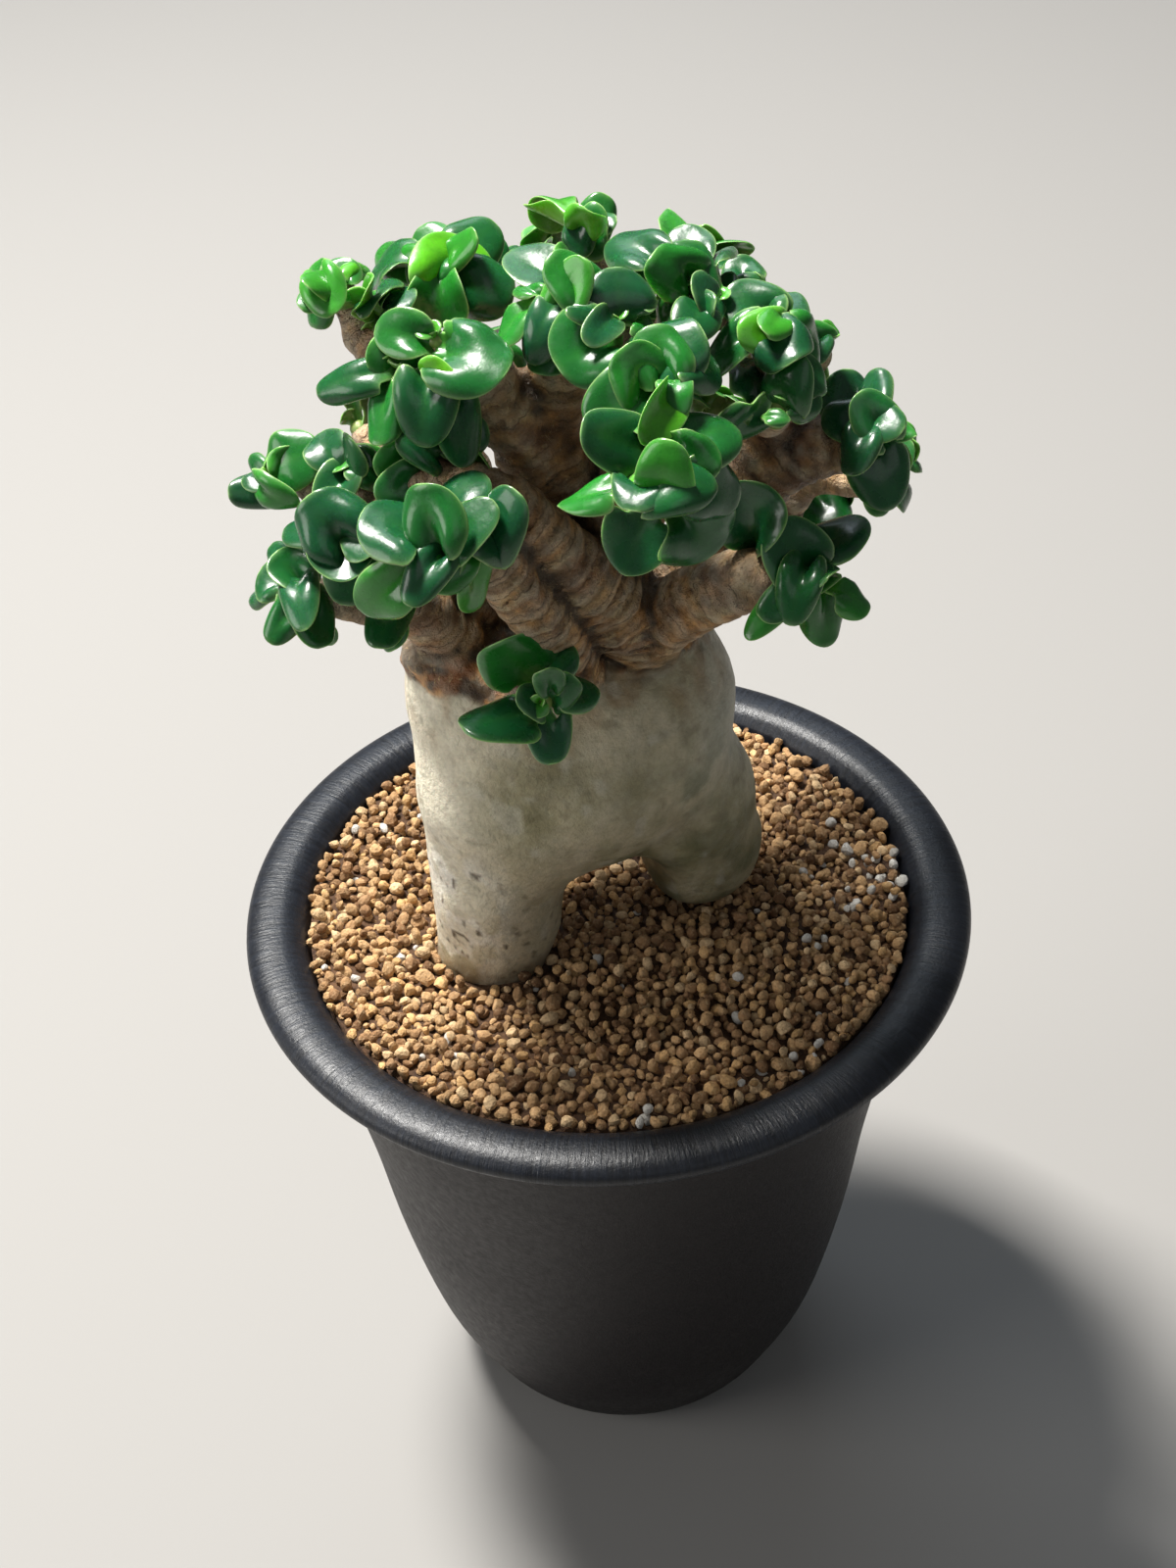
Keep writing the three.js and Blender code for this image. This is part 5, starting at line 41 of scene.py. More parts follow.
# ------------------------------------------------------------------ tables (millimetres, the same plant as the frame)
ROSETTES = [
  [1,-27.96,8,190.37,-0.752,0.1,0.652],
  [2,-14.81,11.67,189.6,-0.243,0.192,0.951],
  [3,-15.62,-8.38,191.63,-0.248,-0.133,0.959],
  [4,-20.77,-7.83,188.6,-0.34,-0.128,0.932],
  [5,-17.69,-12,178.52,-0.36,-0.244,0.9],
  [6,2.3,11.96,189.51,0.038,0.22,0.975],
  [7,-1.48,-7.57,194.73,-0.023,-0.118,0.993],
  [8,4.6,-9.77,193.03,0.074,-0.157,0.985],
  [9,12.55,-1.33,192.11,0.203,-0.022,0.979],
  [10,16.27,-3.34,191.17,0.263,-0.054,0.963],
  [11,21.55,3.99,187.56,0.36,0.067,0.93],
  [12,23.33,-5.95,188.29,0.378,-0.096,0.921],
  [13,29.36,1.41,182.37,0.503,0.024,0.864],
  [14,9.61,-16.76,189.16,0.159,-0.277,0.948],
  [15,8.35,-24.23,184.7,0.143,-0.414,0.899],
  [16,22.81,-11.4,182.42,0.408,-0.204,0.89],
  [17,35.1,-4,173.2,0.652,-0.074,0.754],
  [18,26.8,-14,159.68,0.698,-0.365,0.616],
  [19,-35.91,-4,173.34,-0.814,-0.153,0.56],
  [20,-26.99,-10,176.28,-0.523,-0.194,0.83],
  [21,-26.17,-16,171.37,-0.542,-0.331,0.772],
  [22,-15.96,-23,173.78,-0.329,-0.474,0.817],
  [23,-33.84,-13,161.52,-0.861,-0.269,0.431],
  [24,-23.25,-14,159.67,-0.68,-0.68,0.272],
  [25,-6.29,-22,150.32,-0.247,-0.862,0.443],
  [26,17,25,179,0.181,0.538,0.823],
  [27,-3,28,181,-0.12,0.495,0.861],
  [28,-20,23,180,-0.278,0.459,0.844],
  [29,8,33,167,0.145,0.683,0.715],
  [30,-13,32,165,-0.396,0.703,0.591],
  [31,26,27,163,0.429,0.724,0.54],
  [32,-29,24,161,-0.576,0.511,0.637],
  [33,38,8,160,0.756,0.103,0.646],
  [34,17,33,153,0.49,0.711,0.505],
  [35,-23,5,186,-0.542,0.13,0.83],
  [36,30,20,150,0.786,0.543,0.296],
]
LEAVES = [
  [1,-28.05,8.45,188.37,-31.08,0.85,195.76,0.779,0.249,0.576,5.7,64.16,59.67,0.57,1.07,0.72,1.96,0,-87.3,0.33],
  [1,-29.33,9.36,190.08,-31.37,7.16,186.39,-0.633,-0.46,0.623,6.76,48.86,40.19,0.27,1.24,0.72,0.22,0,-168.61,0.96],
  [1,-29.37,8.32,189.48,-30.4,13.28,192.33,-0.678,-0.467,0.568,3.82,-57.74,30.33,0.49,1.16,0.72,4.23,0,-123.29,0.29],
  [1,-27.85,7.06,191.18,-26.91,9.89,194.19,-0.189,-0.686,0.703,5.62,15.85,18.64,0.37,0.9,0.72,-2.95,0,-119.66,0.43],
  [1,-28.39,9.16,190.86,-24.51,12.11,191.27,-0.302,0.27,0.914,9.75,84.4,93.43,0.74,1.1,0.72,9.65,0,-126.66,0.54],
  [1,-29.37,8.42,193.08,-28.08,0.12,191.9,-0.38,-0.189,0.905,6.08,32.16,59.16,0.56,1.21,0.72,-5.14,0,-230,0.52],
  [1,-29.21,8.17,191.46,-29.64,10.05,189.97,-0.818,0.232,0.526,5,20,60,0.3,1.2,0.72,0,0,-230,0.6],
  [2,-16.21,12.31,190.48,-25.06,14.3,187.37,-0.29,0.179,0.94,10.47,2.59,64.87,0.16,1.16,0.72,-19.69,0,-108.4,0.17],
  [2,-16.03,11.79,190.25,-23.62,21.27,189.26,-0.739,-0.552,0.386,7.33,85,52.72,0.48,1.25,0.72,35,0,-49.5,0.48],
  [2,-14.3,11.45,189.17,-17.73,19.14,193.19,-0.267,-0.538,0.8,7.12,3.81,1.16,0.33,1.18,0.72,-1.92,0,-66.86,0.95],
  [2,-15.48,10.68,188.37,-13.46,13.97,194.22,0.251,-0.878,0.407,11.68,-4.94,64.59,0.82,1.06,0.72,1.77,0,-116.85,0.6],
  [2,-15.45,11.84,189.29,-8.51,20.88,190.27,0.316,-0.338,0.887,10,61.95,6.09,0.17,1.05,0.72,-0.02,0,-30,0.38],
  [2,-15.39,11.07,190.22,-6.87,7.65,189.06,-0.269,-0.833,0.484,10.28,85,52.2,0.12,1.35,0.72,-17.06,0,-30,0.2],
  [2,-15.74,12,191.76,-16.04,6.06,186.02,-0.028,-0.695,0.719,9.78,-61.06,61.81,0.44,1.16,0.72,10.56,0,-124.55,0],
  [2,-15.6,12.33,190.3,-17.8,9.01,189.16,-0.205,-0.194,0.959,7.7,24.82,81.17,0.3,1.28,0.72,-13.53,0,-230,0.59],
  [3,-16.72,-8.48,189.83,-7.67,-15.4,192.09,-0.423,-0.272,0.864,10.98,46.7,51.35,0.2,0.9,0.72,-6.16,0,-124.49,0.27],
  [3,-14.98,-9.09,191.12,-22.74,-7.51,194.11,0.157,-0.646,0.747,6.42,-13.09,49.72,0.29,1.02,0.72,-19.21,0,-134.37,0.34],
  [3,-16.44,-9.81,190.51,-18.3,-16.86,183.74,-0.002,-0.693,0.721,8.25,27.51,64.88,0.09,1,0.72,13.88,0,-129.06,0.71],
  [3,-15.89,-8.52,192.69,-13.44,-15.62,179.86,0.132,-0.857,0.499,6.4,30,40,0.08,1.2,0.72,0,0,-115.02,0.6],
  [3,-14.09,-14.36,188.77,-17.15,-13.03,193.11,-0.524,-0.844,-0.112,5.63,15.67,16.82,0.91,0.97,0.72,8.34,0,-97.7,0.89],
  [3,-16.57,-8.15,193.32,-9,-13.21,190.39,-0.384,-0.82,0.424,6.15,29.31,5.19,0.52,1.25,0.72,-35,0,-122.69,1],
  [4,-20.2,-6.97,189.33,-22.96,-7.84,193.13,0.467,-0.873,0.141,8.24,38.97,71.56,0.42,1.11,0.72,7.64,0,-43.23,0.76],
  [4,-20.21,-9.36,189.22,-30.31,-8.35,186.53,-0.267,-0.535,0.801,6.31,83.77,47.84,0.1,1.18,0.72,-3.91,0,-65.6,0.71],
  [4,-21.2,-8.31,189.38,-23.15,-15.91,183.65,-0.551,-0.409,0.728,5.99,75.65,6.98,0.29,1.22,0.72,-15.18,0,-149.08,0.6],
  [4,-20.81,-7.64,189.76,-24.99,-6.54,188.16,-0.343,0.065,0.937,3.5,59.34,44.58,0.28,1.29,0.72,-8.47,0,-105.58,0.48],
  [4,-21.57,-8.67,190.99,-18.41,-9.27,185.54,0.737,-0.476,0.48,6.56,14.11,52.65,0.35,1.05,0.72,12.98,0,-212.24,0.54],
  [5,-17.44,-12.41,177.48,-24.24,-16.72,177.09,0.407,-0.695,0.593,5.97,12.01,49.48,0.2,1.11,0.72,-4.85,0,-133.49,0.69],
  [5,-18.04,-11.21,178.31,-21.15,-14.59,184.07,0.787,-0.613,0.065,5.48,81.29,115,0.09,1.3,0.72,13.06,0,-230,0.82],
  [5,-18.92,-11.32,180.03,-24.23,-13.6,178.81,0.296,-0.884,0.363,5.32,19.99,31.45,0.41,1.25,0.72,-1.8,0,-82.45,0.54],
  [6,2.09,12.27,193.96,-5.1,15.7,196.65,0.452,0.282,0.846,6.39,-54.54,8.22,0.98,1.3,0.72,8.56,0,-93.98,0.02],
  [6,2.91,14.04,194.02,5.08,15.56,197.32,-0.102,-0.877,0.469,5.82,54.89,36.75,0.3,1.09,0.72,5.59,0,-67.01,0.96],
  [6,2,13.46,194.41,2.48,8.48,199.04,-0.457,-0.628,-0.629,6.46,85,40.82,0.72,1.33,0.72,-2.38,0,-230,0.3],
  [6,1.64,13.38,193.63,4.77,10.27,195.31,-0.745,-0.541,0.391,7.34,18.33,19.26,0.26,1.04,0.72,7.91,0,-114.09,0.11],
  [6,2.28,13.89,193.12,6,12.26,195.71,-0.627,-0.534,0.567,4.25,29.43,49.72,0.16,0.97,0.72,-21.2,0,-195.38,0.17],
  [6,0.89,13.99,195.47,-2.12,21.61,189.62,-0.178,0.554,0.813,6.44,1.52,89.83,0.58,1.35,0.72,29.85,0,-55.57,0],
  [6,1.96,14.58,194.73,1.48,8.79,192.58,-0.275,-0.314,0.908,4.74,59.52,94.25,0.06,1.33,0.72,-1.13,0,-230,0.12],
  [7,1.57,-7.55,193.86,-2.53,-6.72,201.26,0.668,-0.602,0.438,7.44,49.02,67.16,0.41,0.93,0.72,-19.03,0,-127.8,0.56],
  [7,-1.46,-6.53,191.8,1.55,-8.37,201.69,-0.571,-0.821,0.021,6.57,6.26,42.68,0.57,0.9,0.72,-10.98,0,-230,0.88],
  [7,-1.2,-7.54,194.69,-0.67,-0.83,199.71,0.863,-0.344,0.369,5.35,25.47,30.87,0.57,1.06,0.72,6.36,0,-172.3,0.28],
  [7,-0.16,-5.65,195.84,-6.94,1.58,197.96,-0.079,-0.349,0.934,7.15,-30.13,13.54,0.11,1.21,0.72,1.88,0,-53.62,0.51],
  [7,-0.76,-6.66,196.25,-4.97,-11.67,190.38,-0.249,-0.642,0.726,5.82,61.96,84.35,0.02,1.19,0.72,-7.64,0,-58.11,0.77],
  [7,-3.67,-6.14,196.1,-9.93,-9.23,190.65,-0.53,-0.315,0.787,6.39,47.71,17.15,0.45,1.33,1,31.59,0,-84.96,0.13],
  [7,-2.63,-7.86,195.72,-6.44,-4.26,196.29,-0.073,-0.229,0.971,3.73,53.09,42.31,0.42,1.28,0.72,10.18,0,-230,0.35],
  [8,4.78,-10.85,192.89,-2.25,-14.94,191.74,0.172,-0.529,0.831,10.9,-3.06,42.29,0.25,1.04,0.72,-2.21,0,-141.73,0.37],
  [8,5.32,-10.11,193.25,4.92,-6.91,199.55,0.092,-0.885,0.455,8.56,19.36,61.17,0.02,1.24,0.72,3.8,0,-30,0.38],
  [8,3.97,-9.82,194.08,-0.96,-12.5,197.53,0.623,-0.701,0.347,3.44,54.08,53.3,0.09,1.23,0.72,35,0,-30.94,0.78],
  [8,5.03,-8.84,194.45,0.99,-15.2,194.71,0.477,-0.269,0.837,4.52,-30.99,50.02,0.02,1.4,0.72,-7.23,0,-73.58,0.57],
  [8,5.55,-10.18,194.41,8.89,-9.11,193.54,0.321,-0.264,0.91,6.61,24.2,7.09,0.36,1.17,0.72,-3.2,0,-136.31,0.6],
  [8,4.99,-9.78,194.96,6.58,-3.59,194.16,0.07,0.11,0.992,8.45,22.76,59.72,0.17,1.3,0.72,-4.36,0,-30.9,0.72],
  [9,11.22,-0.41,192.22,9.26,-3.98,199.32,0.706,-0.692,-0.153,9.37,85,79.89,0.41,1.4,0.72,15.68,-2,-227.76,0.74],
  [9,13.65,-1.02,191.39,14.04,1.84,197.86,-0.095,-0.908,0.407,7.73,26.44,84.28,0.2,1.28,0.72,6.81,0,-67.44,1],
  [9,13.55,-1.51,193.43,4.91,6.64,196,-0.175,-0.46,0.871,7.74,37.82,54.69,0.05,1.05,0.72,9.93,0,-154.11,0.17],
  [9,12.77,-1.36,193.19,12.15,13.37,196.13,0.308,-0.174,0.935,4.6,-25,20,0.5,1.2,1.15,0,0,-53.63,0.15],
  [9,11.98,-0.14,194.31,6.07,-1.62,193.4,-0.088,-0.24,0.967,6.59,7.93,1.88,0.25,1.08,0.72,9.52,0,-230,0.27],
  [9,13.08,-3.71,194.03,9.98,-3.55,188.84,-0.543,-0.784,0.301,4.52,57.77,50.46,0.39,1.31,0.72,8.61,0,-224.33,0.79],
  [10,15.89,-1.67,192.08,13.06,7.12,196.94,-0.081,-0.502,0.861,6.84,-10.14,10.57,0.02,1.17,0.72,0.77,0,-125.93,0.07],
  [10,17.02,-2.93,192.78,18.87,7.58,193.42,-0.605,0.059,0.794,5.38,73.84,49.62,0.02,1.17,0.72,12.32,0,-202.58,0.63],
  [10,17.85,-2.64,191.74,13.53,-7.12,195.94,0.802,-0.28,0.528,6.37,1.67,22.67,0.06,1.27,0.72,4.54,0,-39.14,0.08],
  [10,16.56,-3.04,191.33,16.16,-8.47,194.92,-0.998,0.054,-0.03,4.92,45.03,80.76,0.12,1.24,0.72,-11.64,0,-169.6,0.85],
  [10,15.04,-4.07,191.51,12.71,-11.4,192.09,0.21,0.011,0.978,6.03,14.77,83.39,0.11,1.03,0.72,-25.55,0,-51.12,0],
  [10,17.01,-4.49,191.84,18.58,2.91,192.84,-0.048,-0.124,0.991,3.39,13.05,0,0.04,1.4,0.72,-0.14,0,-49.5,0.16],
  [11,21.54,4.78,187.8,20.11,10.41,190.94,-0.066,-0.499,0.864,5.87,5.87,0,0.1,1.35,0.72,-3.97,0,-205.62,0.66],
  [11,21.43,5,187.68,23.37,11.96,187.85,0.702,-0.213,0.68,5.03,49.37,0,0.19,1.16,0.72,6.04,0,-187.52,0.33],
  [11,21.67,4.24,188.51,18.94,5.16,190.27,0.119,-0.793,0.598,5.54,12.14,43.01,0.14,1.4,0.72,9.22,0,-92.36,0.68],
  [11,21.93,3.82,188.93,24.48,8.18,186.94,0.698,-0.085,0.711,5.83,9.27,8.5,0.12,0.98,0.72,-6.56,0,-211.38,0.72],
  [12,24.21,-4.75,187.71,17.72,-1.97,193.18,0.273,-0.688,0.673,7.76,-3.59,50.46,0.12,0.9,0.72,-3.09,0,-130.52,0.48],
  [12,24.08,-6.76,188.73,26.02,3.2,189.49,0.209,-0.116,0.971,5.65,1.93,3.23,0.05,1.04,0.72,-12.93,0,-141.57,0.82],
  [12,23.77,-5.93,188,28.23,-2.6,187.92,0.594,-0.793,0.138,10.59,85,101.91,0.33,1.4,0.72,-11.19,0,-201.45,0.63],
  [12,23.28,-6.28,188.71,21.16,-1.75,191.19,-0.251,-0.551,0.796,7.9,29.33,36.83,0.17,1.19,0.72,-31.81,0,-221.39,0.39],
  [12,22.38,-5.27,188.39,18.38,-9.82,192.02,0.823,-0.477,0.308,6.46,30.45,99.81,0.75,1,0.72,-2.76,0,-153.94,0.73],
  [12,22.74,-6.64,189.23,24.29,-13.72,189.77,-0.287,0.01,0.958,8.65,85,46.94,0.02,0.94,0.72,16.88,0,-230,0.29],
  [12,24.27,-4.78,189.22,14.76,-8.44,185.83,-0.147,-0.439,0.886,6.26,2.9,69.46,0.2,1.13,0.72,11.47,0,-212.23,0.94],
  [12,24.14,-5.7,189.18,21.53,-12.14,192.73,0.398,0.313,0.862,4.92,42.15,71.3,0.59,1.05,0.72,-21.41,0,-137.98,0.3],
  [13,30.05,0.21,182.91,30.31,4.02,183.26,-0.551,-0.039,0.834,3.89,84.44,80.34,0.1,1.31,0.72,-13.48,0,-102.9,0.48],
  [13,27.67,1.7,183.56,29.85,0.07,183.12,0.032,-0.221,0.975,5,57.4,52.71,0.2,1.15,0.72,1.71,0,-230,0.4],
  [13,29.12,1.58,183.58,28.03,-4.17,184.03,0.357,0.005,0.934,3.94,67.25,72.76,0.07,1.2,0.72,10.74,0,-223.31,0.86],
  [13,30.47,0.96,183.06,27.63,0.34,186.35,0.44,-0.872,0.216,4.32,67.23,50.9,0.44,1.03,0.72,-15.49,0,-86.34,0.68],
  [14,7.48,-17.15,189.38,5.05,-17.44,195.33,0.503,-0.849,0.164,8.15,19.16,45.5,0.45,1.13,0.72,-10.66,0,-116.99,0.98],
  [14,8.38,-16.12,190,0.65,-20.47,187.34,0.197,-0.741,0.641,8.33,18.58,62.44,0.27,0.9,0.72,0.06,0,-49.5,0.62],
  [14,10.18,-17,189.74,6.21,-26.88,189.09,0.652,-0.308,0.693,6.22,-48.57,45.1,0.77,1.09,0.72,-26.25,0,-91.74,0.52],
  [14,8.13,-15.46,190.91,14.22,-15.41,195.6,-0.492,-0.585,0.645,10.86,67.68,28.87,0.09,1.2,0.72,2.09,0,-128.31,0.79],
  [14,10.17,-17.2,189.98,8.76,-14.23,196.12,-0.146,-0.903,0.403,7.92,29.77,48.17,0.3,1.16,0.72,10.21,0,-230,0.73],
  [14,9.58,-16.07,191.62,16.22,-15.08,189.36,0.346,-0.242,0.907,8.84,50.43,68.44,0.11,1.18,0.72,2.77,0,-124.13,0.56],
  [14,10.54,-17.32,190.99,10.86,-22.68,189.1,-0.068,-0.336,0.939,4.37,31.74,77.12,0.39,1.18,0.72,6.24,0,-49.5,0.77],
  [15,8.92,-25.57,184.98,12.68,-19.33,186.34,0.347,-0.395,0.851,11.52,58.24,12.29,0.48,1.22,0.72,-3.48,0,-196.23,0.58],
  [15,8.81,-24.88,183.82,17.38,-20.67,186.15,-0.052,-0.401,0.915,9.07,38.22,67.06,0.22,1.18,0.72,-0.99,0,-90.83,0.47],
  [15,7.69,-24.46,184.68,17.28,-25.19,179.48,0.118,-0.93,0.348,9.92,85,71.8,0.09,1.11,0.72,-12.63,0,-214.98,0.24],
  [15,9.1,-28.34,182.47,9.12,-29.56,190.82,-0.323,-0.937,-0.136,7.17,29.73,61.88,0.55,0.9,0.72,-0.9,0,-49.5,0.71],
  [15,8.34,-23.09,184.72,-0.11,-25.58,190.4,0.539,-0.67,0.51,7.86,16.59,0,0.08,1.16,0.72,1.52,0,-30,0.71],
  [15,4.81,-27.35,183.47,-3.2,-26.85,181.28,-0.268,-0.09,0.959,7.18,60.7,8.29,0.44,1.17,1.15,12.99,0,-117.56,0.64],
  [15,5.8,-28.57,183.76,14.46,-30.26,184.49,-0.181,-0.587,0.789,9.45,85,76.07,0.14,1.3,1,-2.67,0,-73.38,0.74],
  [15,6.39,-27.52,183.59,5.17,-32.7,183.81,0.08,0.022,0.997,7.2,8.57,63.87,0.05,1.06,0.72,9.81,0,-57.54,1],
  [15,8.41,-23.35,187.27,14.45,-28.03,184.59,-0.189,-0.659,0.728,6.89,85,53.63,0.3,1.09,0.72,20.25,0,-190.09,0.05],
  [15,7.3,-23.99,179.3,3.71,-27.44,171.78,0.213,-0.923,0.321,8.94,-21,4.02,0.08,0.96,0.95,31.75,0,-33.17,0.52],
  [15,9.43,-24.23,179.03,14.29,-25.37,172.37,0.219,-0.923,0.317,10.91,16.56,44.72,0.15,1.14,0.72,9.77,0,-147.05,0.27],
  [16,19.09,-13.1,180.93,20.67,-2.17,184.06,0.71,-0.287,0.643,8.88,33.69,51.89,0.02,1.08,0.72,-24.5,0,-84.77,0.67],
  [16,23.4,-11.73,183.06,27.12,-7.98,187.53,0.163,-0.818,0.551,7.97,17.87,29.35,0.21,1.39,0.72,12.39,0,-173.46,0.19],
  [16,23.7,-11.69,183.38,28,-11.6,184.04,-0.09,-0.73,0.677,6.6,74.88,51.25,0.17,1.2,0.72,-12.26,0,-204.8,0.58],
  [16,23.74,-11.56,182.08,24.99,-11.25,190.02,-0.551,-0.826,0.119,8.4,79.61,75.96,0.19,1.31,0.72,-11.99,0,-49.5,0.68],
  [16,20.84,-13.13,182.53,24.11,-14.91,183.01,-0.334,-0.381,0.862,2.61,23.6,30.32,0.32,0.99,1.1,0.9,0,-103.55,0.47],
  [16,22.07,-11.52,184.86,16.22,-12.46,178.99,0.058,-0.993,0.101,6.56,61.99,24.36,0.14,0.95,0.72,-19.6,0,-161.15,0.33],
  [17,33.34,-4.09,171.44,33.23,2.88,178.8,0.154,-0.716,0.681,9.36,79.27,11.33,0.02,1.22,0.72,15.15,0,-180.14,0.32],
  [17,35.68,-5.02,174.3,36.11,1.12,179.66,-0.542,-0.531,0.651,6.35,54.42,34.12,0.02,1.11,0.72,-16.28,0,-179.33,0.68],
  [17,36.24,-5.42,173.16,33.31,-4.96,180.19,0.387,-0.896,0.219,6.84,16.19,51.66,0.16,0.9,0.72,0.99,0,-230,0.8],
  [17,35.27,-3.44,171.84,38.34,-8.96,177.17,-0.757,0.185,0.627,6.55,23.53,99.22,0.06,1.24,0.72,9.72,0,-84.16,0.73],
  [17,34.72,-3.64,174.88,40.38,-6.31,174.48,-0.205,-0.555,0.806,3.87,38.6,0,0.43,0.92,1.1,-7.9,0,-160.77,0.89],
  [17,36,-3.92,173.97,38.99,-0.11,174.17,0.415,-0.368,0.832,3.5,70.68,80.82,0.49,1.26,0.72,2.15,0,-106.95,0.92],
  [17,34.53,-3.79,174.87,36.97,-9.89,166.33,-0.044,-0.819,0.573,8.27,30.47,40.48,0.07,1.16,0.85,-9.03,0,-58.74,0.41],
  [17,36.22,-4.71,174.03,29.21,-3.19,176.3,0.154,-0.531,0.833,7.68,47.25,60.08,0.02,1.07,0.72,-1.07,0,-101.26,0.62],
  [17,35.58,-3.15,173.84,31.45,-11.57,172.77,0.039,-0.145,0.989,6.11,62.02,82.56,0.05,1.16,0.72,21.72,0,-194.34,0.45],
  [17,37.3,-4.61,174.38,37.58,-3.62,166.5,0.502,0.856,0.125,6.04,18.41,0,0.54,1.28,0.72,-13.73,0,-115.95,0.25],
  [18,22.19,-10.14,161,20.43,-12.21,173.31,-0.687,-0.694,-0.215,11.51,-30.51,34.31,0.08,1.15,0.72,19.81,0,-203.84,0],
  [18,26.76,-15.04,159.37,22.22,-14.45,168.46,0.568,-0.753,0.332,9.58,-14.16,21.2,0.12,1.1,0.72,-11.92,0,-95.83,0.51],
  [18,25.52,-13.85,160.79,34.47,-5.79,162.83,0.039,-0.286,0.958,8.17,31.96,36.14,0.02,1.4,0.9,-15.64,0,-68.39,0.66],
  [18,26.69,-13.65,160.89,23.55,-21.71,158.73,0.02,-0.266,0.964,6.23,41.12,115,0.15,1.03,0.72,-4.76,0,-214.57,0.86],
  [18,27.46,-14.34,160.26,18.41,-20.36,156.15,-0.103,-0.451,0.887,4.4,40,55,0.5,1.2,0.72,0,0,-106.74,0.6],
  [18,28.64,-14.88,159.01,24.18,-16.9,159.27,-0.117,0.376,0.919,7.3,24.83,0,0.33,1.36,0.72,21.06,0,-230,1],
  [18,27.84,-14.99,161.19,28.68,-17.84,152.21,0.496,-0.813,0.305,7.75,71.46,9.15,0.35,1.19,0.85,8.65,0,-205.69,0.76],
  [18,28.19,-16.56,160.27,33.59,-18.32,157.54,0.372,-0.247,0.894,6.39,85,38.78,0.49,1.19,0.72,8.87,0,-107.82,0.25],
  [18,27.37,-14.53,160.02,28.36,-20.09,164.48,-0.644,0.406,0.648,5.6,49.49,16.53,0.17,1,0.72,-11.21,0,-171.98,0.94],
  [18,29.01,-14.28,160.34,18.71,-12.95,159.2,-0.153,-0.426,0.892,7.7,9.58,36.67,0.02,1.11,0.72,3.33,0,-149.16,0.54],
  [19,-34.24,-5.32,172.46,-42.89,-6.79,172.5,0.124,-0.717,0.686,6.12,85,4.22,0.03,1.13,0.72,-8.2,0,-135.15,0.85],
  [19,-37.38,-5.28,172.66,-40.4,-1.61,174.46,-0.425,-0.655,0.625,3.43,69.67,26.86,0.18,1.37,0.72,-19.95,0,-73.72,0.48],
  [19,-37.02,-3.3,173.15,-35.44,-6.29,178.5,0.408,-0.74,-0.534,5.21,23.99,79.55,0.53,1.34,0.72,-13.92,0,-209.66,0.07],
  [19,-36.7,-4.29,174.87,-34.18,1.53,175.11,0.194,-0.124,0.973,4.6,57.34,49.28,0.35,1.13,0.72,7.44,0,-164.25,0.57],
  [19,-38.46,-5.19,174.12,-30.81,-7.02,177.91,-0.453,-0.666,0.593,7.9,9.23,49.69,0.27,1,0.72,-1.08,0,-30,0.21],
  [19,-37.71,-4.62,173.72,-38.14,-9.21,174.13,0.099,0.078,0.992,6.48,8.04,27.5,0.02,1.38,0.72,15.79,0,-76.21,0.17],
  [19,-37.91,-5.27,174.9,-33.66,-11.84,173.97,-0.829,-0.55,0.098,5.38,54.49,89.54,0.48,1.25,0.72,6.45,0,-157.81,0.66],
  [20,-27.28,-11.4,176.06,-30.87,-6.17,179.92,-0.316,-0.694,0.647,5.87,-21.87,62.73,0.05,1.08,0.72,16.12,0,-65.28,0],
  [20,-26.21,-9.87,176.79,-30.7,-15.7,175.11,-0.213,-0.116,0.97,6.12,-32.82,33.63,0.1,1.37,0.72,-30.92,0,-155.93,0.81],
  [20,-27.98,-9.26,176.15,-22.28,-10.54,176.7,-0.237,-0.908,0.346,7.72,21.07,39.42,0.43,1.29,0.72,1.99,0,-134.89,0.56],
  [20,-27.33,-12.16,175.22,-27.51,-10,182.06,-0.788,-0.593,0.166,7.15,85,7.13,0.12,1.26,0.72,-28.28,0,-51.29,0.26],
  [20,-28.07,-9.91,177.59,-22.74,-11.79,175.79,0.086,-0.549,0.831,5.55,30.3,85.11,0.19,1.09,0.72,-2.16,0,-145.03,0.59],
  [21,-26.96,-17.24,170.98,-32.09,-16.96,178.16,0.123,-0.984,0.126,11.85,85,70.21,0.02,1.27,0.72,1.76,0,-230,0.51],
  [21,-26.7,-16.43,171.74,-36.07,-13.94,171.12,-0.113,-0.179,0.977,6.57,41.8,45.12,0.03,1.19,0.72,-7.29,0,-60.64,1],
  [21,-26.43,-16.28,172.54,-30.88,-22.26,170.59,0.085,-0.366,0.927,10.44,-70,0,0.02,1.09,0.72,-2.84,0,-39.04,0.41],
  [21,-27.42,-16.66,172.56,-28.64,-22.04,165.93,0.187,-0.779,0.598,7.06,13.57,38.8,0.11,1.04,0.72,9.91,0,-163.18,0.51],
  [21,-29.09,-17.8,173.49,-24.18,-22.24,173.6,-0.333,-0.345,0.878,5.24,9.39,0,0.05,1.2,0.72,-7.09,0,-33.29,0],
  [22,-17.77,-25.46,174.55,-25.52,-22.36,178.94,0.486,-0.02,0.874,11.78,34.92,38.59,0.04,0.9,0.72,-15.9,0,-79.68,0.48],
  [22,-15.34,-26.02,174.77,-18.1,-24.59,183.91,-0.475,-0.88,-0.007,9.6,51.51,38.61,0.23,1.18,0.72,5.24,0,-215.49,0.55],
  [22,-16.19,-22.12,174.76,-10.91,-19.26,180.82,-0.68,-0.223,0.698,9.25,35.31,77.04,0.06,1.1,0.72,5.64,0,-30,0.37],
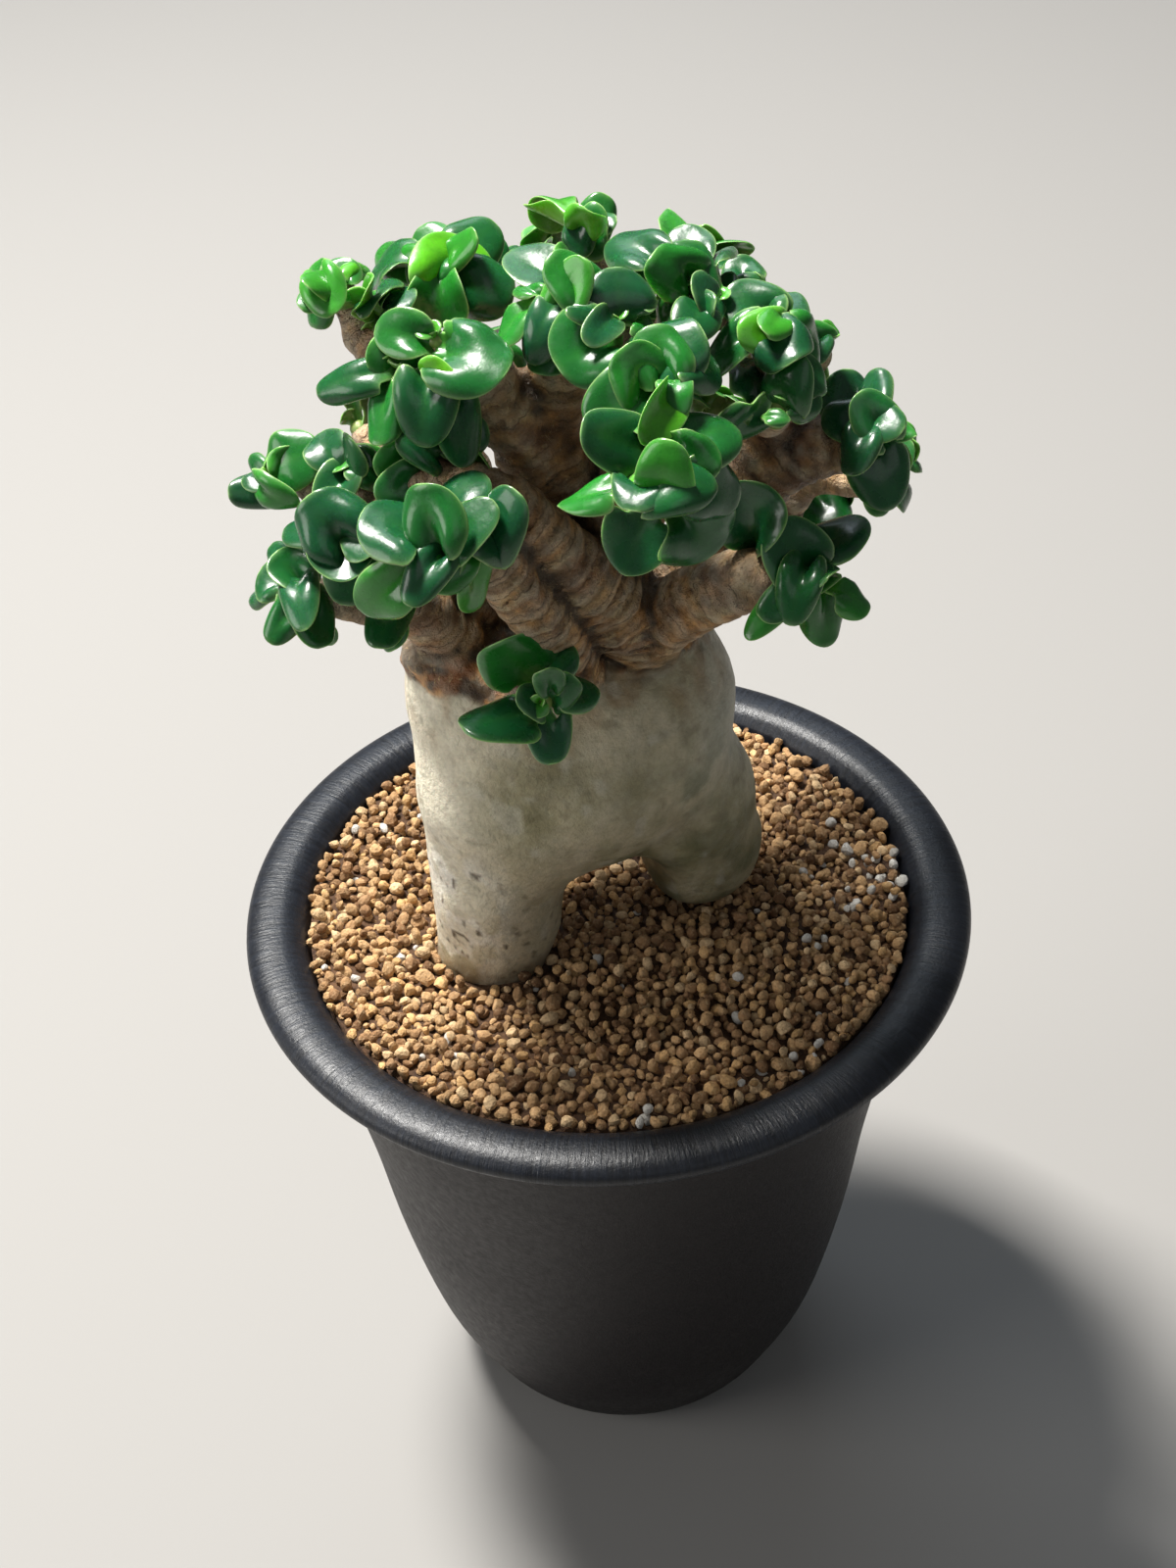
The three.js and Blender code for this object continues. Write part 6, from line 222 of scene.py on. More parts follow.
  [22,-16.4,-25.29,171.8,-9.96,-24.91,180.78,-0.69,-0.507,0.517,6.74,-0.22,62.62,0.11,1.09,0.72,8.11,0,-49.61,0.35],
  [22,-12.62,-23.98,172.32,-7.53,-24.13,181.8,-0.567,-0.77,0.292,8.59,49.69,38.2,0.02,1.26,0.72,-4.75,0,-49.5,0.68],
  [22,-14.83,-24.19,174.61,-20.75,-31.49,172.31,0.044,-0.332,0.942,5.8,33.71,62.04,0.02,0.96,0.72,-11.5,0,-228.86,1],
  [22,-15.26,-23.48,176.82,-13.4,-25.89,166.89,0.673,-0.68,0.291,7.05,16.67,38.33,0.57,1.23,0.72,-9,0,-230,0.45],
  [22,-17.84,-25.3,175.07,-26.63,-25.4,167.36,-0.26,-0.916,0.307,7.16,11.56,55.67,0.5,0.97,0.72,-4.75,0,-115.47,0.34],
  [22,-16.14,-24.06,175.28,-16.62,-29.34,171.83,0.319,-0.538,0.78,7.55,9.2,61.53,0.47,1.11,0.72,-6.68,0,-93.44,0.53],
  [23,-33.43,-14.79,162.31,-37.6,-12.75,167.67,0.327,-0.77,0.548,7.28,-49.45,25.61,0.17,0.97,0.72,19.49,0,-230,0.5],
  [23,-35.06,-12.6,162.51,-39.11,-5.01,163.55,-0.534,-0.387,0.752,5.04,53.21,13.53,0.07,1.29,0.72,3.18,0,-166.79,0.57],
  [23,-34.77,-13.31,161.41,-37.16,-15.7,165.42,0.803,0.16,0.574,12,85,35.33,0.49,1.35,0.72,-5.78,0,-30,1],
  [23,-34.66,-12.87,161.87,-41.83,-11.61,160.09,-0.24,0.005,0.971,5.99,85,57.48,0.08,1.26,0.72,-1.81,0,-230,0.37],
  [23,-33.93,-11.89,160.82,-33.99,-22.72,163.15,-0.193,0.207,0.959,5.68,43.51,103.43,0.04,1.4,0.72,12.43,0,-119.52,0.8],
  [23,-33.84,-14.48,162.64,-39.07,-18.74,158.77,-0.14,-0.567,0.812,5.36,66.81,36.06,0.2,1.11,0.72,-14.93,0,-230,0.85],
  [23,-34.96,-12.91,162.36,-32.3,-20.36,158.81,0.012,-0.426,0.905,6.71,25.04,46.67,0.19,1.33,0.72,-35,0,-177.15,0.75],
  [23,-34.69,-12.3,161.85,-36.62,-17.4,159.44,0.522,-0.517,0.678,6.61,13.52,6.73,0.1,1.14,0.72,2.02,0,-114.59,0.9],
  [23,-35.91,-12.39,161.61,-31.51,-15.74,155.86,-0.743,-0.64,-0.195,5.57,5.35,24.36,0.23,1.17,0.72,-18.03,0,-157.82,0.51],
  [24,-23.38,-13.82,160.23,-25.59,-22,159.34,-0.066,-0.09,0.994,6.54,68.1,49.72,0.14,1.01,0.72,-12.57,0,-75.49,0.96],
  [24,-23.66,-14.21,158.56,-24.15,-19.62,157.09,-0.539,-0.176,0.823,6.09,57.11,59.73,0.21,1.33,0.72,10.6,0,-220.63,1],
  [24,-23.99,-15.53,160.2,-24.65,-14.34,161.6,-0.904,-0.423,-0.064,4.58,51.89,85.83,0.61,1.38,0.72,-21.04,0,-160.74,0.84],
  [26,17.04,25.11,179.16,10.71,30.05,179.2,0.227,0.285,0.931,8.47,38.47,80,0.09,1.11,1.05,-6.36,0,-210.52,0.15],
  [26,17.09,25.27,179.41,19.32,20.07,184.15,0.144,0.699,0.7,8.76,41.02,80,0.14,1.17,0.68,13.13,0,-215.82,0.56],
  [26,17.14,25.43,179.66,20.64,32.06,178.36,-0.08,0.232,0.969,7.04,36.89,73.75,0.34,1.09,0.74,10.14,0,-66.97,0.63],
  [26,17.2,25.59,179.91,12.07,25.72,184.94,0.568,0.601,0.563,6.64,32.35,76.16,0.35,1.13,0.74,-2.44,0,-151.35,0.6],
  [26,17.25,25.75,180.15,23.79,25.25,184.26,-0.328,0.721,0.61,6.15,41.81,76.13,0.45,1.11,0.68,-12.23,0,-66.61,0.69],
  [26,17.31,25.91,180.4,16.52,33.17,181.67,0.517,-0.092,0.851,6.66,21.86,56.99,0.62,1.04,0.8,-10.69,0,-153.41,0.6],
  [26,17.36,26.08,180.65,17.63,26.35,187.24,0.259,0.965,-0.051,5.94,21.39,45.26,0.79,1.11,1.05,-4.69,0,-198.08,0.38],
  [27,-3.02,28.1,181.17,-5.39,36.03,177.68,-0.105,0.375,0.921,7.98,-45.06,14.93,0.18,1.06,0.74,-13.78,0,-92.37,0.09],
  [27,-3.06,28.25,181.43,-6.65,23.24,185.67,-0.007,0.649,0.761,8.54,-55.59,26.47,0.11,1.09,0.74,-0.77,0,-119.41,0.21],
  [27,-3.1,28.4,181.69,3.22,32.25,183.61,-0.518,0.502,0.692,7.95,26.24,61.56,0.34,1.04,1.05,3.23,0,-224.97,0.27],
  [27,-3.17,28.69,182.2,-2.16,28.02,187.76,-0.415,0.891,0.184,6.5,29.21,69,0.56,1.2,0.74,-1.75,0,-133.9,0.41],
  [27,-3.2,28.84,182.46,-2.77,34.23,185.33,-0.47,-0.385,0.794,6.2,-43.51,14.12,0.53,1.06,1.05,0.85,0,-80.5,0],
  [28,-20.06,23.09,180.17,-25.94,17.81,183.37,-0.027,0.54,0.841,7.97,-49.48,14.69,0.19,1.29,0.74,-6.68,0,-86.62,0.4],
  [28,-20.14,23.23,180.42,-12.94,26.85,184.69,-0.613,0.549,0.568,8.34,32.63,63,0.13,1.16,0.8,4.51,0,-125.63,1],
  [28,-20.22,23.37,180.68,-26.34,28.88,180.12,0.116,0.226,0.967,7.97,53.55,80,0.22,1.14,0.68,-3.92,0,-68.71,0.6],
  [28,-20.31,23.5,180.93,-21.48,20.55,187.89,-0.195,0.914,0.355,7,-48.52,26.25,0.39,1.25,0.74,0.35,0,-108.55,0.18],
  [28,-20.39,23.64,181.18,-19.74,28.25,183.91,-0.5,-0.389,0.774,6.39,-48.39,10.1,0.43,0.96,0.68,-2.26,0,-82.87,0.15],
  [28,-20.47,23.78,181.43,-24.29,24.68,184.07,0.498,0.725,0.476,6.44,46.64,50.34,0.58,1.05,0.8,5.39,0,-139.15,0.6],
  [28,-20.56,23.92,181.69,-20.32,25.62,186.74,-0.916,0.392,-0.09,4.62,46.33,80,0.77,1.15,1.05,-10.63,0,-215.07,0.15],
  [29,8.03,33.14,167.14,16.24,35.45,165.9,0.009,0.448,0.894,7.93,20.18,66.26,0.08,1.35,0.8,14.09,0,-202.88,0.75],
  [29,8.08,33.38,167.4,1.88,38.47,168.19,0.546,0.571,0.613,7.74,-41.22,22.52,0.23,1.12,1.05,-4.99,0,-93.8,0.47],
  [29,8.13,33.63,167.66,10.83,32.04,173.67,-0.2,0.922,0.333,6.52,20.8,56.29,0.23,1.34,0.74,14.44,0,-125.26,0.56],
  [29,8.19,33.87,167.92,11.03,41,168,0.035,-0.025,0.999,6.24,39.93,80,0.51,1.35,0.8,7.18,0,-72.51,0.39],
  [29,8.24,34.12,168.17,3.91,36.11,173.68,0.547,0.827,0.131,5.51,33.89,80,0.66,1.32,0.8,13.82,0,-152.92,0.63],
  [29,8.29,34.37,168.43,11.3,37.59,172.95,-0.802,0.587,0.115,5.11,53.43,73.28,0.72,1.1,0.68,8.17,0,-201.74,0.6],
  [30,-13.08,32.14,165.12,-14.27,37.6,159.46,-0.347,0.637,0.688,9.3,-57.02,15.17,0.11,1.21,1.05,13.23,0,-102.43,0],
  [30,-13.22,32.39,165.33,-18.63,28.94,170.96,-0.014,0.858,0.514,8.65,29.34,80,0.14,1.08,1.05,-0.35,0,-67.45,0.51],
  [30,-13.36,32.65,165.54,-8.51,37.76,168.08,-0.701,0.358,0.617,6.72,32.84,44.89,0.29,0.98,0.8,-3.52,0,-148.91,0.58],
  [30,-13.51,32.9,165.76,-19.04,36.89,165.41,0.322,0.516,0.794,7.38,-36.66,16.22,0.47,0.97,0.8,-8.87,0,-74.71,0.15],
  [30,-13.65,33.15,165.97,-15.09,34.32,173.16,-0.493,0.838,-0.235,5.83,29.53,72.1,0.62,1.16,0.74,11.04,0,-80.81,0.83],
  [30,-13.79,33.41,166.18,-14.58,39.41,166.72,-0.366,-0.131,0.921,5.18,33.57,80,0.82,0.98,1.05,12.08,0,-136.46,0.13],
  [31,26.09,27.14,163.11,19.9,28.45,168.78,0.616,0.576,0.538,8.07,-35.63,25.97,0.05,1.25,0.8,-3.73,0,-59.72,0.43],
  [31,26.21,27.36,163.27,33.97,26.17,164.85,0.052,0.903,0.427,7.28,-30.92,23.42,0.2,1.22,0.68,-2.04,0,-59.63,0.15],
  [31,26.34,27.58,163.43,24.59,34.64,161.28,0.759,0.355,0.546,7.34,48.86,46.94,0.24,1.1,0.68,10.88,0,-137.01,0.16],
  [31,26.47,27.8,163.59,27.36,27.41,170.84,0.273,0.962,0.018,6.32,51.82,80,0.3,1.26,0.8,7.12,0,-144.2,0.6],
  [31,26.6,28.01,163.76,32.35,32.01,162.57,-0.163,0.488,0.857,6.1,52.71,80,0.42,1.1,1.05,-2.07,0,-221.85,0.15],
  [31,26.73,28.23,163.92,25.42,33,166.53,0.959,0.124,0.254,5.3,33.74,48.88,0.61,1.03,1.05,14.13,0,-141.89,0.15],
  [31,26.86,28.45,164.08,30.53,30.6,168.41,-0.303,0.931,-0.205,5.33,-57.85,21.36,0.66,1.16,0.74,8.7,0,-107.06,0.15],
  [32,-29.12,24.1,161.13,-23.03,28.76,165.64,-0.729,0.48,0.488,7.85,-56.74,16.65,0.05,1.19,0.68,-10.44,0,-121.73,0.24],
  [32,-29.46,25.05,163.01,-31.12,30.87,165.14,-0.15,-0.377,0.914,6.09,84.62,113.21,0.19,1.24,0.8,1.93,0,-164.81,0.21],
  [33,38.15,8.02,160.13,39.65,-0.7,160.27,0.651,0.124,0.749,7.92,40.06,53.6,0.18,1.23,0.8,-11.12,0,-83.02,0.6],
  [33,38.42,8.06,160.36,42.74,13.26,158.5,0.457,-0.061,0.887,8.17,26.03,80,0.25,1.15,0.8,-3.5,0,-137,0.56],
  [33,38.7,8.09,160.59,37.34,8.4,168.31,0.948,0.278,0.156,7.01,33.66,48.32,0.33,1.11,0.68,-8.61,0,-74.76,0.6],
  [33,38.96,7.8,160.44,42.37,7.16,165.02,-0.702,-0.557,0.445,8.98,4.72,94.39,0.21,1.03,1.05,-1.39,0,-113.54,0.68],
  [33,39.24,8.17,161.06,42.6,12.58,164.64,0.553,-0.737,0.389,5.78,50.34,48.48,0.59,1.15,0.74,-13.93,0,-85.99,0.6],
  [33,39.51,8.21,161.29,43.02,8.06,164.39,0.309,0.9,-0.308,4.77,43.37,80,0.81,1.07,0.8,10.01,0,-217.78,0.85],
  [34,17.1,33.14,153.1,10.58,34.52,157.6,0.498,0.703,0.507,7.99,54.01,69.83,0.07,1.07,0.68,-4.46,0,-125.79,0.76],
  [34,17.24,33.36,153.25,24.76,30.31,154.67,0.298,0.892,0.34,7.67,33.53,72.82,0.18,1.32,0.74,-10.61,0,-127.82,0.19],
  [34,17.39,33.57,153.4,16.81,40.95,151.41,0.451,0.265,0.853,7.46,39.1,47.61,0.31,1.32,0.68,3.66,0,-209.19,0.41],
  [34,17.54,33.78,153.56,17.8,33.86,159.68,0.404,0.914,-0.029,6.79,34.61,44.46,0.45,1.15,1.05,-9.4,0,-198.63,0.14],
  [34,17.69,34,153.71,24.21,37.36,152.68,-0.141,0.53,0.836,6.95,-53.61,19.93,0.53,1.13,0.8,-12.32,0,-97.14,0.11],
  [34,17.83,34.21,153.86,16.9,41.02,157.36,0.992,0.09,0.091,5.94,52.15,75.12,0.67,1.28,0.74,-0.73,0,-127.33,0.6],
  [34,17.98,34.42,154.01,20.93,35.46,157.79,-0.083,0.976,-0.203,5.83,21.35,78.51,0.78,1.05,0.68,4.21,0,-89.7,0.41],
  [35,-23.11,5.03,186.17,-18.37,5.36,191.36,-0.737,-0.032,0.675,8.72,41.12,80,0.06,1.08,0.8,5.94,0,-82.54,0.56],
  [35,-23.13,5.1,187.76,-21.72,3.38,192.75,-0.693,0.599,0.402,8.86,57.73,81.84,0.11,1.34,1.05,10.52,0,-158.69,0],
  [35,-23.6,5.14,186.91,-24,8.34,190.34,-0.512,-0.658,0.553,6.76,-41.25,31.1,0.45,0.96,0.8,7.79,0,-89.16,0],
  [35,-22.27,4.68,188.9,-28.2,4.69,190.72,0.185,0.779,0.599,5.37,-70,30.11,0.69,1.15,0.74,9.7,0,-97.86,0.15],
  [35,-23.92,5.22,187.41,-23.34,2.84,194.68,-0.978,0.16,0.131,5.85,-53.45,20.88,0.67,1,0.74,-5.67,0,-96.94,0.03],
  [36,30.16,20.11,150.06,36.49,15.68,153.17,0.501,0.846,0.185,8.74,26.56,44.74,0.08,1.02,1.05,-10.36,0,-146.75,0.25],
  [36,30.39,20.27,150.15,31.71,26.94,145.29,0.69,0.332,0.643,8.74,45.01,42.11,0.13,1.26,0.68,4.51,0,-147.46,0.6],
  [36,30.86,20.6,150.33,36.67,20.91,148.81,0.115,0.79,0.603,6.56,51.31,59.04,0.37,1.06,0.74,14.28,0,-201.29,0.52],
  [36,31.07,21.05,149.47,30.31,24.9,149.17,0.537,0.04,-0.843,8.34,19.17,26.09,0.02,1.02,0.68,35,0,-223.41,0.01],
  [30,-12.11,32.16,165.84,-5.77,32.87,159.92,0.621,-0.496,0.606,8.3,45.8,72.32,0.33,1.32,0.72,-16.64,0,-230,0.75],
  [36,31.16,20.56,150.07,33.29,12.57,148.76,0.088,-0.139,0.986,9.4,85,5.21,0.18,1.31,0.72,35,0,-196.28,0.46],
  [7,-1.41,-7.25,195.1,-4.43,-12.04,189.37,-0.395,-0.592,0.703,7.49,82.03,1.91,0.25,0.97,0.72,-2.91,0,-144.64,0.43],
  [23,-34.71,-14.03,162.11,-40.08,-10.9,163.82,-0.083,-0.581,0.81,6.82,7.98,11,0.09,1.36,0.72,0.04,0,-69.75,0.04],
  [1,-27.77,8.19,189.86,-32.12,2.34,191.77,0.387,0.014,0.922,4.73,13.74,60.43,0.37,1.13,0.72,-1.17,0,-230,0.76],
  [5,-17.66,-12.52,179.45,-14.55,-9.32,172.3,0.667,-0.744,-0.043,8.95,39.34,37.5,0.68,1.19,0.72,3.57,0,-82.62,0.74],
  [5,-18.44,-12.74,180.44,-10.72,-10.8,173.89,0.495,0.479,0.725,9.19,12.85,40.5,0.68,1.17,0.72,-8.64,0,-226.96,0.77],
  [2,-15.61,12.45,189.09,-10.82,9.61,196.17,-0.846,-0.164,0.507,5.64,47.97,38.89,0.52,0.93,0.72,18.83,0,-98.86,0.44],
  [2,-16.43,12.54,188.87,-8.63,17.01,193.71,-0.041,-0.701,0.712,8.28,37.46,50.52,0.15,1.2,0.72,-0.79,0,-44.75,0.15],
  [5,-18.32,-11.87,181.17,-10.6,-11.69,182.28,-0.041,-0.897,0.439,6.8,55.05,40.42,0.02,1.32,0.72,-6.11,0,-190.51,0.33],
  [33,38.1,7.7,160.95,38.11,4.49,155.64,0.187,-0.841,0.508,4.92,24.83,27.89,0.31,1.05,0.72,-3.48,0,-113.52,0.3],
  [22,-17.3,-24.25,175.89,-8.6,-24.12,172.82,0.298,-0.479,0.826,6.28,30.49,105.08,0.07,1.13,0.72,-2.06,0,-56.07,0.16],
  [18,27.3,-14.21,160.34,19.96,-21.29,159.88,0.473,-0.536,0.7,5.32,23.5,31.48,0.15,1.15,0.72,9.34,0,-176.14,0.76],
  [25,-6.93,-19.27,150.73,-11.73,-21.36,158.63,0.213,-0.969,-0.127,10.59,21.2,0,0.37,1.35,0.72,-8.43,0,-45.29,0.51],
  [25,-6.06,-19.27,150.66,-1.96,-19.22,155.04,-0.673,-0.38,0.635,6.3,73.41,79.22,0.12,1.2,0.75,-2.26,0,-164.03,0.21],
  [25,-6.76,-22.02,150.41,0.52,-20.4,149.32,0.233,-0.477,0.847,6.3,37.27,23.74,0.17,0.96,0.95,-11.01,0,-155.85,0.53],
  [25,-5.55,-22.33,151.16,-5.68,-25.02,157.23,0.196,-0.898,-0.394,4.36,33.67,23.98,0.24,1.02,0.8,-2.72,0,-230,0.15],
  [25,-6.15,-21.96,148.23,-16.49,-27.02,150.56,0.252,-0.069,0.965,9.52,21.72,1.07,0.09,1.12,0.75,16.48,0,-30,0.52],
  [25,-6.21,-22.73,148.84,-5.9,-27.98,144.67,-0.029,-0.623,0.782,6.24,2.14,9.04,0.02,0.96,0.72,8.82,0,-82.92,1],
  [25,-6.3,-22.6,148.97,-9.66,-24.07,153.09,0.688,-0.647,0.33,4.86,-10.58,46.23,0.12,1.08,0.72,4.2,0,-102.6,0.81],
  [25,-6.12,-21.73,149.63,-2.17,-23.94,154.51,-0.517,-0.856,0.03,5.53,55.96,50.49,0.19,1.01,0.72,8.29,0,-102.35,0.82],
]
LIMBS = [
  [[-1.84,-8.5,142.75,3.6],[-2.21,-9.34,144.14,3.66],[-2.56,-10.2,145.52,3.72],[-2.92,-11.06,146.9,3.78],[-3.28,-11.91,148.29,3.84],[-3.66,-12.72,149.71,3.88],[-4.07,-13.5,151.18,3.9],[-4.49,-14.25,152.73,3.9],[-4.93,-14.98,154.36,3.87],[-5.39,-15.69,156.01,3.83],[-5.86,-16.35,157.65,3.79],[-6.35,-16.96,159.23,3.74],[-6.86,-17.5,160.69,3.7],[-7.4,-17.95,162.05,3.67],[-7.96,-18.31,163.34,3.64],[-8.55,-18.63,164.57,3.61],[-9.13,-18.91,165.73,3.57],[-9.71,-19.19,166.82,3.54],[-10.27,-19.5,167.85,3.5],[-10.8,-19.83,168.77,3.46],[-11.32,-20.17,169.59,3.41],[-11.83,-20.5,170.35,3.36],[-12.34,-20.83,171.07,3.3],[-12.85,-21.17,171.79,3.25],[-13.36,-21.5,172.54,3.2]],
  [[6.42,-5,145.79,4.8],[5.75,-5.76,147.23,4.82],[5.08,-6.54,148.68,4.85],[4.41,-7.31,150.14,4.87],[3.74,-8.07,151.58,4.9],[3.06,-8.81,153.01,4.91],[2.37,-9.5,154.41,4.9],[1.67,-10.16,155.81,4.87],[0.95,-10.81,157.21,4.83],[0.22,-11.44,158.59,4.78],[-0.5,-12.02,159.94,4.71],[-1.21,-12.54,161.24,4.65],[-1.88,-13,162.46,4.6],[-2.51,-13.38,163.6,4.55],[-3.11,-13.69,164.67,4.5],[-3.7,-13.94,165.69,4.46],[-4.28,-14.15,166.66,4.41],[-4.87,-14.33,167.59,4.36],[-5.48,-14.5,168.51,4.3],[-6.13,-14.65,169.41,4.24],[-6.78,-14.78,170.29,4.19],[-7.45,-14.88,171.13,4.12],[-8.13,-14.94,171.93,4.06],[-8.8,-14.99,172.66,3.99],[-9.47,-15,173.33,3.9],[-10.13,-14.97,173.93,3.8],[-10.77,-14.91,174.49,3.68],[-11.4,-14.81,174.98,3.55],[-12.06,-14.7,175.41,3.42],[-12.76,-14.59,175.76,3.3],[-13.52,-14.5,176.04,3.2],[-14.36,-14.42,176.2,3.12],[-15.25,-14.33,176.26,3.04],[-16.19,-14.25,176.24,2.98],[-17.15,-14.17,176.19,2.92],[-18.1,-14.08,176.13,2.86],[-19.04,-14,176.12,2.8]],
  [[7.72,-5.5,147.96,4.6],[8.26,-6.09,148.82,4.57],[8.78,-6.7,149.71,4.53],[9.31,-7.31,150.6,4.5],[9.84,-7.91,151.47,4.47],[10.4,-8.47,152.3,4.43],[10.98,-9,153.08,4.4],[11.59,-9.48,153.8,4.37],[12.22,-9.93,154.47,4.34],[12.88,-10.34,155.1,4.31],[13.54,-10.74,155.71,4.28],[14.21,-11.12,156.29,4.24],[14.88,-11.5,156.87,4.2],[15.54,-11.88,157.45,4.15],[16.2,-12.26,158.04,4.09],[16.86,-12.62,158.61,4.02],[17.53,-12.96,159.13,3.96],[18.23,-13.26,159.58,3.88],[18.94,-13.5,159.92,3.8],[19.69,-13.67,160.13,3.71],[20.47,-13.78,160.22,3.61],[21.27,-13.84,160.24,3.51],[22.08,-13.89,160.22,3.41],[22.88,-13.93,160.19,3.3],[23.68,-14,160.21,3.2]],
  [[-3,1,145,6],[-2.69,0.3,148.42,5.93],[-2.31,-0.43,151.99,5.87],[-1.94,-1.16,155.57,5.8],[-1.63,-1.85,158.98,5.73],[-1.43,-2.48,162.08,5.67],[-1.41,-3,164.71,5.6],[-1.59,-3.39,166.76,5.54],[-1.93,-3.69,168.35,5.47],[-2.38,-3.91,169.63,5.41],[-2.91,-4.09,170.73,5.35],[-3.47,-4.28,171.81,5.28],[-4.01,-4.5,173.01,5.2],[-4.57,-4.75,174.3,5.11],[-5.16,-5,175.57,5.02],[-5.79,-5.25,176.81,4.92],[-6.44,-5.5,178.03,4.82],[-7.08,-5.75,179.22,4.71],[-7.7,-6,180.39,4.6],[-8.3,-6.25,181.51,4.48],[-8.9,-6.5,182.6,4.35],[-9.49,-6.75,183.67,4.21],[-10.08,-7,184.72,4.07],[-10.68,-7.25,185.77,3.94],[-11.27,-7.5,186.83,3.8]],
  [[-5.61,-5,176.21,4.6],[-5.25,-4.99,177.09,4.5],[-4.89,-4.96,177.96,4.41],[-4.53,-4.94,178.82,4.31],[-4.18,-4.93,179.7,4.21],[-3.84,-4.94,180.59,4.11],[-3.53,-5,181.49,4],[-3.25,-5.11,182.43,3.88],[-3,-5.26,183.38,3.75],[-2.76,-5.44,184.35,3.61],[-2.54,-5.63,185.32,3.47],[-2.31,-5.82,186.29,3.34],[-2.08,-6,187.26,3.2]],
  [[4,-1,145,5.8],[3.7,-1.86,147.66,5.66],[3.32,-2.74,150.39,5.53],[2.94,-3.62,153.12,5.39],[2.64,-4.48,155.78,5.25],[2.48,-5.28,158.29,5.12],[2.55,-6,160.59,5],[2.91,-6.6,162.63,4.89],[3.51,-7.11,164.47,4.79],[4.26,-7.56,166.17,4.69],[5.06,-8,167.78,4.59],[5.8,-8.47,169.36,4.5],[6.38,-9,170.96,4.4],[6.79,-9.61,172.57,4.3],[7.12,-10.26,174.13,4.2],[7.4,-10.94,175.66,4.1],[7.64,-11.63,177.18,4],[7.89,-12.32,178.7,3.9],[8.16,-13,180.23,3.8]],
  [[5.13,-8,167.57,4.4],[5.51,-7.14,168.89,4.3],[5.87,-6.26,170.24,4.2],[6.23,-5.38,171.59,4.1],[6.61,-4.52,172.92,4],[7.02,-3.72,174.2,3.9],[7.46,-3,175.4,3.8],[7.98,-2.35,176.54,3.7],[8.56,-1.74,177.61,3.59],[9.17,-1.19,178.64,3.48],[9.77,-0.7,179.63,3.38],[10.32,-0.3,180.59,3.28],[10.78,0,181.54,3.2],[11.14,0.17,182.46,3.13],[11.42,0.22,183.34,3.08],[11.65,0.19,184.2,3.03],[11.86,0.11,185.04,2.99],[12.07,0.03,185.89,2.95],[12.3,0,186.74,2.9]],
  [[8,3,145,5.6],[9.36,2.84,146.48,5.5],[10.75,2.7,147.92,5.39],[12.14,2.56,149.36,5.29],[13.49,2.41,150.84,5.19],[14.78,2.22,152.38,5.09],[15.96,2,154.02,5],[17.02,1.72,155.86,4.92],[17.98,1.39,157.88,4.85],[18.87,1.03,159.97,4.79],[19.72,0.67,162.01,4.73],[20.57,0.32,163.86,4.66],[21.44,0,165.4,4.6],[22.33,-0.28,166.63,4.54],[23.21,-0.54,167.64,4.49],[24.09,-0.78,168.47,4.44],[24.96,-1.02,169.16,4.38],[25.84,-1.26,169.75,4.3],[26.73,-1.5,170.28,4.2],[27.63,-1.75,170.7,4.07],[28.53,-2,170.96,3.91],[29.44,-2.25,171.13,3.74],[30.35,-2.5,171.25,3.56],[31.27,-2.75,171.36,3.37],[32.18,-3,171.53,3.2]],
  [[20.31,1,162.64,4.4],[20.81,0.83,164.29,4.3],[21.33,0.67,165.96,4.2],[21.86,0.5,167.63,4.1],[22.36,0.33,169.28,4],[22.83,0.17,170.88,3.9],[23.24,0,172.41,3.8],[23.59,-0.17,173.85,3.7],[23.88,-0.33,175.22,3.6],[24.13,-0.5,176.54,3.5],[24.37,-0.67,177.84,3.4],[24.6,-0.83,179.13,3.3],[24.86,-1,180.46,3.2]],
  [[-11.27,-7.5,186.83,3.6],[-12.28,-6.95,186.44,3.5],[-13.3,-6.43,186.03,3.39],[-14.32,-5.91,185.61,3.29],[-15.32,-5.35,185.22,3.19],[-16.3,-4.73,184.85,3.09],[-17.23,-4,184.54,3],[-18.13,-3.13,184.24,2.92],[-19.01,-2.13,183.94,2.84],[-19.86,-1.06,183.68,2.77],[-20.67,0.02,183.48,2.71],[-21.44,1.06,183.36,2.65],[-22.15,2,183.37,2.6],[-22.79,2.84,183.53,2.56],[-23.35,3.61,183.82,2.52],[-23.87,4.34,184.21,2.49],[-24.37,5.06,184.64,2.46],[-24.86,5.77,185.07,2.43],[-25.38,6.5,185.45,2.4]],
  [[-16,-5,145,4.4],[-16.82,-5.88,146.9,4.23],[-17.67,-6.81,148.9,4.05],[-18.52,-7.75,150.89,3.88],[-19.34,-8.63,152.8,3.7],[-20.11,-9.4,154.51,3.54],[-20.8,-10,155.95,3.4],[-21.38,-10.4,157.04,3.28],[-21.89,-10.63,157.86,3.17],[-22.34,-10.75,158.49,3.08],[-22.76,-10.81,159.02,2.99],[-23.18,-10.88,159.56,2.9],[-23.63,-11,160.18,2.8]],
  [[-20.8,-10,155.95,3],[-21.71,-10.34,156.37,2.93],[-22.65,-10.7,156.8,2.86],[-23.59,-11.06,157.23,2.79],[-24.51,-11.41,157.65,2.73],[-25.39,-11.72,158.05,2.66],[-26.2,-12,158.43,2.6],[-26.95,-12.22,158.79,2.54],[-27.63,-12.41,159.12,2.49],[-28.27,-12.56,159.43,2.44],[-28.89,-12.7,159.74,2.4],[-29.52,-12.84,160.04,2.35],[-30.16,-13,160.36,2.3]],
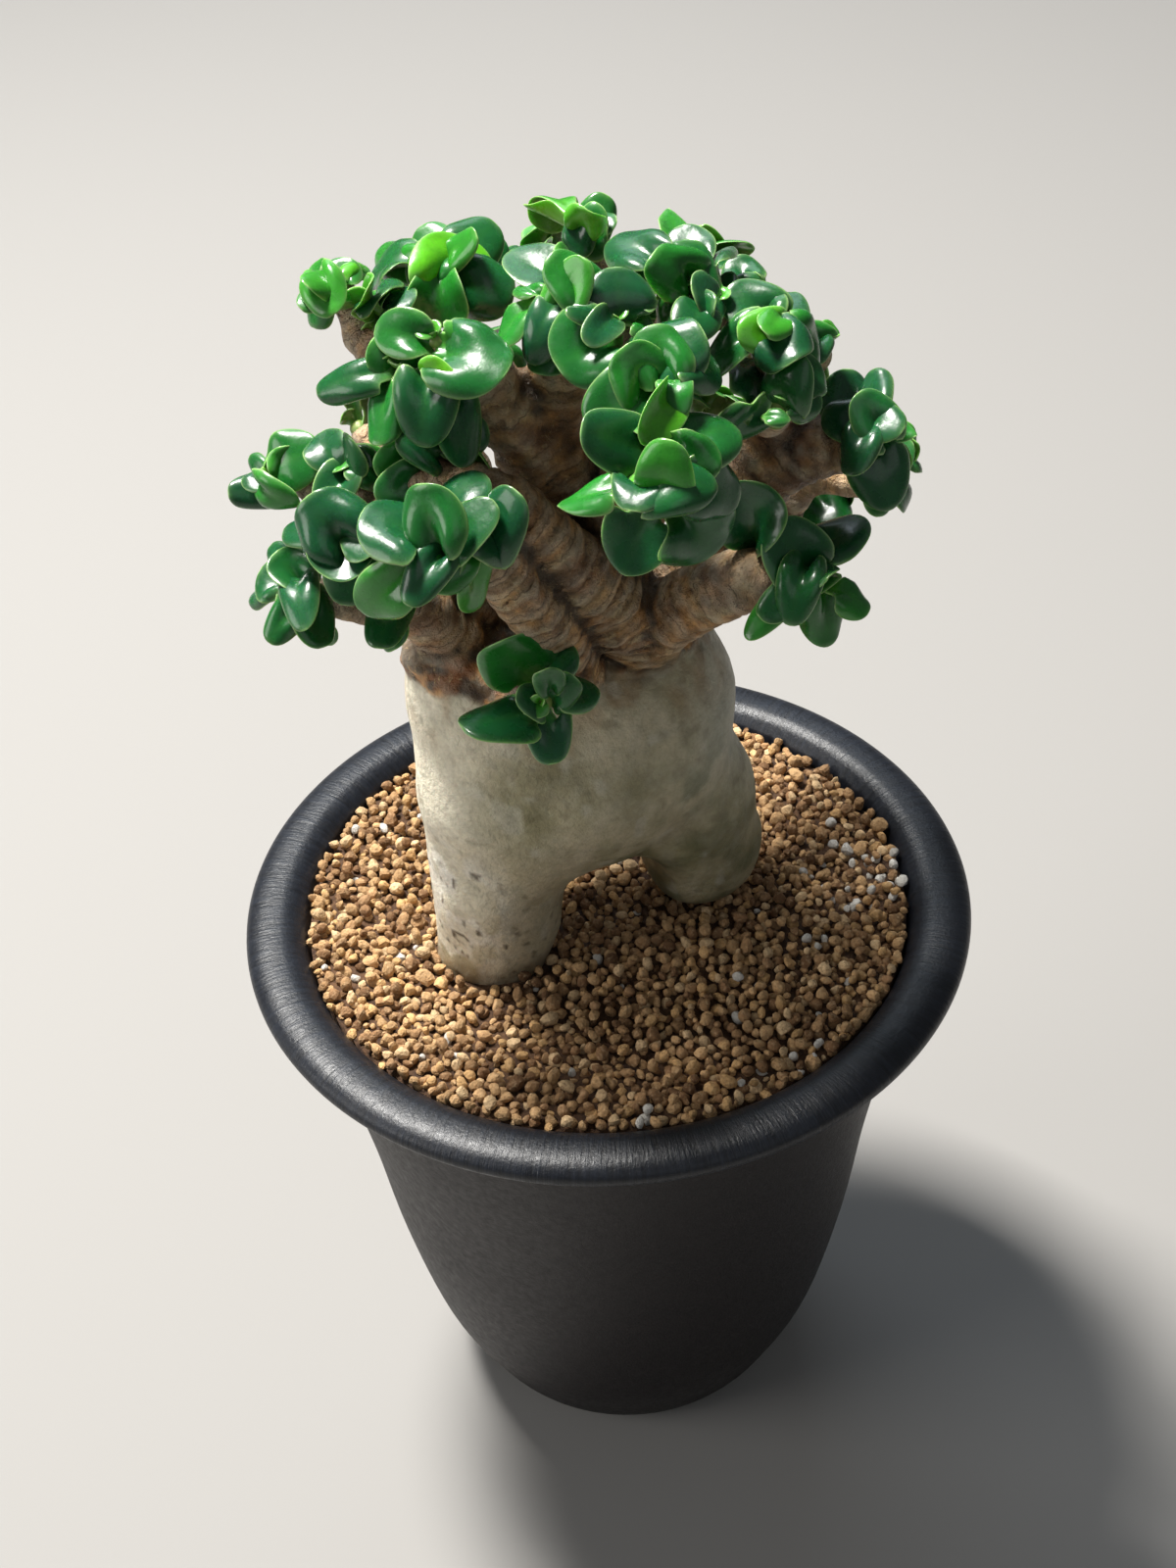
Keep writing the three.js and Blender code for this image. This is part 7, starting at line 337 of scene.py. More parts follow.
  [[-13,-1,145,4.6],[-14.18,-1.7,147.24,4.43],[-15.37,-2.44,149.56,4.25],[-16.56,-3.19,151.88,4.07],[-17.74,-3.89,154.11,3.9],[-18.89,-4.51,156.18,3.74],[-20,-5,158,3.6],[-21.06,-5.35,159.52,3.47],[-22.09,-5.59,160.79,3.36],[-23.1,-5.75,161.89,3.26],[-24.08,-5.85,162.91,3.17],[-25.04,-5.93,163.92,3.08],[-26,-6,165,3],[-26.94,-6.06,166.14,2.92],[-27.86,-6.07,167.28,2.85],[-28.77,-6.06,168.4,2.79],[-29.67,-6.04,169.53,2.73],[-30.57,-6.01,170.65,2.66],[-31.48,-6,171.78,2.6]],
  [[3,8,143,5.2],[3.69,9.33,144.87,5.03],[4.41,10.67,146.78,4.87],[5.12,12,148.69,4.7],[5.81,13.33,150.56,4.53],[6.45,14.67,152.34,4.37],[7,16,154,4.2],[7.45,17.33,155.51,4.03],[7.81,18.67,156.89,3.87],[8.12,20,158.19,3.7],[8.41,21.33,159.44,3.53],[8.69,22.67,160.7,3.37],[9,24,162,3.2]],
  [[-9,6,143,5],[-9.84,7.37,145.01,4.83],[-10.7,8.78,147.04,4.67],[-11.56,10.19,149.06,4.5],[-12.41,11.56,151.07,4.33],[-13.22,12.84,153.06,4.17],[-14,14,155,4],[-14.72,15.01,156.89,3.83],[-15.41,15.89,158.74,3.67],[-16.06,16.69,160.56,3.5],[-16.7,17.44,162.37,3.33],[-17.34,18.2,164.18,3.17],[-18,19,166,3]],
  [[-2,5,146,5.4],[-1.82,6.19,148.69,5.24],[-1.63,7.41,151.41,5.07],[-1.44,8.62,154.12,4.91],[-1.26,9.81,156.81,4.75],[-1.11,10.95,159.45,4.58],[-1,12,162,4.4],[-0.94,12.95,164.45,4.21],[-0.93,13.81,166.81,4.01],[-0.94,14.62,169.12,3.81],[-0.96,15.41,171.41,3.61],[-0.99,16.19,173.69,3.4],[-1,17,176,3.2]],
  [[12,5,143,4.6],[13.7,5.69,144.33,4.47],[15.44,6.41,145.67,4.33],[17.19,7.12,147,4.2],[18.89,7.81,148.33,4.07],[20.51,8.45,149.67,3.93],[22,9,151,3.8],[23.34,9.45,152.33,3.67],[24.56,9.81,153.67,3.53],[25.69,10.12,155,3.4],[26.78,10.41,156.33,3.27],[27.87,10.69,157.67,3.13],[29,11,159,3]],
  [[-16,2,143,4.2],[-17.53,2.34,144.37,4.07],[-19.11,2.7,145.78,3.93],[-20.69,3.06,147.19,3.8],[-22.22,3.41,148.56,3.67],[-23.67,3.72,149.84,3.53],[-25,4,151,3.4],[-26.17,4.22,152.01,3.27],[-27.22,4.41,152.89,3.13],[-28.19,4.56,153.69,3],[-29.11,4.7,154.44,2.87],[-30.03,4.84,155.2,2.73],[-31,5,156,2.6]],
]
TWIGS = [
  [1,[[-25.38,6.5,185.45,2.04],[-26,7,187.02,2.01],[-26.5,7.56,188.57,1.98],[-27.51,7.94,189.98,1.95]]],
  [2,[[-22.1,4,184.57,1.74],[-21.37,5.23,185.8,1.78],[-19.8,6.7,186.32,1.81],[-17.87,8.25,186.53,1.85],[-16.05,9.69,186.79,1.88],[-14.82,10.85,187.5,1.92],[-14.66,11.56,189.03,1.95]]],
  [3,[[-11.27,-7.5,186.83,2.9],[-12.71,-7.79,188.23,2.58],[-14.36,-8.03,189.38,2.27],[-15.47,-8.3,191.05,1.95]]],
  [4,[[-17.23,-4,184.54,2.55],[-18.42,-5.26,185.7,2.35],[-19.6,-6.82,186.54,2.15],[-20.57,-7.75,188.04,1.95]]],
  [5,[[-14.36,-14.42,176.2,2.65],[-15.5,-13.6,176.82,2.42],[-16.63,-12.31,177.1,2.18],[-17.47,-11.85,177.98,1.95]]],
  [6,[[3.91,13.81,189.2,1.74],[3.39,13.29,189.6,1.81],[2.66,12.5,189.37,1.88],[2.27,11.83,188.92,1.95]]],
  [7,[[-2.08,-6,187.26,2.72],[-1.96,-6.38,188.98,2.53],[-1.74,-6.8,190.61,2.33],[-1.53,-7.2,192.27,2.14],[-1.47,-7.5,194.13,1.95]]],
  [8,[[-1.74,-6.8,190.61,1.98],[-0.23,-7.57,191.33,1.98],[1.82,-8.41,191.24,1.97],[3.67,-9.18,191.29,1.96],[4.55,-9.68,192.43,1.95]]],
  [9,[[12.3,0,186.74,2.46],[12.38,-0.44,188.33,2.29],[12.29,-1.01,189.84,2.12],[12.43,-1.32,191.53,1.95]]],
  [10,[[12.29,-1.01,189.84,1.8],[13.66,-1.81,190.14,1.85],[15.16,-2.79,189.9,1.9],[16.11,-3.31,190.59,1.95]]],
  [11,[[24.86,-1,180.46,2.72],[24.55,-0.11,181.95,2.57],[23.46,1.12,183.11,2.41],[22.18,2.41,184.17,2.26],[21.28,3.45,185.39,2.1],[21.33,3.95,187,1.95]]],
  [12,[[24.86,-1,180.46,2.72],[24.85,-1.87,182.01,2.57],[24.21,-3.07,183.35,2.41],[23.39,-4.32,184.64,2.26],[22.87,-5.35,186.05,2.1],[23.1,-5.89,187.74,1.95]]],
  [13,[[24.86,-1,180.46,2.72],[26.35,-0.2,180.89,2.46],[27.85,0.85,180.97,2.21],[29.05,1.4,181.85,1.95]]],
  [14,[[8.3,-16.76,181.58,2.2],[8.64,-16.86,183.32,2.13],[8.94,-16.61,185.02,2.07],[9.22,-16.39,186.75,2.01],[9.52,-16.6,188.59,1.95]]],
  [15,[[8.16,-13,180.23,2.9],[8.32,-14.72,181.2,2.74],[8.3,-16.76,181.58,2.58],[8.19,-18.92,181.73,2.42],[8.08,-20.98,181.98,2.27],[8.08,-22.74,182.68,2.11],[8.27,-23.99,184.16,1.95]]],
  [16,[[24.6,-0.83,179.13,2.8],[24.69,-2.81,180.08,2.63],[23.91,-5.36,180.17,2.46],[22.89,-7.96,180.07,2.29],[22.23,-10.11,180.43,2.12],[22.56,-11.28,181.89,1.95]]],
  [17,[[31.27,-2.75,171.36,2.87],[32.47,-3.16,171.76,2.56],[33.65,-3.65,172.03,2.26],[34.71,-3.96,172.75,1.95]]],
  [18,[[22.08,-13.89,160.22,2.9],[23.59,-13.9,159.81,2.58],[25.07,-13.63,159.12,2.27],[26.38,-13.78,159.31,1.95]]],
  [19,[[-31.48,-6,171.78,2.21],[-32.82,-5.28,172.19,2.12],[-34.08,-4.27,172.4,2.04],[-35.42,-3.91,173,1.95]]],
  [20,[[-22.81,-14.96,172.66,1.84],[-23.98,-13.91,173.53,1.87],[-24.89,-12.06,174,1.9],[-25.73,-10.39,174.58,1.92],[-26.68,-9.88,175.78,1.95]]],
  [21,[[-19.04,-14,176.12,2.38],[-21.02,-14.66,175.07,2.27],[-22.81,-14.96,172.66,2.17],[-24.41,-15.23,170.68,2.06],[-25.85,-15.8,170.91,1.95]]],
  [22,[[-12.34,-20.83,171.07,2.81],[-13.51,-21.53,171.75,2.52],[-14.83,-22.06,172.3,2.24],[-15.76,-22.72,173.29,1.95]]],
  [23,[[-29.52,-12.84,160.04,2],[-30.79,-12.87,160.41,1.98],[-32.05,-12.72,160.75,1.97],[-33.33,-12.84,161.27,1.95]]],
  [24,[[-21.38,-10.4,157.04,2.79],[-21.94,-11.39,157.89,2.51],[-22.18,-12.48,158.82,2.23],[-22.84,-13.59,159.51,1.95]]],
  [25,[[-2.78,-15,146.35,2.4],[-3.1,-15.48,146.56,2.32],[-3.42,-15.93,146.75,2.24],[-3.74,-16.39,146.95,2.15],[-4.06,-16.91,147.19,2.07],[-4.39,-17.5,147.52,2],[-4.73,-18.2,147.94,1.93],[-5.08,-18.99,148.43,1.87],[-5.44,-19.82,148.97,1.82],[-5.79,-20.66,149.53,1.76],[-6.15,-21.48,150.06,1.7]]],
  [26,[[8.97,25.81,162.82,2.18],[9.92,26.41,164.43,2.16],[10.92,26.41,166.08,2.13],[11.96,25.99,167.77,2.1],[12.99,25.33,169.5,2.08],[13.98,24.61,171.26,2.05],[14.9,24.01,173.05,2.03],[15.72,23.7,174.85,2],[16.39,23.86,176.67,1.98],[16.89,24.68,178.51,1.95]]],
  [27,[[-1,17,176,2.72],[-1.25,18.73,176.98,2.59],[-1.57,20.68,177.47,2.46],[-1.92,22.7,177.78,2.33],[-2.28,24.64,178.19,2.21],[-2.63,26.36,179,2.08],[-2.93,27.7,180.48,1.95]]],
  [28,[[-18,19,166,2.55],[-18.62,19.81,167.74,2.46],[-18.93,20.33,169.6,2.38],[-19.05,20.67,171.53,2.29],[-19.08,20.96,173.51,2.21],[-19.15,21.32,175.52,2.12],[-19.36,21.87,177.53,2.04],[-19.83,22.72,179.49,1.95]]],
  [29,[[9,24,162,2.72],[8.97,25.81,162.82,2.57],[8.62,27.6,163.52,2.41],[8.17,29.34,164.26,2.26],[7.85,31.01,165.22,2.1],[7.91,32.59,166.57,1.95]]],
  [30,[[-17.34,18.2,164.18,2.69],[-17.24,20.2,164.52,2.59],[-16.42,22.22,164.39,2.48],[-15.21,24.22,164.01,2.37],[-13.93,26.19,163.61,2.27],[-12.88,28.09,163.43,2.16],[-12.39,29.89,163.7,2.06],[-12.76,31.58,164.65,1.95]]],
  [31,[[28.03,18.23,149.51,1.79],[28.55,19.53,150.8,1.81],[28.37,20.57,152.37,1.83],[27.73,21.44,154.14,1.85],[26.87,22.23,156,1.87],[26,23.05,157.88,1.89],[25.37,23.98,159.68,1.91],[25.21,25.12,161.31,1.93],[25.74,26.57,162.68,1.95]]],
  [32,[[-16.7,17.44,162.37,2.83],[-18.4,18.53,162.36,2.71],[-20.2,19.44,161.81,2.58],[-22.05,20.24,160.99,2.45],[-23.89,21,160.18,2.33],[-25.64,21.79,159.67,2.2],[-27.25,22.66,159.72,2.08],[-28.65,23.69,160.62,1.95]]],
  [33,[[29,11,159,2.55],[30.84,10.65,159.08,2.43],[32.61,9.82,158.83,2.31],[34.31,8.86,158.6,2.19],[35.95,8.12,158.75,2.07],[37.55,7.94,159.61,1.95]]],
  [34,[[3.79,20.19,151.25,2.2],[4.91,21.91,151.31,2.17],[6.24,23.42,151.22,2.14],[7.72,24.77,151.07,2.11],[9.3,26.02,150.91,2.09],[10.93,27.23,150.83,2.06],[12.53,28.43,150.89,2.03],[14.07,29.69,151.18,2],[15.48,31.05,151.76,1.98],[16.71,32.57,152.7,1.95]]],
  [35,[[-21.44,1.06,183.36,2.25],[-21.88,2.36,184.12,2.15],[-22.1,4,184.57,2.05],[-22.67,4.92,185.5,1.95]]],
  [36,[[23.34,9.45,152.33,2.9],[24.68,10.99,151.96,2.74],[25.58,12.77,151.26,2.58],[26.29,14.65,150.47,2.42],[27.03,16.52,149.81,2.27],[28.03,18.23,149.51,2.11],[29.53,19.67,149.82,1.95]]],
]


SOIL_Z = 95.0
POT_SEG = 224


# ------------------------------------------------------------------ helpers
def nrm(v):
    v = np.asarray(v, float)
    return v / np.maximum(np.linalg.norm(v, axis=-1, keepdims=True), 1e-12)


def smooth(a, b, x):
    t = np.clip((np.asarray(x, float) - a) / (b - a), 0, 1)
    return t * t * (3 - 2 * t)


def mixc(a, b, t):
    return np.asarray(a, float) * (1 - t[..., None]) + np.asarray(b, float) * t[..., None]


def lin(r, g, b):
    """linear colour of a screen colour 0..255"""
    c = np.array([r, g, b], float) / 255
    return np.where(c <= 0.04045, c / 12.92, ((c + 0.055) / 1.055) ** 2.4)


class Noise:
    """smooth lattice noise, about -1..1"""

    def __init__(self, seed, n=32):
        self.n = n
        self.t = np.random.RandomState(seed).uniform(-1, 1, (n, n, n)).astype(np.float32)

    def __call__(self, P, scale, shift=0.0):
        q = np.asarray(P, np.float32) / scale + shift + 1000.0
        i = np.floor(q).astype(np.int64)
        f = q - i
        f = f * f * (3 - 2 * f)
        n = self.n
        out = 0.0
        for a in (0, 1):
            for b in (0, 1):
                for c in (0, 1):
                    w = (f[..., 0] if a else 1 - f[..., 0]) * (f[..., 1] if b else 1 - f[..., 1]) * (f[..., 2] if c else 1 - f[..., 2])
                    out = out + w * self.t[(i[..., 0] + a) % n, (i[..., 1] + b) % n, (i[..., 2] + c) % n]
        return out


N1, N2, N3 = Noise(11), Noise(23), Noise(37)


def make(name, V, faces, colors=None, attrs=None, smooth_shade=True):
    """mesh object from arrays: V in millimetres, faces a list of index arrays"""
    faces = faces if isinstance(faces, list) else [faces]
    faces = [f for f in faces if len(f)]
    me = bpy.data.meshes.new(name)
    me.vertices.add(len(V))
    me.vertices.foreach_set("co", (np.asarray(V) * MM).astype(np.float32).ravel())
    me.loops.add(int(sum(f.size for f in faces)))
    me.loops.foreach_set("vertex_index", np.concatenate([f.ravel() for f in faces]).astype(np.int32))
    sizes = np.concatenate([np.full(len(f), f.shape[1]) for f in faces])
    me.polygons.add(len(sizes))
    me.polygons.foreach_set("loop_start", np.r_[0, np.cumsum(sizes)[:-1]].astype(np.int32))
    me.update(calc_edges=True)
    me.validate()
    me.polygons.foreach_set("use_smooth", np.full(len(me.polygons), smooth_shade))
    if colors is not None:
        a = me.color_attributes.new("Col", "FLOAT_COLOR", "POINT")
        c = np.ones((len(V), 4), np.float32)
        c[:, :3] = np.clip(colors, 0, 4)
        a.data.foreach_set("color", c.ravel())
    for k, v in (attrs or {}).items():
        a = me.attributes.new(k, "FLOAT", "POINT")
        a.data.foreach_set("value", np.asarray(v, np.float32).ravel())
    ob = bpy.data.objects.new(name, me)
    bpy.context.scene.collection.objects.link(ob)
    return ob


class Mat:
    """small builder for node materials"""

    def __init__(self, name):
        self.m = bpy.data.materials.new(name)
        self.m.use_nodes = True
        self.nt = self.m.node_tree
        self.b = self.nt.nodes["Principled BSDF"]
        self.tc = self.nt.nodes.new("ShaderNodeTexCoord")

    def set(self, **kw):
        for k, v in kw.items():
            self.b.inputs[k.replace("_", " ")].default_value = v
        return self

    def attr(self, name, kind="Fac"):
        n = self.nt.nodes.new("ShaderNodeAttribute")
        n.attribute_name = name
        return n.outputs[kind]

    def noise(self, size_mm, detail=3, rough=0.55, dist=0.0, kind="Fac", stretch=(1, 1, 1)):
        mp = self.nt.nodes.new("ShaderNodeMapping")
        mp.inputs["Scale"].default_value = [1000.0 / size_mm * s for s in stretch]
        self.nt.links.new(self.tc.outputs["Object"], mp.inputs["Vector"])
        n = self.nt.nodes.new("ShaderNodeTexNoise")
        n.inputs["Scale"].default_value = 1.0
        n.inputs["Detail"].default_value = detail
        n.inputs["Roughness"].default_value = rough
        n.inputs["Distortion"].default_value = dist
        self.nt.links.new(mp.outputs["Vector"], n.inputs["Vector"])
        return n.outputs[kind]

    def voronoi(self, size_mm, feature="F1", out="Distance", rnd=1.0):
        mp = self.nt.nodes.new("ShaderNodeMapping")
        mp.inputs["Scale"].default_value = [1000.0 / size_mm] * 3
        self.nt.links.new(self.tc.outputs["Object"], mp.inputs["Vector"])
        n = self.nt.nodes.new("ShaderNodeTexVoronoi")
        n.feature = feature
        n.inputs["Scale"].default_value = 1.0
        n.inputs["Randomness"].default_value = rnd
        self.nt.links.new(mp.outputs["Vector"], n.inputs["Vector"])
        return n.outputs[out]

    def ramp(self, fac, a, b, lo=0.0, hi=1.0):
        n = self.nt.nodes.new("ShaderNodeMapRange")
        n.clamp = True
        n.inputs["From Min"].default_value = a
        n.inputs["From Max"].default_value = b
        n.inputs["To Min"].default_value = lo
        n.inputs["To Max"].default_value = hi
        self.nt.links.new(fac, n.inputs["Value"])
        return n.outputs["Result"]

    def math(self, op, a, b=None):
        n = self.nt.nodes.new("ShaderNodeMath")
        n.operation = op
        for k, x in enumerate([a, b]):
            if x is None:
                continue
            if isinstance(x, (int, float)):
                n.inputs[k].default_value = x
            else:
                self.nt.links.new(x, n.inputs[k])
        return n.outputs["Value"]

    def mix(self, fac, a, b, blend="MIX"):
        n = self.nt.nodes.new("ShaderNodeMix")
        n.data_type = "RGBA"
        n.blend_type = blend
        if isinstance(fac, (int, float)):
            n.inputs["Factor"].default_value = fac
        else:
            self.nt.links.new(fac, n.inputs["Factor"])
        for key, x in (("A", a), ("B", b)):
            s = [i for i in n.inputs if i.name == key and i.type == "RGBA"][0]
            if hasattr(x, "is_linked") or hasattr(x, "links"):
                self.nt.links.new(x, s)
            else:
                s.default_value = (*[float(q) for q in x], 1.0)
        return [o for o in n.outputs if o.type == "RGBA"][0]

    def link(self, out, socket):
        self.nt.links.new(out, self.b.inputs[socket])
        return self

    def bump(self, height, dist_mm, strength=1.0, before=None):
        n = self.nt.nodes.new("ShaderNodeBump")
        n.inputs["Strength"].default_value = strength
        n.inputs["Distance"].default_value = dist_mm * MM
        self.nt.links.new(height, n.inputs["Height"])
        if before is not None:
            self.nt.links.new(before, n.inputs["Normal"])
        self.nt.links.new(n.outputs["Normal"], self.b.inputs["Normal"])
        return n.outputs["Normal"]


# ------------------------------------------------------------------ camera
cam_data = bpy.data.cameras.new("camera")
cam = bpy.data.objects.new("camera", cam_data)
bpy.context.scene.collection.objects.link(cam)
R2 = Vector((0.99808114, -0.04048405, -0.0468516))
U2 = Vector((0.06191955, 0.6525623, 0.75520091))
FW = Vector((0.0, 0.75665282, -0.65381688))
m = Matrix.Identity(4)
for i in range(3):
    m[i][0], m[i][1], m[i][2] = R2[i], U2[i], -FW[i]
m.translation = Vector((-1.697, -234.207, 319.383)) * MM
cam.matrix_world = m
cam_data.sensor_fit = "AUTO"
cam_data.sensor_width = 36.0
cam_data.lens = 51.03
cam_data.clip_start = 0.01
cam_data.clip_end = 20.0
bpy.context.scene.camera = cam


# ------------------------------------------------------------------ stem and branches: distance field
def smin(a, b, k):
    h = np.clip(0.5 + 0.5 * (b - a) / k, 0, 1)
    return b + (a - b) * h - k * h * (1 - h)


def smax(a, b, k):
    return -smin(-a, -b, k)


def rcone(P, a, b, r1, r2):
    a = np.array(a, np.float32)
    ba = np.array(b, np.float32) - a
    pa = P - a
    y = np.clip((pa @ ba) / (ba @ ba), 0, 1)
    return np.linalg.norm(pa - y[..., None] * ba, axis=-1) - (r1 + (r2 - r1) * y)


def ell(P, c, s, yaw=0.0):
    q = P - np.array(c, np.float32)
    t = math.radians(yaw)
    cc, ss = math.cos(t), math.sin(t)
    x, y, z = q[..., 0] * cc + q[..., 1] * ss, -q[..., 0] * ss + q[..., 1] * cc, q[..., 2]
    k0 = np.sqrt((x / s[0]) ** 2 + (y / s[1]) ** 2 + (z / s[2]) ** 2)
    k1 = np.sqrt((x / s[0] ** 2) ** 2 + (y / s[1] ** 2) ** 2 + (z / s[2] ** 2) ** 2)
    return k0 * (k0 - 1) / np.maximum(k1, 1e-9)


def stem(P):
    d = ell(P, (-2.6, -1.8, 127.5), (20.6, 16.4, 20.0), 20)
    d = smin(d, ell(P, (-13.2, -4.6, 136.0), (11.4, 11.6, 14.5)), 5.0)
    d = smin(d, ell(P, (7.6, 1.4, 130.5), (10.4, 12.0, 16.5)), 5.0)
    d = smin(d, ell(P, (9.6, 1.6, 114.5), (10.6, 10.8, 13.0)), 4.0)
    d = smin(d, rcone(P, (-12.9, -6.6, 121), (-17.1, -7.6, 90), 11.2, 7.6), 5.0)
    d = smin(d, rcone(P, (10.6, 1.6, 112), (13.0, 2.2, 104.2), 10.4, 9.6), 4.0)
    d = smin(d, rcone(P, (-16.0, -4.6, 138), (-17.8, -4.6, 146.5), 8.4, 6.6), 2.5)
    # the opening between the legs leans to the right at its top
    t = math.radians(20)
    xa = (P[..., 0] + 1.9) * math.cos(t) + (P[..., 1] + 3.0) * math.sin(t) - 1.9
    Q = np.stack([xa, np.zeros_like(xa), P[..., 2]], -1)
    hole = smin(rcone(Q, (-4.4, 0, 84), (0.6, 0, 104.6), 7.2, 4.4), rcone(Q, (1.0, 0, 88), (1.4, 0, 103.0), 6.0, 4.6), 3.0)
    d = smax(d, -hole, 4.0)
    d = smax(d, np.where(P[..., 0] < -8, P[..., 2] - 148.5, P[..., 2] - (145.0 + 0.02 * P[..., 0])), 3.0)
    return d


def surface_net(G, lo, h):
    """closed surface of a sampled field, only the cells that it crosses"""
    s = G < 0
    n = G.shape
    cnt = np.zeros((n[0] - 1, n[1] - 1, n[2] - 1), np.uint8)
    corners = np.array([(i, j, k) for i in (0, 1) for j in (0, 1) for k in (0, 1)])
    for o in corners:
        cnt += s[o[0]:n[0] - 1 + o[0], o[1]:n[1] - 1 + o[1], o[2]:n[2] - 1 + o[2]]
    act = (cnt > 0) & (cnt < 8)
    ii = np.argwhere(act)
    idx = np.full(act.shape, -1, np.int64)
    idx[tuple(ii.T)] = np.arange(len(ii))
    val = {tuple(o): G[ii[:, 0] + o[0], ii[:, 1] + o[1], ii[:, 2] + o[2]] for o in corners}
    c = np.zeros((len(ii), 3))
    m_ = np.zeros(len(ii))
    for ax in range(3):
        for o in corners:
            if o[ax]:
                continue
            o2 = o.copy()
            o2[ax] = 1
            v0, v1 = val[tuple(o)], val[tuple(o2)]
            hit = (v0 < 0) != (v1 < 0)
            t = np.where(hit, v0 / np.where(hit, v0 - v1, 1), 0)
            p = np.repeat(o[None].astype(float), len(ii), 0)
            p[:, ax] += t
            c += np.where(hit[:, None], p, 0)
            m_ += hit
    V = (ii + c / m_[:, None]) * h + np.array(lo)
    F = []
    for ax in range(3):
        a1, a2 = (ax + 1) % 3, (ax + 2) % 3
        s0, s1 = [slice(None)] * 3, [slice(None)] * 3
        s0[ax], s1[ax] = slice(0, n[ax] - 1), slice(1, n[ax])
        A, B = s[tuple(s0)], s[tuple(s1)]
        ch = np.argwhere(A != B)
        ch = ch[(ch[:, a1] > 0) & (ch[:, a2] > 0) & (ch[:, a1] < n[a1] - 1) & (ch[:, a2] < n[a2] - 1)]

        def cell(d1, d2):
            q = ch.copy()
            q[:, a1] -= d1
            q[:, a2] -= d2
            return idx[q[:, 0], q[:, 1], q[:, 2]]

        q = np.stack([cell(0, 0), cell(1, 0), cell(1, 1), cell(0, 1)], 1)
        inside = A[tuple(ch.T)]
        q[~inside] = q[~inside][:, ::-1]
        F.append(q)
    return V, np.concatenate(F)


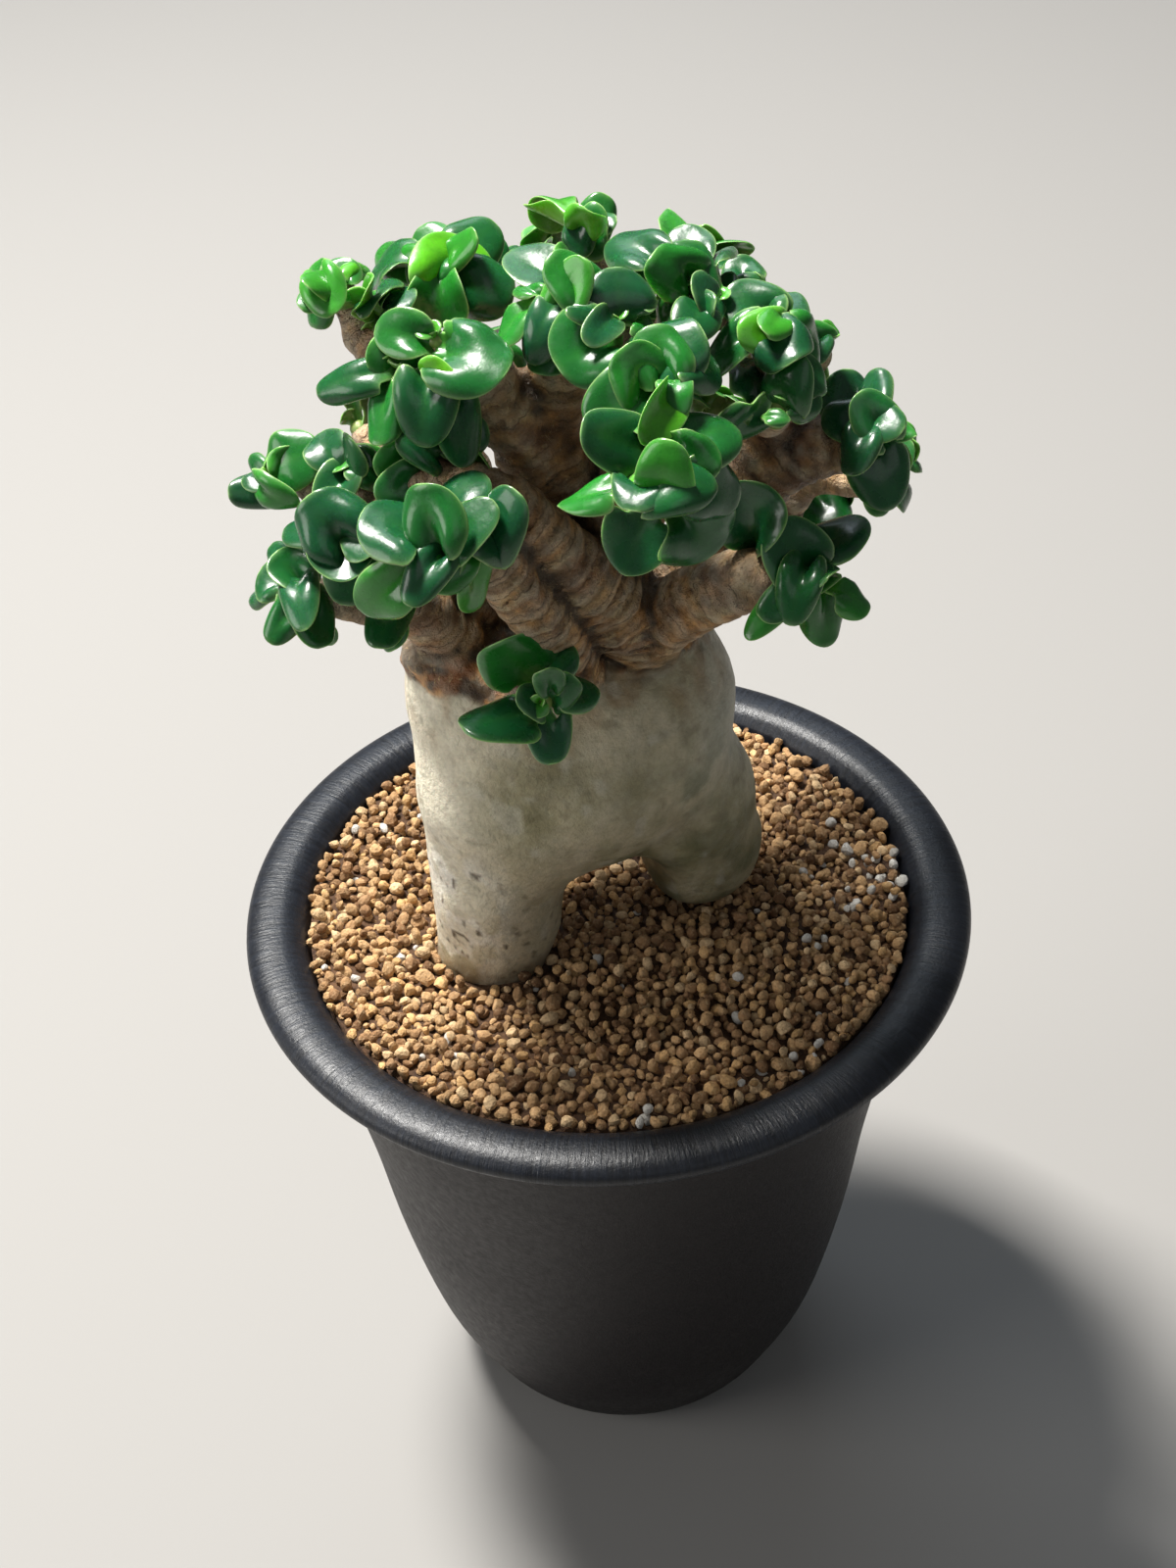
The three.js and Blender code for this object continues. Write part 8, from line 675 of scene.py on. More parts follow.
def build_wood(h=0.5):
    lo = np.array([-44.0, -31.0, 87.0])
    hi = np.array([45.0, 42.0, 199.0])
    n = np.ceil((hi - lo) / h).astype(int) + 1
    ax = [(lo[i] + np.arange(n[i]) * h).astype(np.float32) for i in range(3)]
    G = np.full(tuple(n), 9.0, np.float32)
    kz = int((153 - lo[2]) / h)
    i0, i1 = int((-36 - lo[0]) / h), int((34 - lo[0]) / h)
    j1 = int((26 - lo[1]) / h)
    P = np.stack(np.meshgrid(ax[0][i0:i1], ax[1][:j1], ax[2][:kz], indexing="ij"), -1)
    D = stem(P)
    near = np.abs(D) < 3.0
    q = P[near]
    # soft swellings and fine leathery bumps
    dd = 0.50 * N1(q, 9.0) + 0.10 * N2(q, 3.1) + 0.05 * N3(q, 1.2)
    # the pruned crown is rough and flaky
    rough = smooth(142.6, 145.6, q[:, 2] + 1.4 * N2(q, 4.0))
    dd = dd + rough * (0.75 * N2(q, 2.1) + 0.45 * np.abs(N3(q, 1.1)) + 0.35)
    D[near] -= dd.astype(np.float32)
    G[i0:i1, :j1, :kz] = D
    ring = np.zeros(G.shape, np.float32)      # ring furrows, 0..1
    br = np.zeros(G.shape, np.float32)        # 1 on branches
    along = np.zeros(G.shape, np.float32)     # ring number along the branch
    rng = np.random.RandomState(5)
    tubes = [(np.array(q_), 1.0, k) for k, q_ in enumerate(LIMBS)] + [(np.array(q_), 0.85, 100 + k) for k, q_ in TWIGS]
    for pts, amp, num in tubes:
        r_max = pts[:, 3].max()
        a = np.maximum(((pts[:, :3].min(0) - r_max - 2.2 - lo) / h).astype(int), 0)
        b = np.minimum(((pts[:, :3].max(0) + r_max + 2.2 - lo) / h).astype(int) + 1, n)
        sh = tuple(b - a)
        Dl = np.full(sh, 9.0, np.float32)
        S = np.zeros(sh, np.float32)
        seg = np.linalg.norm(np.diff(pts[:, :3], axis=0), axis=1)
        s0 = np.r_[0, np.cumsum(seg)]
        for k in range(len(pts) - 1):
            p, q_ = pts[k], pts[k + 1]
            rr = max(p[3], q_[3]) + 2.0
            c0 = np.maximum(((np.minimum(p[:3], q_[:3]) - rr - lo) / h).astype(int), a) - a
            c1 = np.minimum(((np.maximum(p[:3], q_[:3]) + rr - lo) / h).astype(int) + 1, b) - a
            if (c1 <= c0).any():
                continue
            sl = tuple(slice(c0[t], c1[t]) for t in range(3))
            X = np.stack(np.meshgrid(*[ax[t][a[t] + c0[t]:a[t] + c1[t]] for t in range(3)], indexing="ij"), -1)
            ba = (q_[:3] - p[:3]).astype(np.float32)
            pa = X - p[:3].astype(np.float32)
            y = (pa @ ba) / max(float(ba @ ba), 1e-6)
            yc = np.clip(y, 0, 1)
            d = np.linalg.norm(pa - yc[..., None] * ba, axis=-1) - (p[3] + (q_[3] - p[3]) * yc)
            sub = Dl[sl]
            better = d < sub
            sub[better] = d[better]
            S[sl][better] = (s0[k] + yc * seg[k])[better]
        near = Dl < 2.2
        idxs = np.argwhere(near)
        X = lo + (idxs + a) * h
        s_ = S[near]
        lam = rng.uniform(1.25, 1.75)
        ph = rng.uniform(0, 10)
        x = s_ / lam + 0.75 * N1(X, 5.0, ph) + 0.35 * N2(X, 2.2, ph)
        xs = x / 1.9 + 0.4 * N3(X, 4.0, ph)                # broad swellings: a few rings together
        fr = x - np.floor(x)
        groove = np.exp(-((fr - 0.5) / 0.17) ** 2)           # narrow furrow between plump rings
        r_loc = np.interp(s_, s0, pts[:, 3])
        body_ = 0.06 * r_loc * amp
        fade = 1.0 if num < 100 else 1.0
        disp = fade * (0.05 + body_ * 0.55) * (0.75 - 1.55 * groove) + 0.045 * r_loc * np.cos(2 * np.pi * xs) + 0.12 * r_loc * N2(X, 3.4, ph) * 0.8 + 0.14 * N3(X, 1.3, ph)
        Dn = Dl[near] - disp
        Dl[near] = Dn
        sl = tuple(slice(a[t], b[t]) for t in range(3))
        cur = G[sl]
        closer = Dl < cur
        new = smin(cur, Dl, 1.1)
        G[sl] = np.where(Dl < 5, new, cur)
        rr = ring[sl]
        gv = np.zeros(sh, np.float32)
        gv[near] = groove
        rr[closer] = gv[closer]
        av_ = np.zeros(sh, np.float32)
        av_[near] = x + 7.3 * (num % 9)
        along[sl][closer] = av_[closer]
        w = br[sl]
        w[:] = np.maximum(w, np.where(Dl < 5, np.clip(0.5 + 0.5 * (cur - Dl) / 1.2, 0, 1), 0))
    V, F = surface_net(G, lo, h)

    def samp(A, X):
        q = (X - lo) / h
        i = np.clip(np.floor(q).astype(int), 0, n - 2)
        f = q - i
        o = 0
        for a_ in (0, 1):
            for b_ in (0, 1):
                for c_ in (0, 1):
                    w = (f[:, 0] if a_ else 1 - f[:, 0]) * (f[:, 1] if b_ else 1 - f[:, 1]) * (f[:, 2] if c_ else 1 - f[:, 2])
                    o = o + w * A[i[:, 0] + a_, i[:, 1] + b_, i[:, 2] + c_]
        return o

    return V, F, samp(ring, V), samp(br, V), samp(along, V)


def neighbours_mean(n, F, X):
    e = np.concatenate([F[:, [0, 1]], F[:, [1, 2]], F[:, [2, 3]], F[:, [3, 0]]])
    out = np.zeros((n, X.shape[1]))
    cnt = np.zeros(n)
    for a, b in ((0, 1), (1, 0)):
        for k in range(X.shape[1]):
            out[:, k] += np.bincount(e[:, a], X[e[:, b], k], n)
        cnt += np.bincount(e[:, a], minlength=n)
    return out / np.maximum(cnt, 1)[:, None]


def vertex_normals(V, F):
    fn = np.cross(V[F[:, 2]] - V[F[:, 0]], V[F[:, 3]] - V[F[:, 1]])
    out = np.zeros_like(V)
    for k in range(4):
        for c in range(3):
            out[:, c] += np.bincount(F[:, k], fn[:, c], len(V))
    return nrm(out)


V, F, ringv, brv, alv = build_wood(0.60)
for _ in range(1):
    V = 0.6 * V + 0.4 * neighbours_mean(len(V), F, V)
NV = vertex_normals(V, F)
L_ = V.copy()
for _ in range(4):
    L_ = neighbours_mean(len(V), F, L_)
cav = ((L_ - V) * NV).sum(1)                        # + in hollows, - on ridges
cav = neighbours_mean(len(V), F, cav[:, None])[:, 0]
# the curvature drives a painted shade in the hollows and a painted highlight on the ridges
hollow_shade_ridge_light = np.clip(cav / 0.10, -1.5, 2.5)
# colours of the skin
skin = lin(198, 187, 158)
olive = lin(140, 134, 98)
# cream is the painted highlight colour, for the lit left side and the ridges
lit_cream = lin(236, 228, 206)
tan = lin(226, 164, 88)
brown = lin(142, 82, 32)
dark = lin(40, 25, 14)
grey = lin(232, 200, 142)
x, y, z = V.T
n9, n4, n2, n1 = N1(V, 10.0, 3.0), N2(V, 4.2, 5.0), N3(V, 2.0, 1.0), N2(V, 0.9, 2.0)
vs = V * np.array([1.0, 1.0, 0.30])
st_ = N2(vs, 2.4, 4.0)                              # fine upright streaks
col = np.repeat(skin[None], len(V), 0)
col = mixc(col, olive, np.clip(0.36 + 0.55 * n9 + 0.28 * n4 + 0.22 * st_ + 0.30 * smooth(-14, 8, x), 0, 0.92))
# painted highlight: the left side of the stem is made cream, as if lit from the left
col = mixc(col, lit_cream, 0.85 * smooth(-11.5, -23.0, x + 1.8 * n4) * smooth(96, 104, z))
col = mixc(col, lin(166, 172, 166), 0.45 * smooth(10.0, 19.0, x + 1.5 * n4) * smooth(118, 128, z))
patch = smooth(0.0, 0.5, n4 + 0.5 * n2 + 0.35) * np.exp(-((x + 20.5) / 5.5) ** 2 - ((z - 107) / 10.5) ** 2) * (y < 2)
patch2 = smooth(0.05, 0.4, n4 + 0.6 * n2 + 0.15) * smooth(114, 102, z) * (x < -4)
col = mixc(col, lin(236, 231, 218), 0.95 * np.clip(patch * 2.2, 0, 1))
col = mixc(col, lin(208, 198, 170), 0.6 * patch2)
dots = smooth(0.40, 0.70, n1) * np.clip(patch * 2.2 + 0.5 * patch2, 0, 1)
col = mixc(col, dark, 0.9 * np.clip(1.3 * dots, 0, 1))
moss = smooth(0.05, 0.6, n4 + 0.5 * n2) * smooth(134, 100, z) * smooth(-8, 4, x)
col = mixc(col, lin(86, 92, 60), 0.72 * moss)
knob = smooth(-0.1, 0.5, n4 + 0.6 * n2) * np.exp(-((x - 13) / 7.0) ** 2 - ((z - 124) / 6.0) ** 2)
col = mixc(col, lin(96, 106, 84), 0.6 * knob)
weep = smooth(0.0, 0.45, st_ + 0.5 * n4) * smooth(133, 143, z) * (1 - brv)
col = mixc(col, lin(150, 116, 76), 0.55 * weep)
spots = smooth(0.55, 0.8, N3(V, 1.6, 6.0) + 0.35 * N1(V, 7.0, 8.0))
col = mixc(col, lin(98, 90, 62), 0.42 * spots * (1 - brv))
pale = smooth(0.50, 0.8, N3(V, 2.3, 16.0) + 0.3 * N1(V, 6.0, 18.0))
col = mixc(col, lin(204, 200, 182), 0.45 * pale * (1 - brv))
col = mixc(col, lin(104, 78, 50), 0.6 * smooth(98.8, 95.5, z + 0.8 * n2))
crown = smooth(143.6, 144.6, z + 1.5 * n4 + 0.8 * n2) * (1 - 0.6 * brv)
ccol = mixc(np.repeat(brown[None], len(V), 0), tan, np.clip(0.30 + 1.3 * n2 + 0.6 * n1, 0, 1))
ccol = mixc(ccol, dark, np.clip(1.5 * smooth(-0.05, 0.4, N2(V, 1.5, 21.0)), 0, 0.88))
col = mixc(col, ccol, 0.95 * crown)
bcol = mixc(np.repeat(tan[None], len(V), 0), grey, np.clip(0.30 + 1.0 * n4, 0, 0.85))
bcol = mixc(bcol, brown, np.clip(0.42 + 0.9 * N3(V, 5.0, 9.0) + 0.35 * N2(V, 2.6, 41.0), 0, 0.9))
bcol = mixc(bcol, lin(244, 218, 164), np.clip(1.5 * smooth(0.28, 0.65, N3(V, 2.1, 31.0)), 0, 0.8) * (ringv < 0.4))
bcol = mixc(bcol, dark, np.clip(0.68 * ringv, 0, 0.68))
col = mixc(col, bcol, smooth(0.25, 0.75, brv))
# painted shade: the hollows are darkened, more on the branches and the crown
col = mixc(col, dark, np.clip(hollow_shade_ridge_light, 0, 1) * (0.30 + 0.50 * np.clip(brv + crown, 0, 1)))
# painted highlight: the ridges are lightened towards cream
col = mixc(col, lit_cream, np.clip(-hollow_shade_ridge_light - 0.25, 0, 1) * (0.16 + 0.34 * smooth(0.3, 0.8, brv)))
# painted shade: deep between the branches the wood is painted dark and dull, where their shade falls
inner_shade = smooth(20.0, 8.0, np.hypot(x, y - 4)) * smooth(143, 152, z) * smooth(190, 170, z)
col = mixc(col, dark, 0.45 * inner_shade)
col = col * (1 + 0.13 * n1 + 0.08 * n2)[:, None]
wood = make("caudex_skin", V, F, col, {"branch": smooth(0.25, 0.75, brv), "rough": np.clip(crown, 0, 1), "along": alv})
print("wood", len(V), len(F) * 2)

M = Mat("bark_skin")
c0 = M.attr("Col", "Color")
isbr, rgh, al = M.attr("branch"), M.attr("rough"), M.attr("along")
skinmask = M.math("SUBTRACT", 1.0, M.math("MAXIMUM", isbr, rgh))
nz = M.noise(0.55, 4, 0.6)
c1 = M.mix(M.ramp(nz, 0.40, 0.75, 0.0, 0.24), c0, lin(78, 66, 44))
nz2 = M.noise(2.6, 4, 0.6)
c2 = M.mix(M.ramp(nz2, 0.45, 0.75, 0.0, 0.26), c1, lin(208, 202, 182))
# leathery skin: shallow cells with darker seams
cell = M.voronoi(1.15)
c3 = M.mix(M.math("MULTIPLY", M.ramp(cell, 0.55, 0.95, 0.0, 0.14), skinmask), c2, lin(86, 82, 58))
# ring scars of the branches, two sizes
wob = M.ramp(M.noise(1.3, 3, 0.6), 0.2, 0.8, -0.45, 0.45)
f1 = M.math("ABSOLUTE", M.math("SUBTRACT", M.math("FRACT", M.math("ADD", al, wob)), 0.5))
f2 = M.math("ABSOLUTE", M.math("SUBTRACT", M.math("FRACT", M.math("MULTIPLY", M.math("ADD", al, wob), 2.7)), 0.5))
g1, g2 = M.ramp(f1, 0.0, 0.20), M.ramp(f2, 0.0, 0.25)
seam = M.math("MULTIPLY", M.math("SUBTRACT", 1.0, g1), isbr)
c4 = M.mix(M.math("MULTIPLY", seam, 0.62), c3, lin(56, 34, 17))
fine = M.math("MULTIPLY", M.math("SUBTRACT", 1.0, g2), isbr)
c5 = M.mix(M.math("MULTIPLY", fine, 0.30), c4, lin(74, 48, 26))
# papery flakes that stand off and catch the light
fl = M.math("MULTIPLY", M.ramp(M.noise(1.7, 4, 0.65, dist=1.2), 0.60, 0.68), M.math("MAXIMUM", isbr, rgh))
c6 = M.mix(M.math("MULTIPLY", fl, 0.62), c5, lin(240, 210, 156))
M.link(c6, "Base Color")
M.link(M.math("SUBTRACT", M.ramp(nz2, 0.3, 0.7, 0.40, 0.62), M.math("MULTIPLY", fl, 0.22)), "Roughness")
b0 = M.bump(M.noise(2.2, 4, 0.6), 0.30, 0.8)
b1 = M.bump(M.noise(0.9, 5, 0.66), 0.34, 0.9, b0)
b2 = M.bump(M.math("MULTIPLY", M.ramp(cell, 0.9, 0.1), skinmask), 0.05, 0.6, b1)
b3 = M.bump(M.math("MULTIPLY", g1, isbr), 0.38, 0.9, b2)
b4 = M.bump(M.math("MULTIPLY", g2, isbr), 0.12, 0.8, b3)
b5 = M.bump(M.math("MULTIPLY", M.noise(0.8, 4, 0.7), M.math("ADD", M.math("MULTIPLY", isbr, 0.55), M.math("MULTIPLY", rgh, 1.3))), 0.8, 0.85, b4)
b6 = M.bump(fl, 0.16, 0.8, b5)
M.bump(M.noise(0.22, 2, 0.5), 0.05, 0.6, b6)
M.set(Subsurface_Weight=0.05, Subsurface_Scale=0.001)
M.b.inputs["Specular IOR Level"].default_value = 0.42
wood.data.materials.append(M.m)
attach(wood, "root")
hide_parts("caudex")


# ------------------------------------------------------------------ leaves
def outline(u, a, b):
    """half width of the flattened leaf over W/2: a band below, flaring into a round limb"""
    w = (0.36 + 0.64 * smooth(0.10, 0.56 + 0.25 * (a - 1.0), u)) * (0.62 + 0.38 * smooth(0.0, 0.16, u))
    x = np.clip((u - 0.60) / 0.40, 0, 1)
    return w * np.clip(1 - x * x, 0, 1) ** (0.5 + max(0.0, b - 0.72))


def leaf_mid(B, T, N, W, roll, curl, cup, lobe, u, v, a=1.2, b=0.72, tw=0.0, wav=0.0, ph=0.0, lip=0.0, lat=0.0):
    """middle surface of a trumpet-shaped leaf: channelled band (cup), round limb with backward lobes (lobe),
    its sides rolled away from the throat (roll) and its midrib bent back (curl)"""
    X = T - B
    Lc = np.linalg.norm(X)
    X = X / Lc
    N = nrm(N - N @ X * X)
    Y = np.cross(N, X)
    th = math.radians(curl)
    K = 160
    uu = np.linspace(0, 1, K + 1)
    pa = -th * (0.85 * smooth(0.12, 0.88, uu) + 0.15 * uu)
    cx = np.r_[0, np.cumsum(0.5 * (np.cos(pa[1:]) + np.cos(pa[:-1]))) / K]
    cz = np.r_[0, np.cumsum(0.5 * (np.sin(pa[1:]) + np.sin(pa[:-1]))) / K]
    d = -math.atan2(cz[-1], cx[-1])
    sc = Lc / math.hypot(cx[-1], cz[-1])
    c, s = math.cos(d), math.sin(d)
    mxx = np.interp(u, uu, sc * (c * cx - s * cz))
    mzz = np.interp(u, uu, sc * (s * cx + c * cz))
    ang = np.interp(u, uu, pa + d)
    wr = outline(u, a, b)
    w = wr * W / 2
    sm, far = smooth(0.20, 0.52, u), smooth(0.35, 0.90, u)
    At = math.radians(min(78.0, -cup * 0.38)) * (1 - far)
    av = np.abs(v)
    y, z, n = 0.0, 0.0, 14
    for k in range(n):
        q = (k + 0.5) / n * av
        al = (1 - sm) * math.radians(-cup) * wr * q + sm * (At * np.sin(np.pi * np.clip(q / 0.85, 0, 1)) - math.radians(roll) * wr * q ** 1.5)
        al = np.clip(al, -2.2, 2.4)
        y = y + np.cos(al) * w * av / n
        z = z + np.sin(al) * w * av / n
    y = y * np.sign(v)
    e = np.clip((av - 0.62) / 0.38, 0, 1)
    z = z - lip * e ** 2 * w * 0.28 * sm
    z = z + (wav * np.sin(3.1 * np.pi * u + ph) * v * av + 0.4 * wav * np.sin(5.0 * np.pi * u + ph * 1.7) * av ** 2) * sm
    t = math.radians(tw) * (u ** 1.5)
    y, z = y * np.cos(t) - z * np.sin(t), y * np.sin(t) + z * np.cos(t)
    sh = -lobe * (W / 2) * av ** 1.8 * smooth(0.18, 0.48, u) * (1 - smooth(0.55, 1.0, u))
    tx, tz = np.cos(ang), np.sin(ang)
    return B + (mxx - tz * z + tx * sh)[..., None] * X + (mzz + tx * z + tz * sh)[..., None] * N + (y + lat * np.sin(np.pi * u))[..., None] * Y


def leaf_mesh(B, T, N, W, roll, curl, tone, a, b, tw, lat, cup, lobe, root, rs, nu=24, nv=16, thick=0.8, lip=0.5, wav=0.25):
    """a thick leaf: upper and lower face around a rounded margin, with a short stalk back to the shoot"""
    s = np.linspace(0, 1, nu)
    u = 0.04 + 0.96 * (1 - (1 - s) ** 1.55)
    vv = np.sin(np.pi / 2 * np.linspace(-1, 1, nv + 1))
    U, Vv = np.meshgrid(u, vv, indexing="ij")
    ph = rs.uniform(0, 6.28)
    P = leaf_mid(B, T, N, W, roll, curl, cup, lobe, U, Vv, a=a, b=b, tw=tw, lat=lat, lip=lip, wav=wav, ph=ph)
    e = 1e-3
    Pu = leaf_mid(B, T, N, W, roll, curl, cup, lobe, np.clip(U - 0.012, 0, 1), Vv * 0.999, a=a, b=b, tw=tw, lat=lat, lip=lip, wav=wav, ph=ph)
    Pv = leaf_mid(B, T, N, W, roll, curl, cup, lobe, np.clip(U, 0, 0.992), np.clip(Vv - 0.03, -1, 1), a=a, b=b, tw=tw, lat=lat, lip=lip, wav=wav, ph=ph)
    Pw = leaf_mid(B, T, N, W, roll, curl, cup, lobe, np.clip(U, 0, 0.992), np.clip(Vv + 0.03, -1, 1), a=a, b=b, tw=tw, lat=lat, lip=lip, wav=wav, ph=ph)
    du, dv = P - Pu, Pw - Pv
    n = nrm(np.cross(du, dv))
    n[-1] = n[-2]
    n0 = nrm(N)
    L = np.linalg.norm(T - B)
    w = outline(U, a, b) * W / 2
    # thickness: fullest at the midrib, a rounded bead at the margin
    prof = np.sqrt(np.clip(1 - np.abs(Vv) ** 4.0, 0, 1))
    tip = np.sqrt(np.clip((1 - U) * L / 0.55, 0, 1))
    hh = 0.5 * thick * (0.60 + 0.40 * np.exp(-(Vv * w / (0.22 * W)) ** 2)) * (1.15 - 0.35 * U)
    hh = np.minimum(hh, 0.30 + w * 0.55) * prof * np.maximum(tip, 0.0)
    rib = np.exp(-(Vv * w / 0.30) ** 2) * (1 - U) ** 0.8
    top = P + n * (hh - 0.13 * rib * smooth(0.1, 0.3, U))[..., None]
    bot = P - n * (hh + 0.16 * rib)[..., None]
    k = nv + 1
    # ring of each row: upper face left to right, lower face right to left, margins shared
    ringP = np.concatenate([top, bot[:, -2:0:-1]], axis=1)
    m_ = ringP.shape[1]
    uu = np.concatenate([U, U[:, -2:0:-1]], 1)
    va = np.concatenate([Vv, Vv[:, -2:0:-1]], 1)
    side = np.concatenate([np.zeros_like(U), np.ones_like(U[:, -2:0:-1])], 1)
    rows, ru, rv, rside = [ringP], [uu], [va], [side]
    if root is not None:
        S = root
        t0 = nrm(B - S)
        c0_ = ringP[0].mean(0)
        ring0 = ringP[0] - c0_
        st = []
        for f in (0.0, 0.35, 0.7):
            g = 1 - f
            st.append(S * g + c0_ * f + ring0 * (1.0 + 0.15 * g))
        rows.insert(0, np.array(st))
        ru.insert(0, np.zeros((3, m_)))
        rv.insert(0, np.repeat(va[:1], 3, 0))
        rside.insert(0, np.repeat(side[:1], 3, 0))
    R = np.concatenate(rows)
    uu, va, side = np.concatenate(ru), np.concatenate(rv), np.concatenate(rside)
    nr = len(R)
    # last row is the tip: one point
    tipP = R[-1].mean(0)
    body = R[:-1]
    nb = nr - 1
    Vx = np.concatenate([body.reshape(-1, 3), tipP[None], body[0].mean(0)[None]])
    i, j = np.meshgrid(np.arange(nb - 1), np.arange(m_), indexing="ij")
    a0, a1 = i * m_ + j, i * m_ + (j + 1) % m_
    Q = np.stack([a0, a1, a1 + m_, a0 + m_], -1).reshape(-1, 4)
    jj = np.arange(m_)
    T1 = np.stack([(nb - 1) * m_ + jj, (nb - 1) * m_ + (jj + 1) % m_, np.full(m_, nb * m_)], -1)
    T2 = np.stack([(jj + 1) % m_, jj, np.full(m_, nb * m_ + 1)], -1)
    au = np.r_[uu[:-1].ravel(), 1.0, 0.0]
    av = np.r_[va[:-1].ravel(), 0.0, 0.0]
    asd = np.r_[side[:-1].ravel(), 0.0, 0.0]
    ww = outline(au, a, b) * W / 2
    edge = np.minimum((1 - np.abs(av)) * np.maximum(ww, 0.3), (1 - au) * L)   # distance from the margin, mm
    return Vx, Q, np.concatenate([T1, T2]), au, av, asd, edge


DARK, MID, LIME = (12, 68, 28), (30, 112, 34), (108, 190, 24)
# the margin colour is a painted highlight along the leaf edge
BLUE, OLIVE, RIM_GLINT, PALE = lin(26, 78, 56), lin(104, 130, 50), lin(178, 216, 140), lin(120, 196, 52)


def leaf_colour(P, au, av, side, edge, tone, rs):
    t = tone
    k = min(t / 0.45, 1.0), max(0.0, (t - 0.45) / 0.55)
    base = lin(*[DARK[i] + (MID[i] - DARK[i]) * k[0] + (LIME[i] - MID[i]) * k[1] for i in range(3)])
    c = np.repeat(np.asarray(base)[None], len(P), 0)
    c = mixc(c, BLUE, np.full(len(P), 0.40 * max(0.0, 1 - t / 0.3)))
    # the blade is paler towards its base, in the throat and along the midrib: partly its own paler young tissue, partly
    # a painted glow of light shining through
    c = mixc(c, PALE, (0.12 + 0.45 * t) * (1 - smooth(0.0, 0.42, au)) + (0.06 + 0.10 * t) * np.exp(-(av / 0.09) ** 2) * (1 - au))
    c = mixc(c, OLIVE, side * (0.26 + 0.14 * rs.rand()))
    # painted highlight and glow: a pale line along the margin, where the rounded edge catches the light
    c = mixc(c, RIM_GLINT, 0.52 * np.exp(-(edge / 0.10) ** 2) + 0.10 * np.exp(-(edge / 0.5) ** 2))
    c = c * (1 + 0.15 * N1(P, 3.2) + 0.08 * N2(P, 1.1))[:, None]
    return c


M = Mat("leaf_skin")
c0 = M.attr("Col", "Color")
nz = M.noise(1.4, 3, 0.6)
c1 = M.mix(M.ramp(nz, 0.38, 0.72, 0.0, 0.20), c0, lin(22, 66, 32))
M.link(c1, "Base Color")
M.link(M.ramp(M.noise(2.4, 3, 0.6), 0.3, 0.75, 0.21, 0.36), "Roughness")
M.set(Subsurface_Weight=0.26, Subsurface_Scale=0.0010, Coat_Weight=0.20, Coat_Roughness=0.12)
M.b.inputs["Subsurface Radius"].default_value = (0.45, 1.0, 0.18)
M.b.inputs["IOR"].default_value = 1.42
b1 = M.bump(M.noise(1.9, 3, 0.55), 0.11, 0.55)
M.bump(M.noise(0.55, 3, 0.5), 0.03, 0.5, b1)
LEAF = M.m

M = Mat("shoot_skin")
M.link(M.mix(M.ramp(M.noise(0.9, 3, 0.6), 0.35, 0.7, 0.0, 1.0), lin(96, 128, 52), lin(140, 150, 84)), "Base Color")
M.link(M.ramp(M.noise(0.7, 3, 0.6), 0.3, 0.7, 0.35, 0.55), "Roughness")
M.bump(M.noise(0.5, 3, 0.6), 0.10, 0.7)
M.set(Subsurface_Weight=0.15, Subsurface_Scale=0.001)
SHOOT = M.m

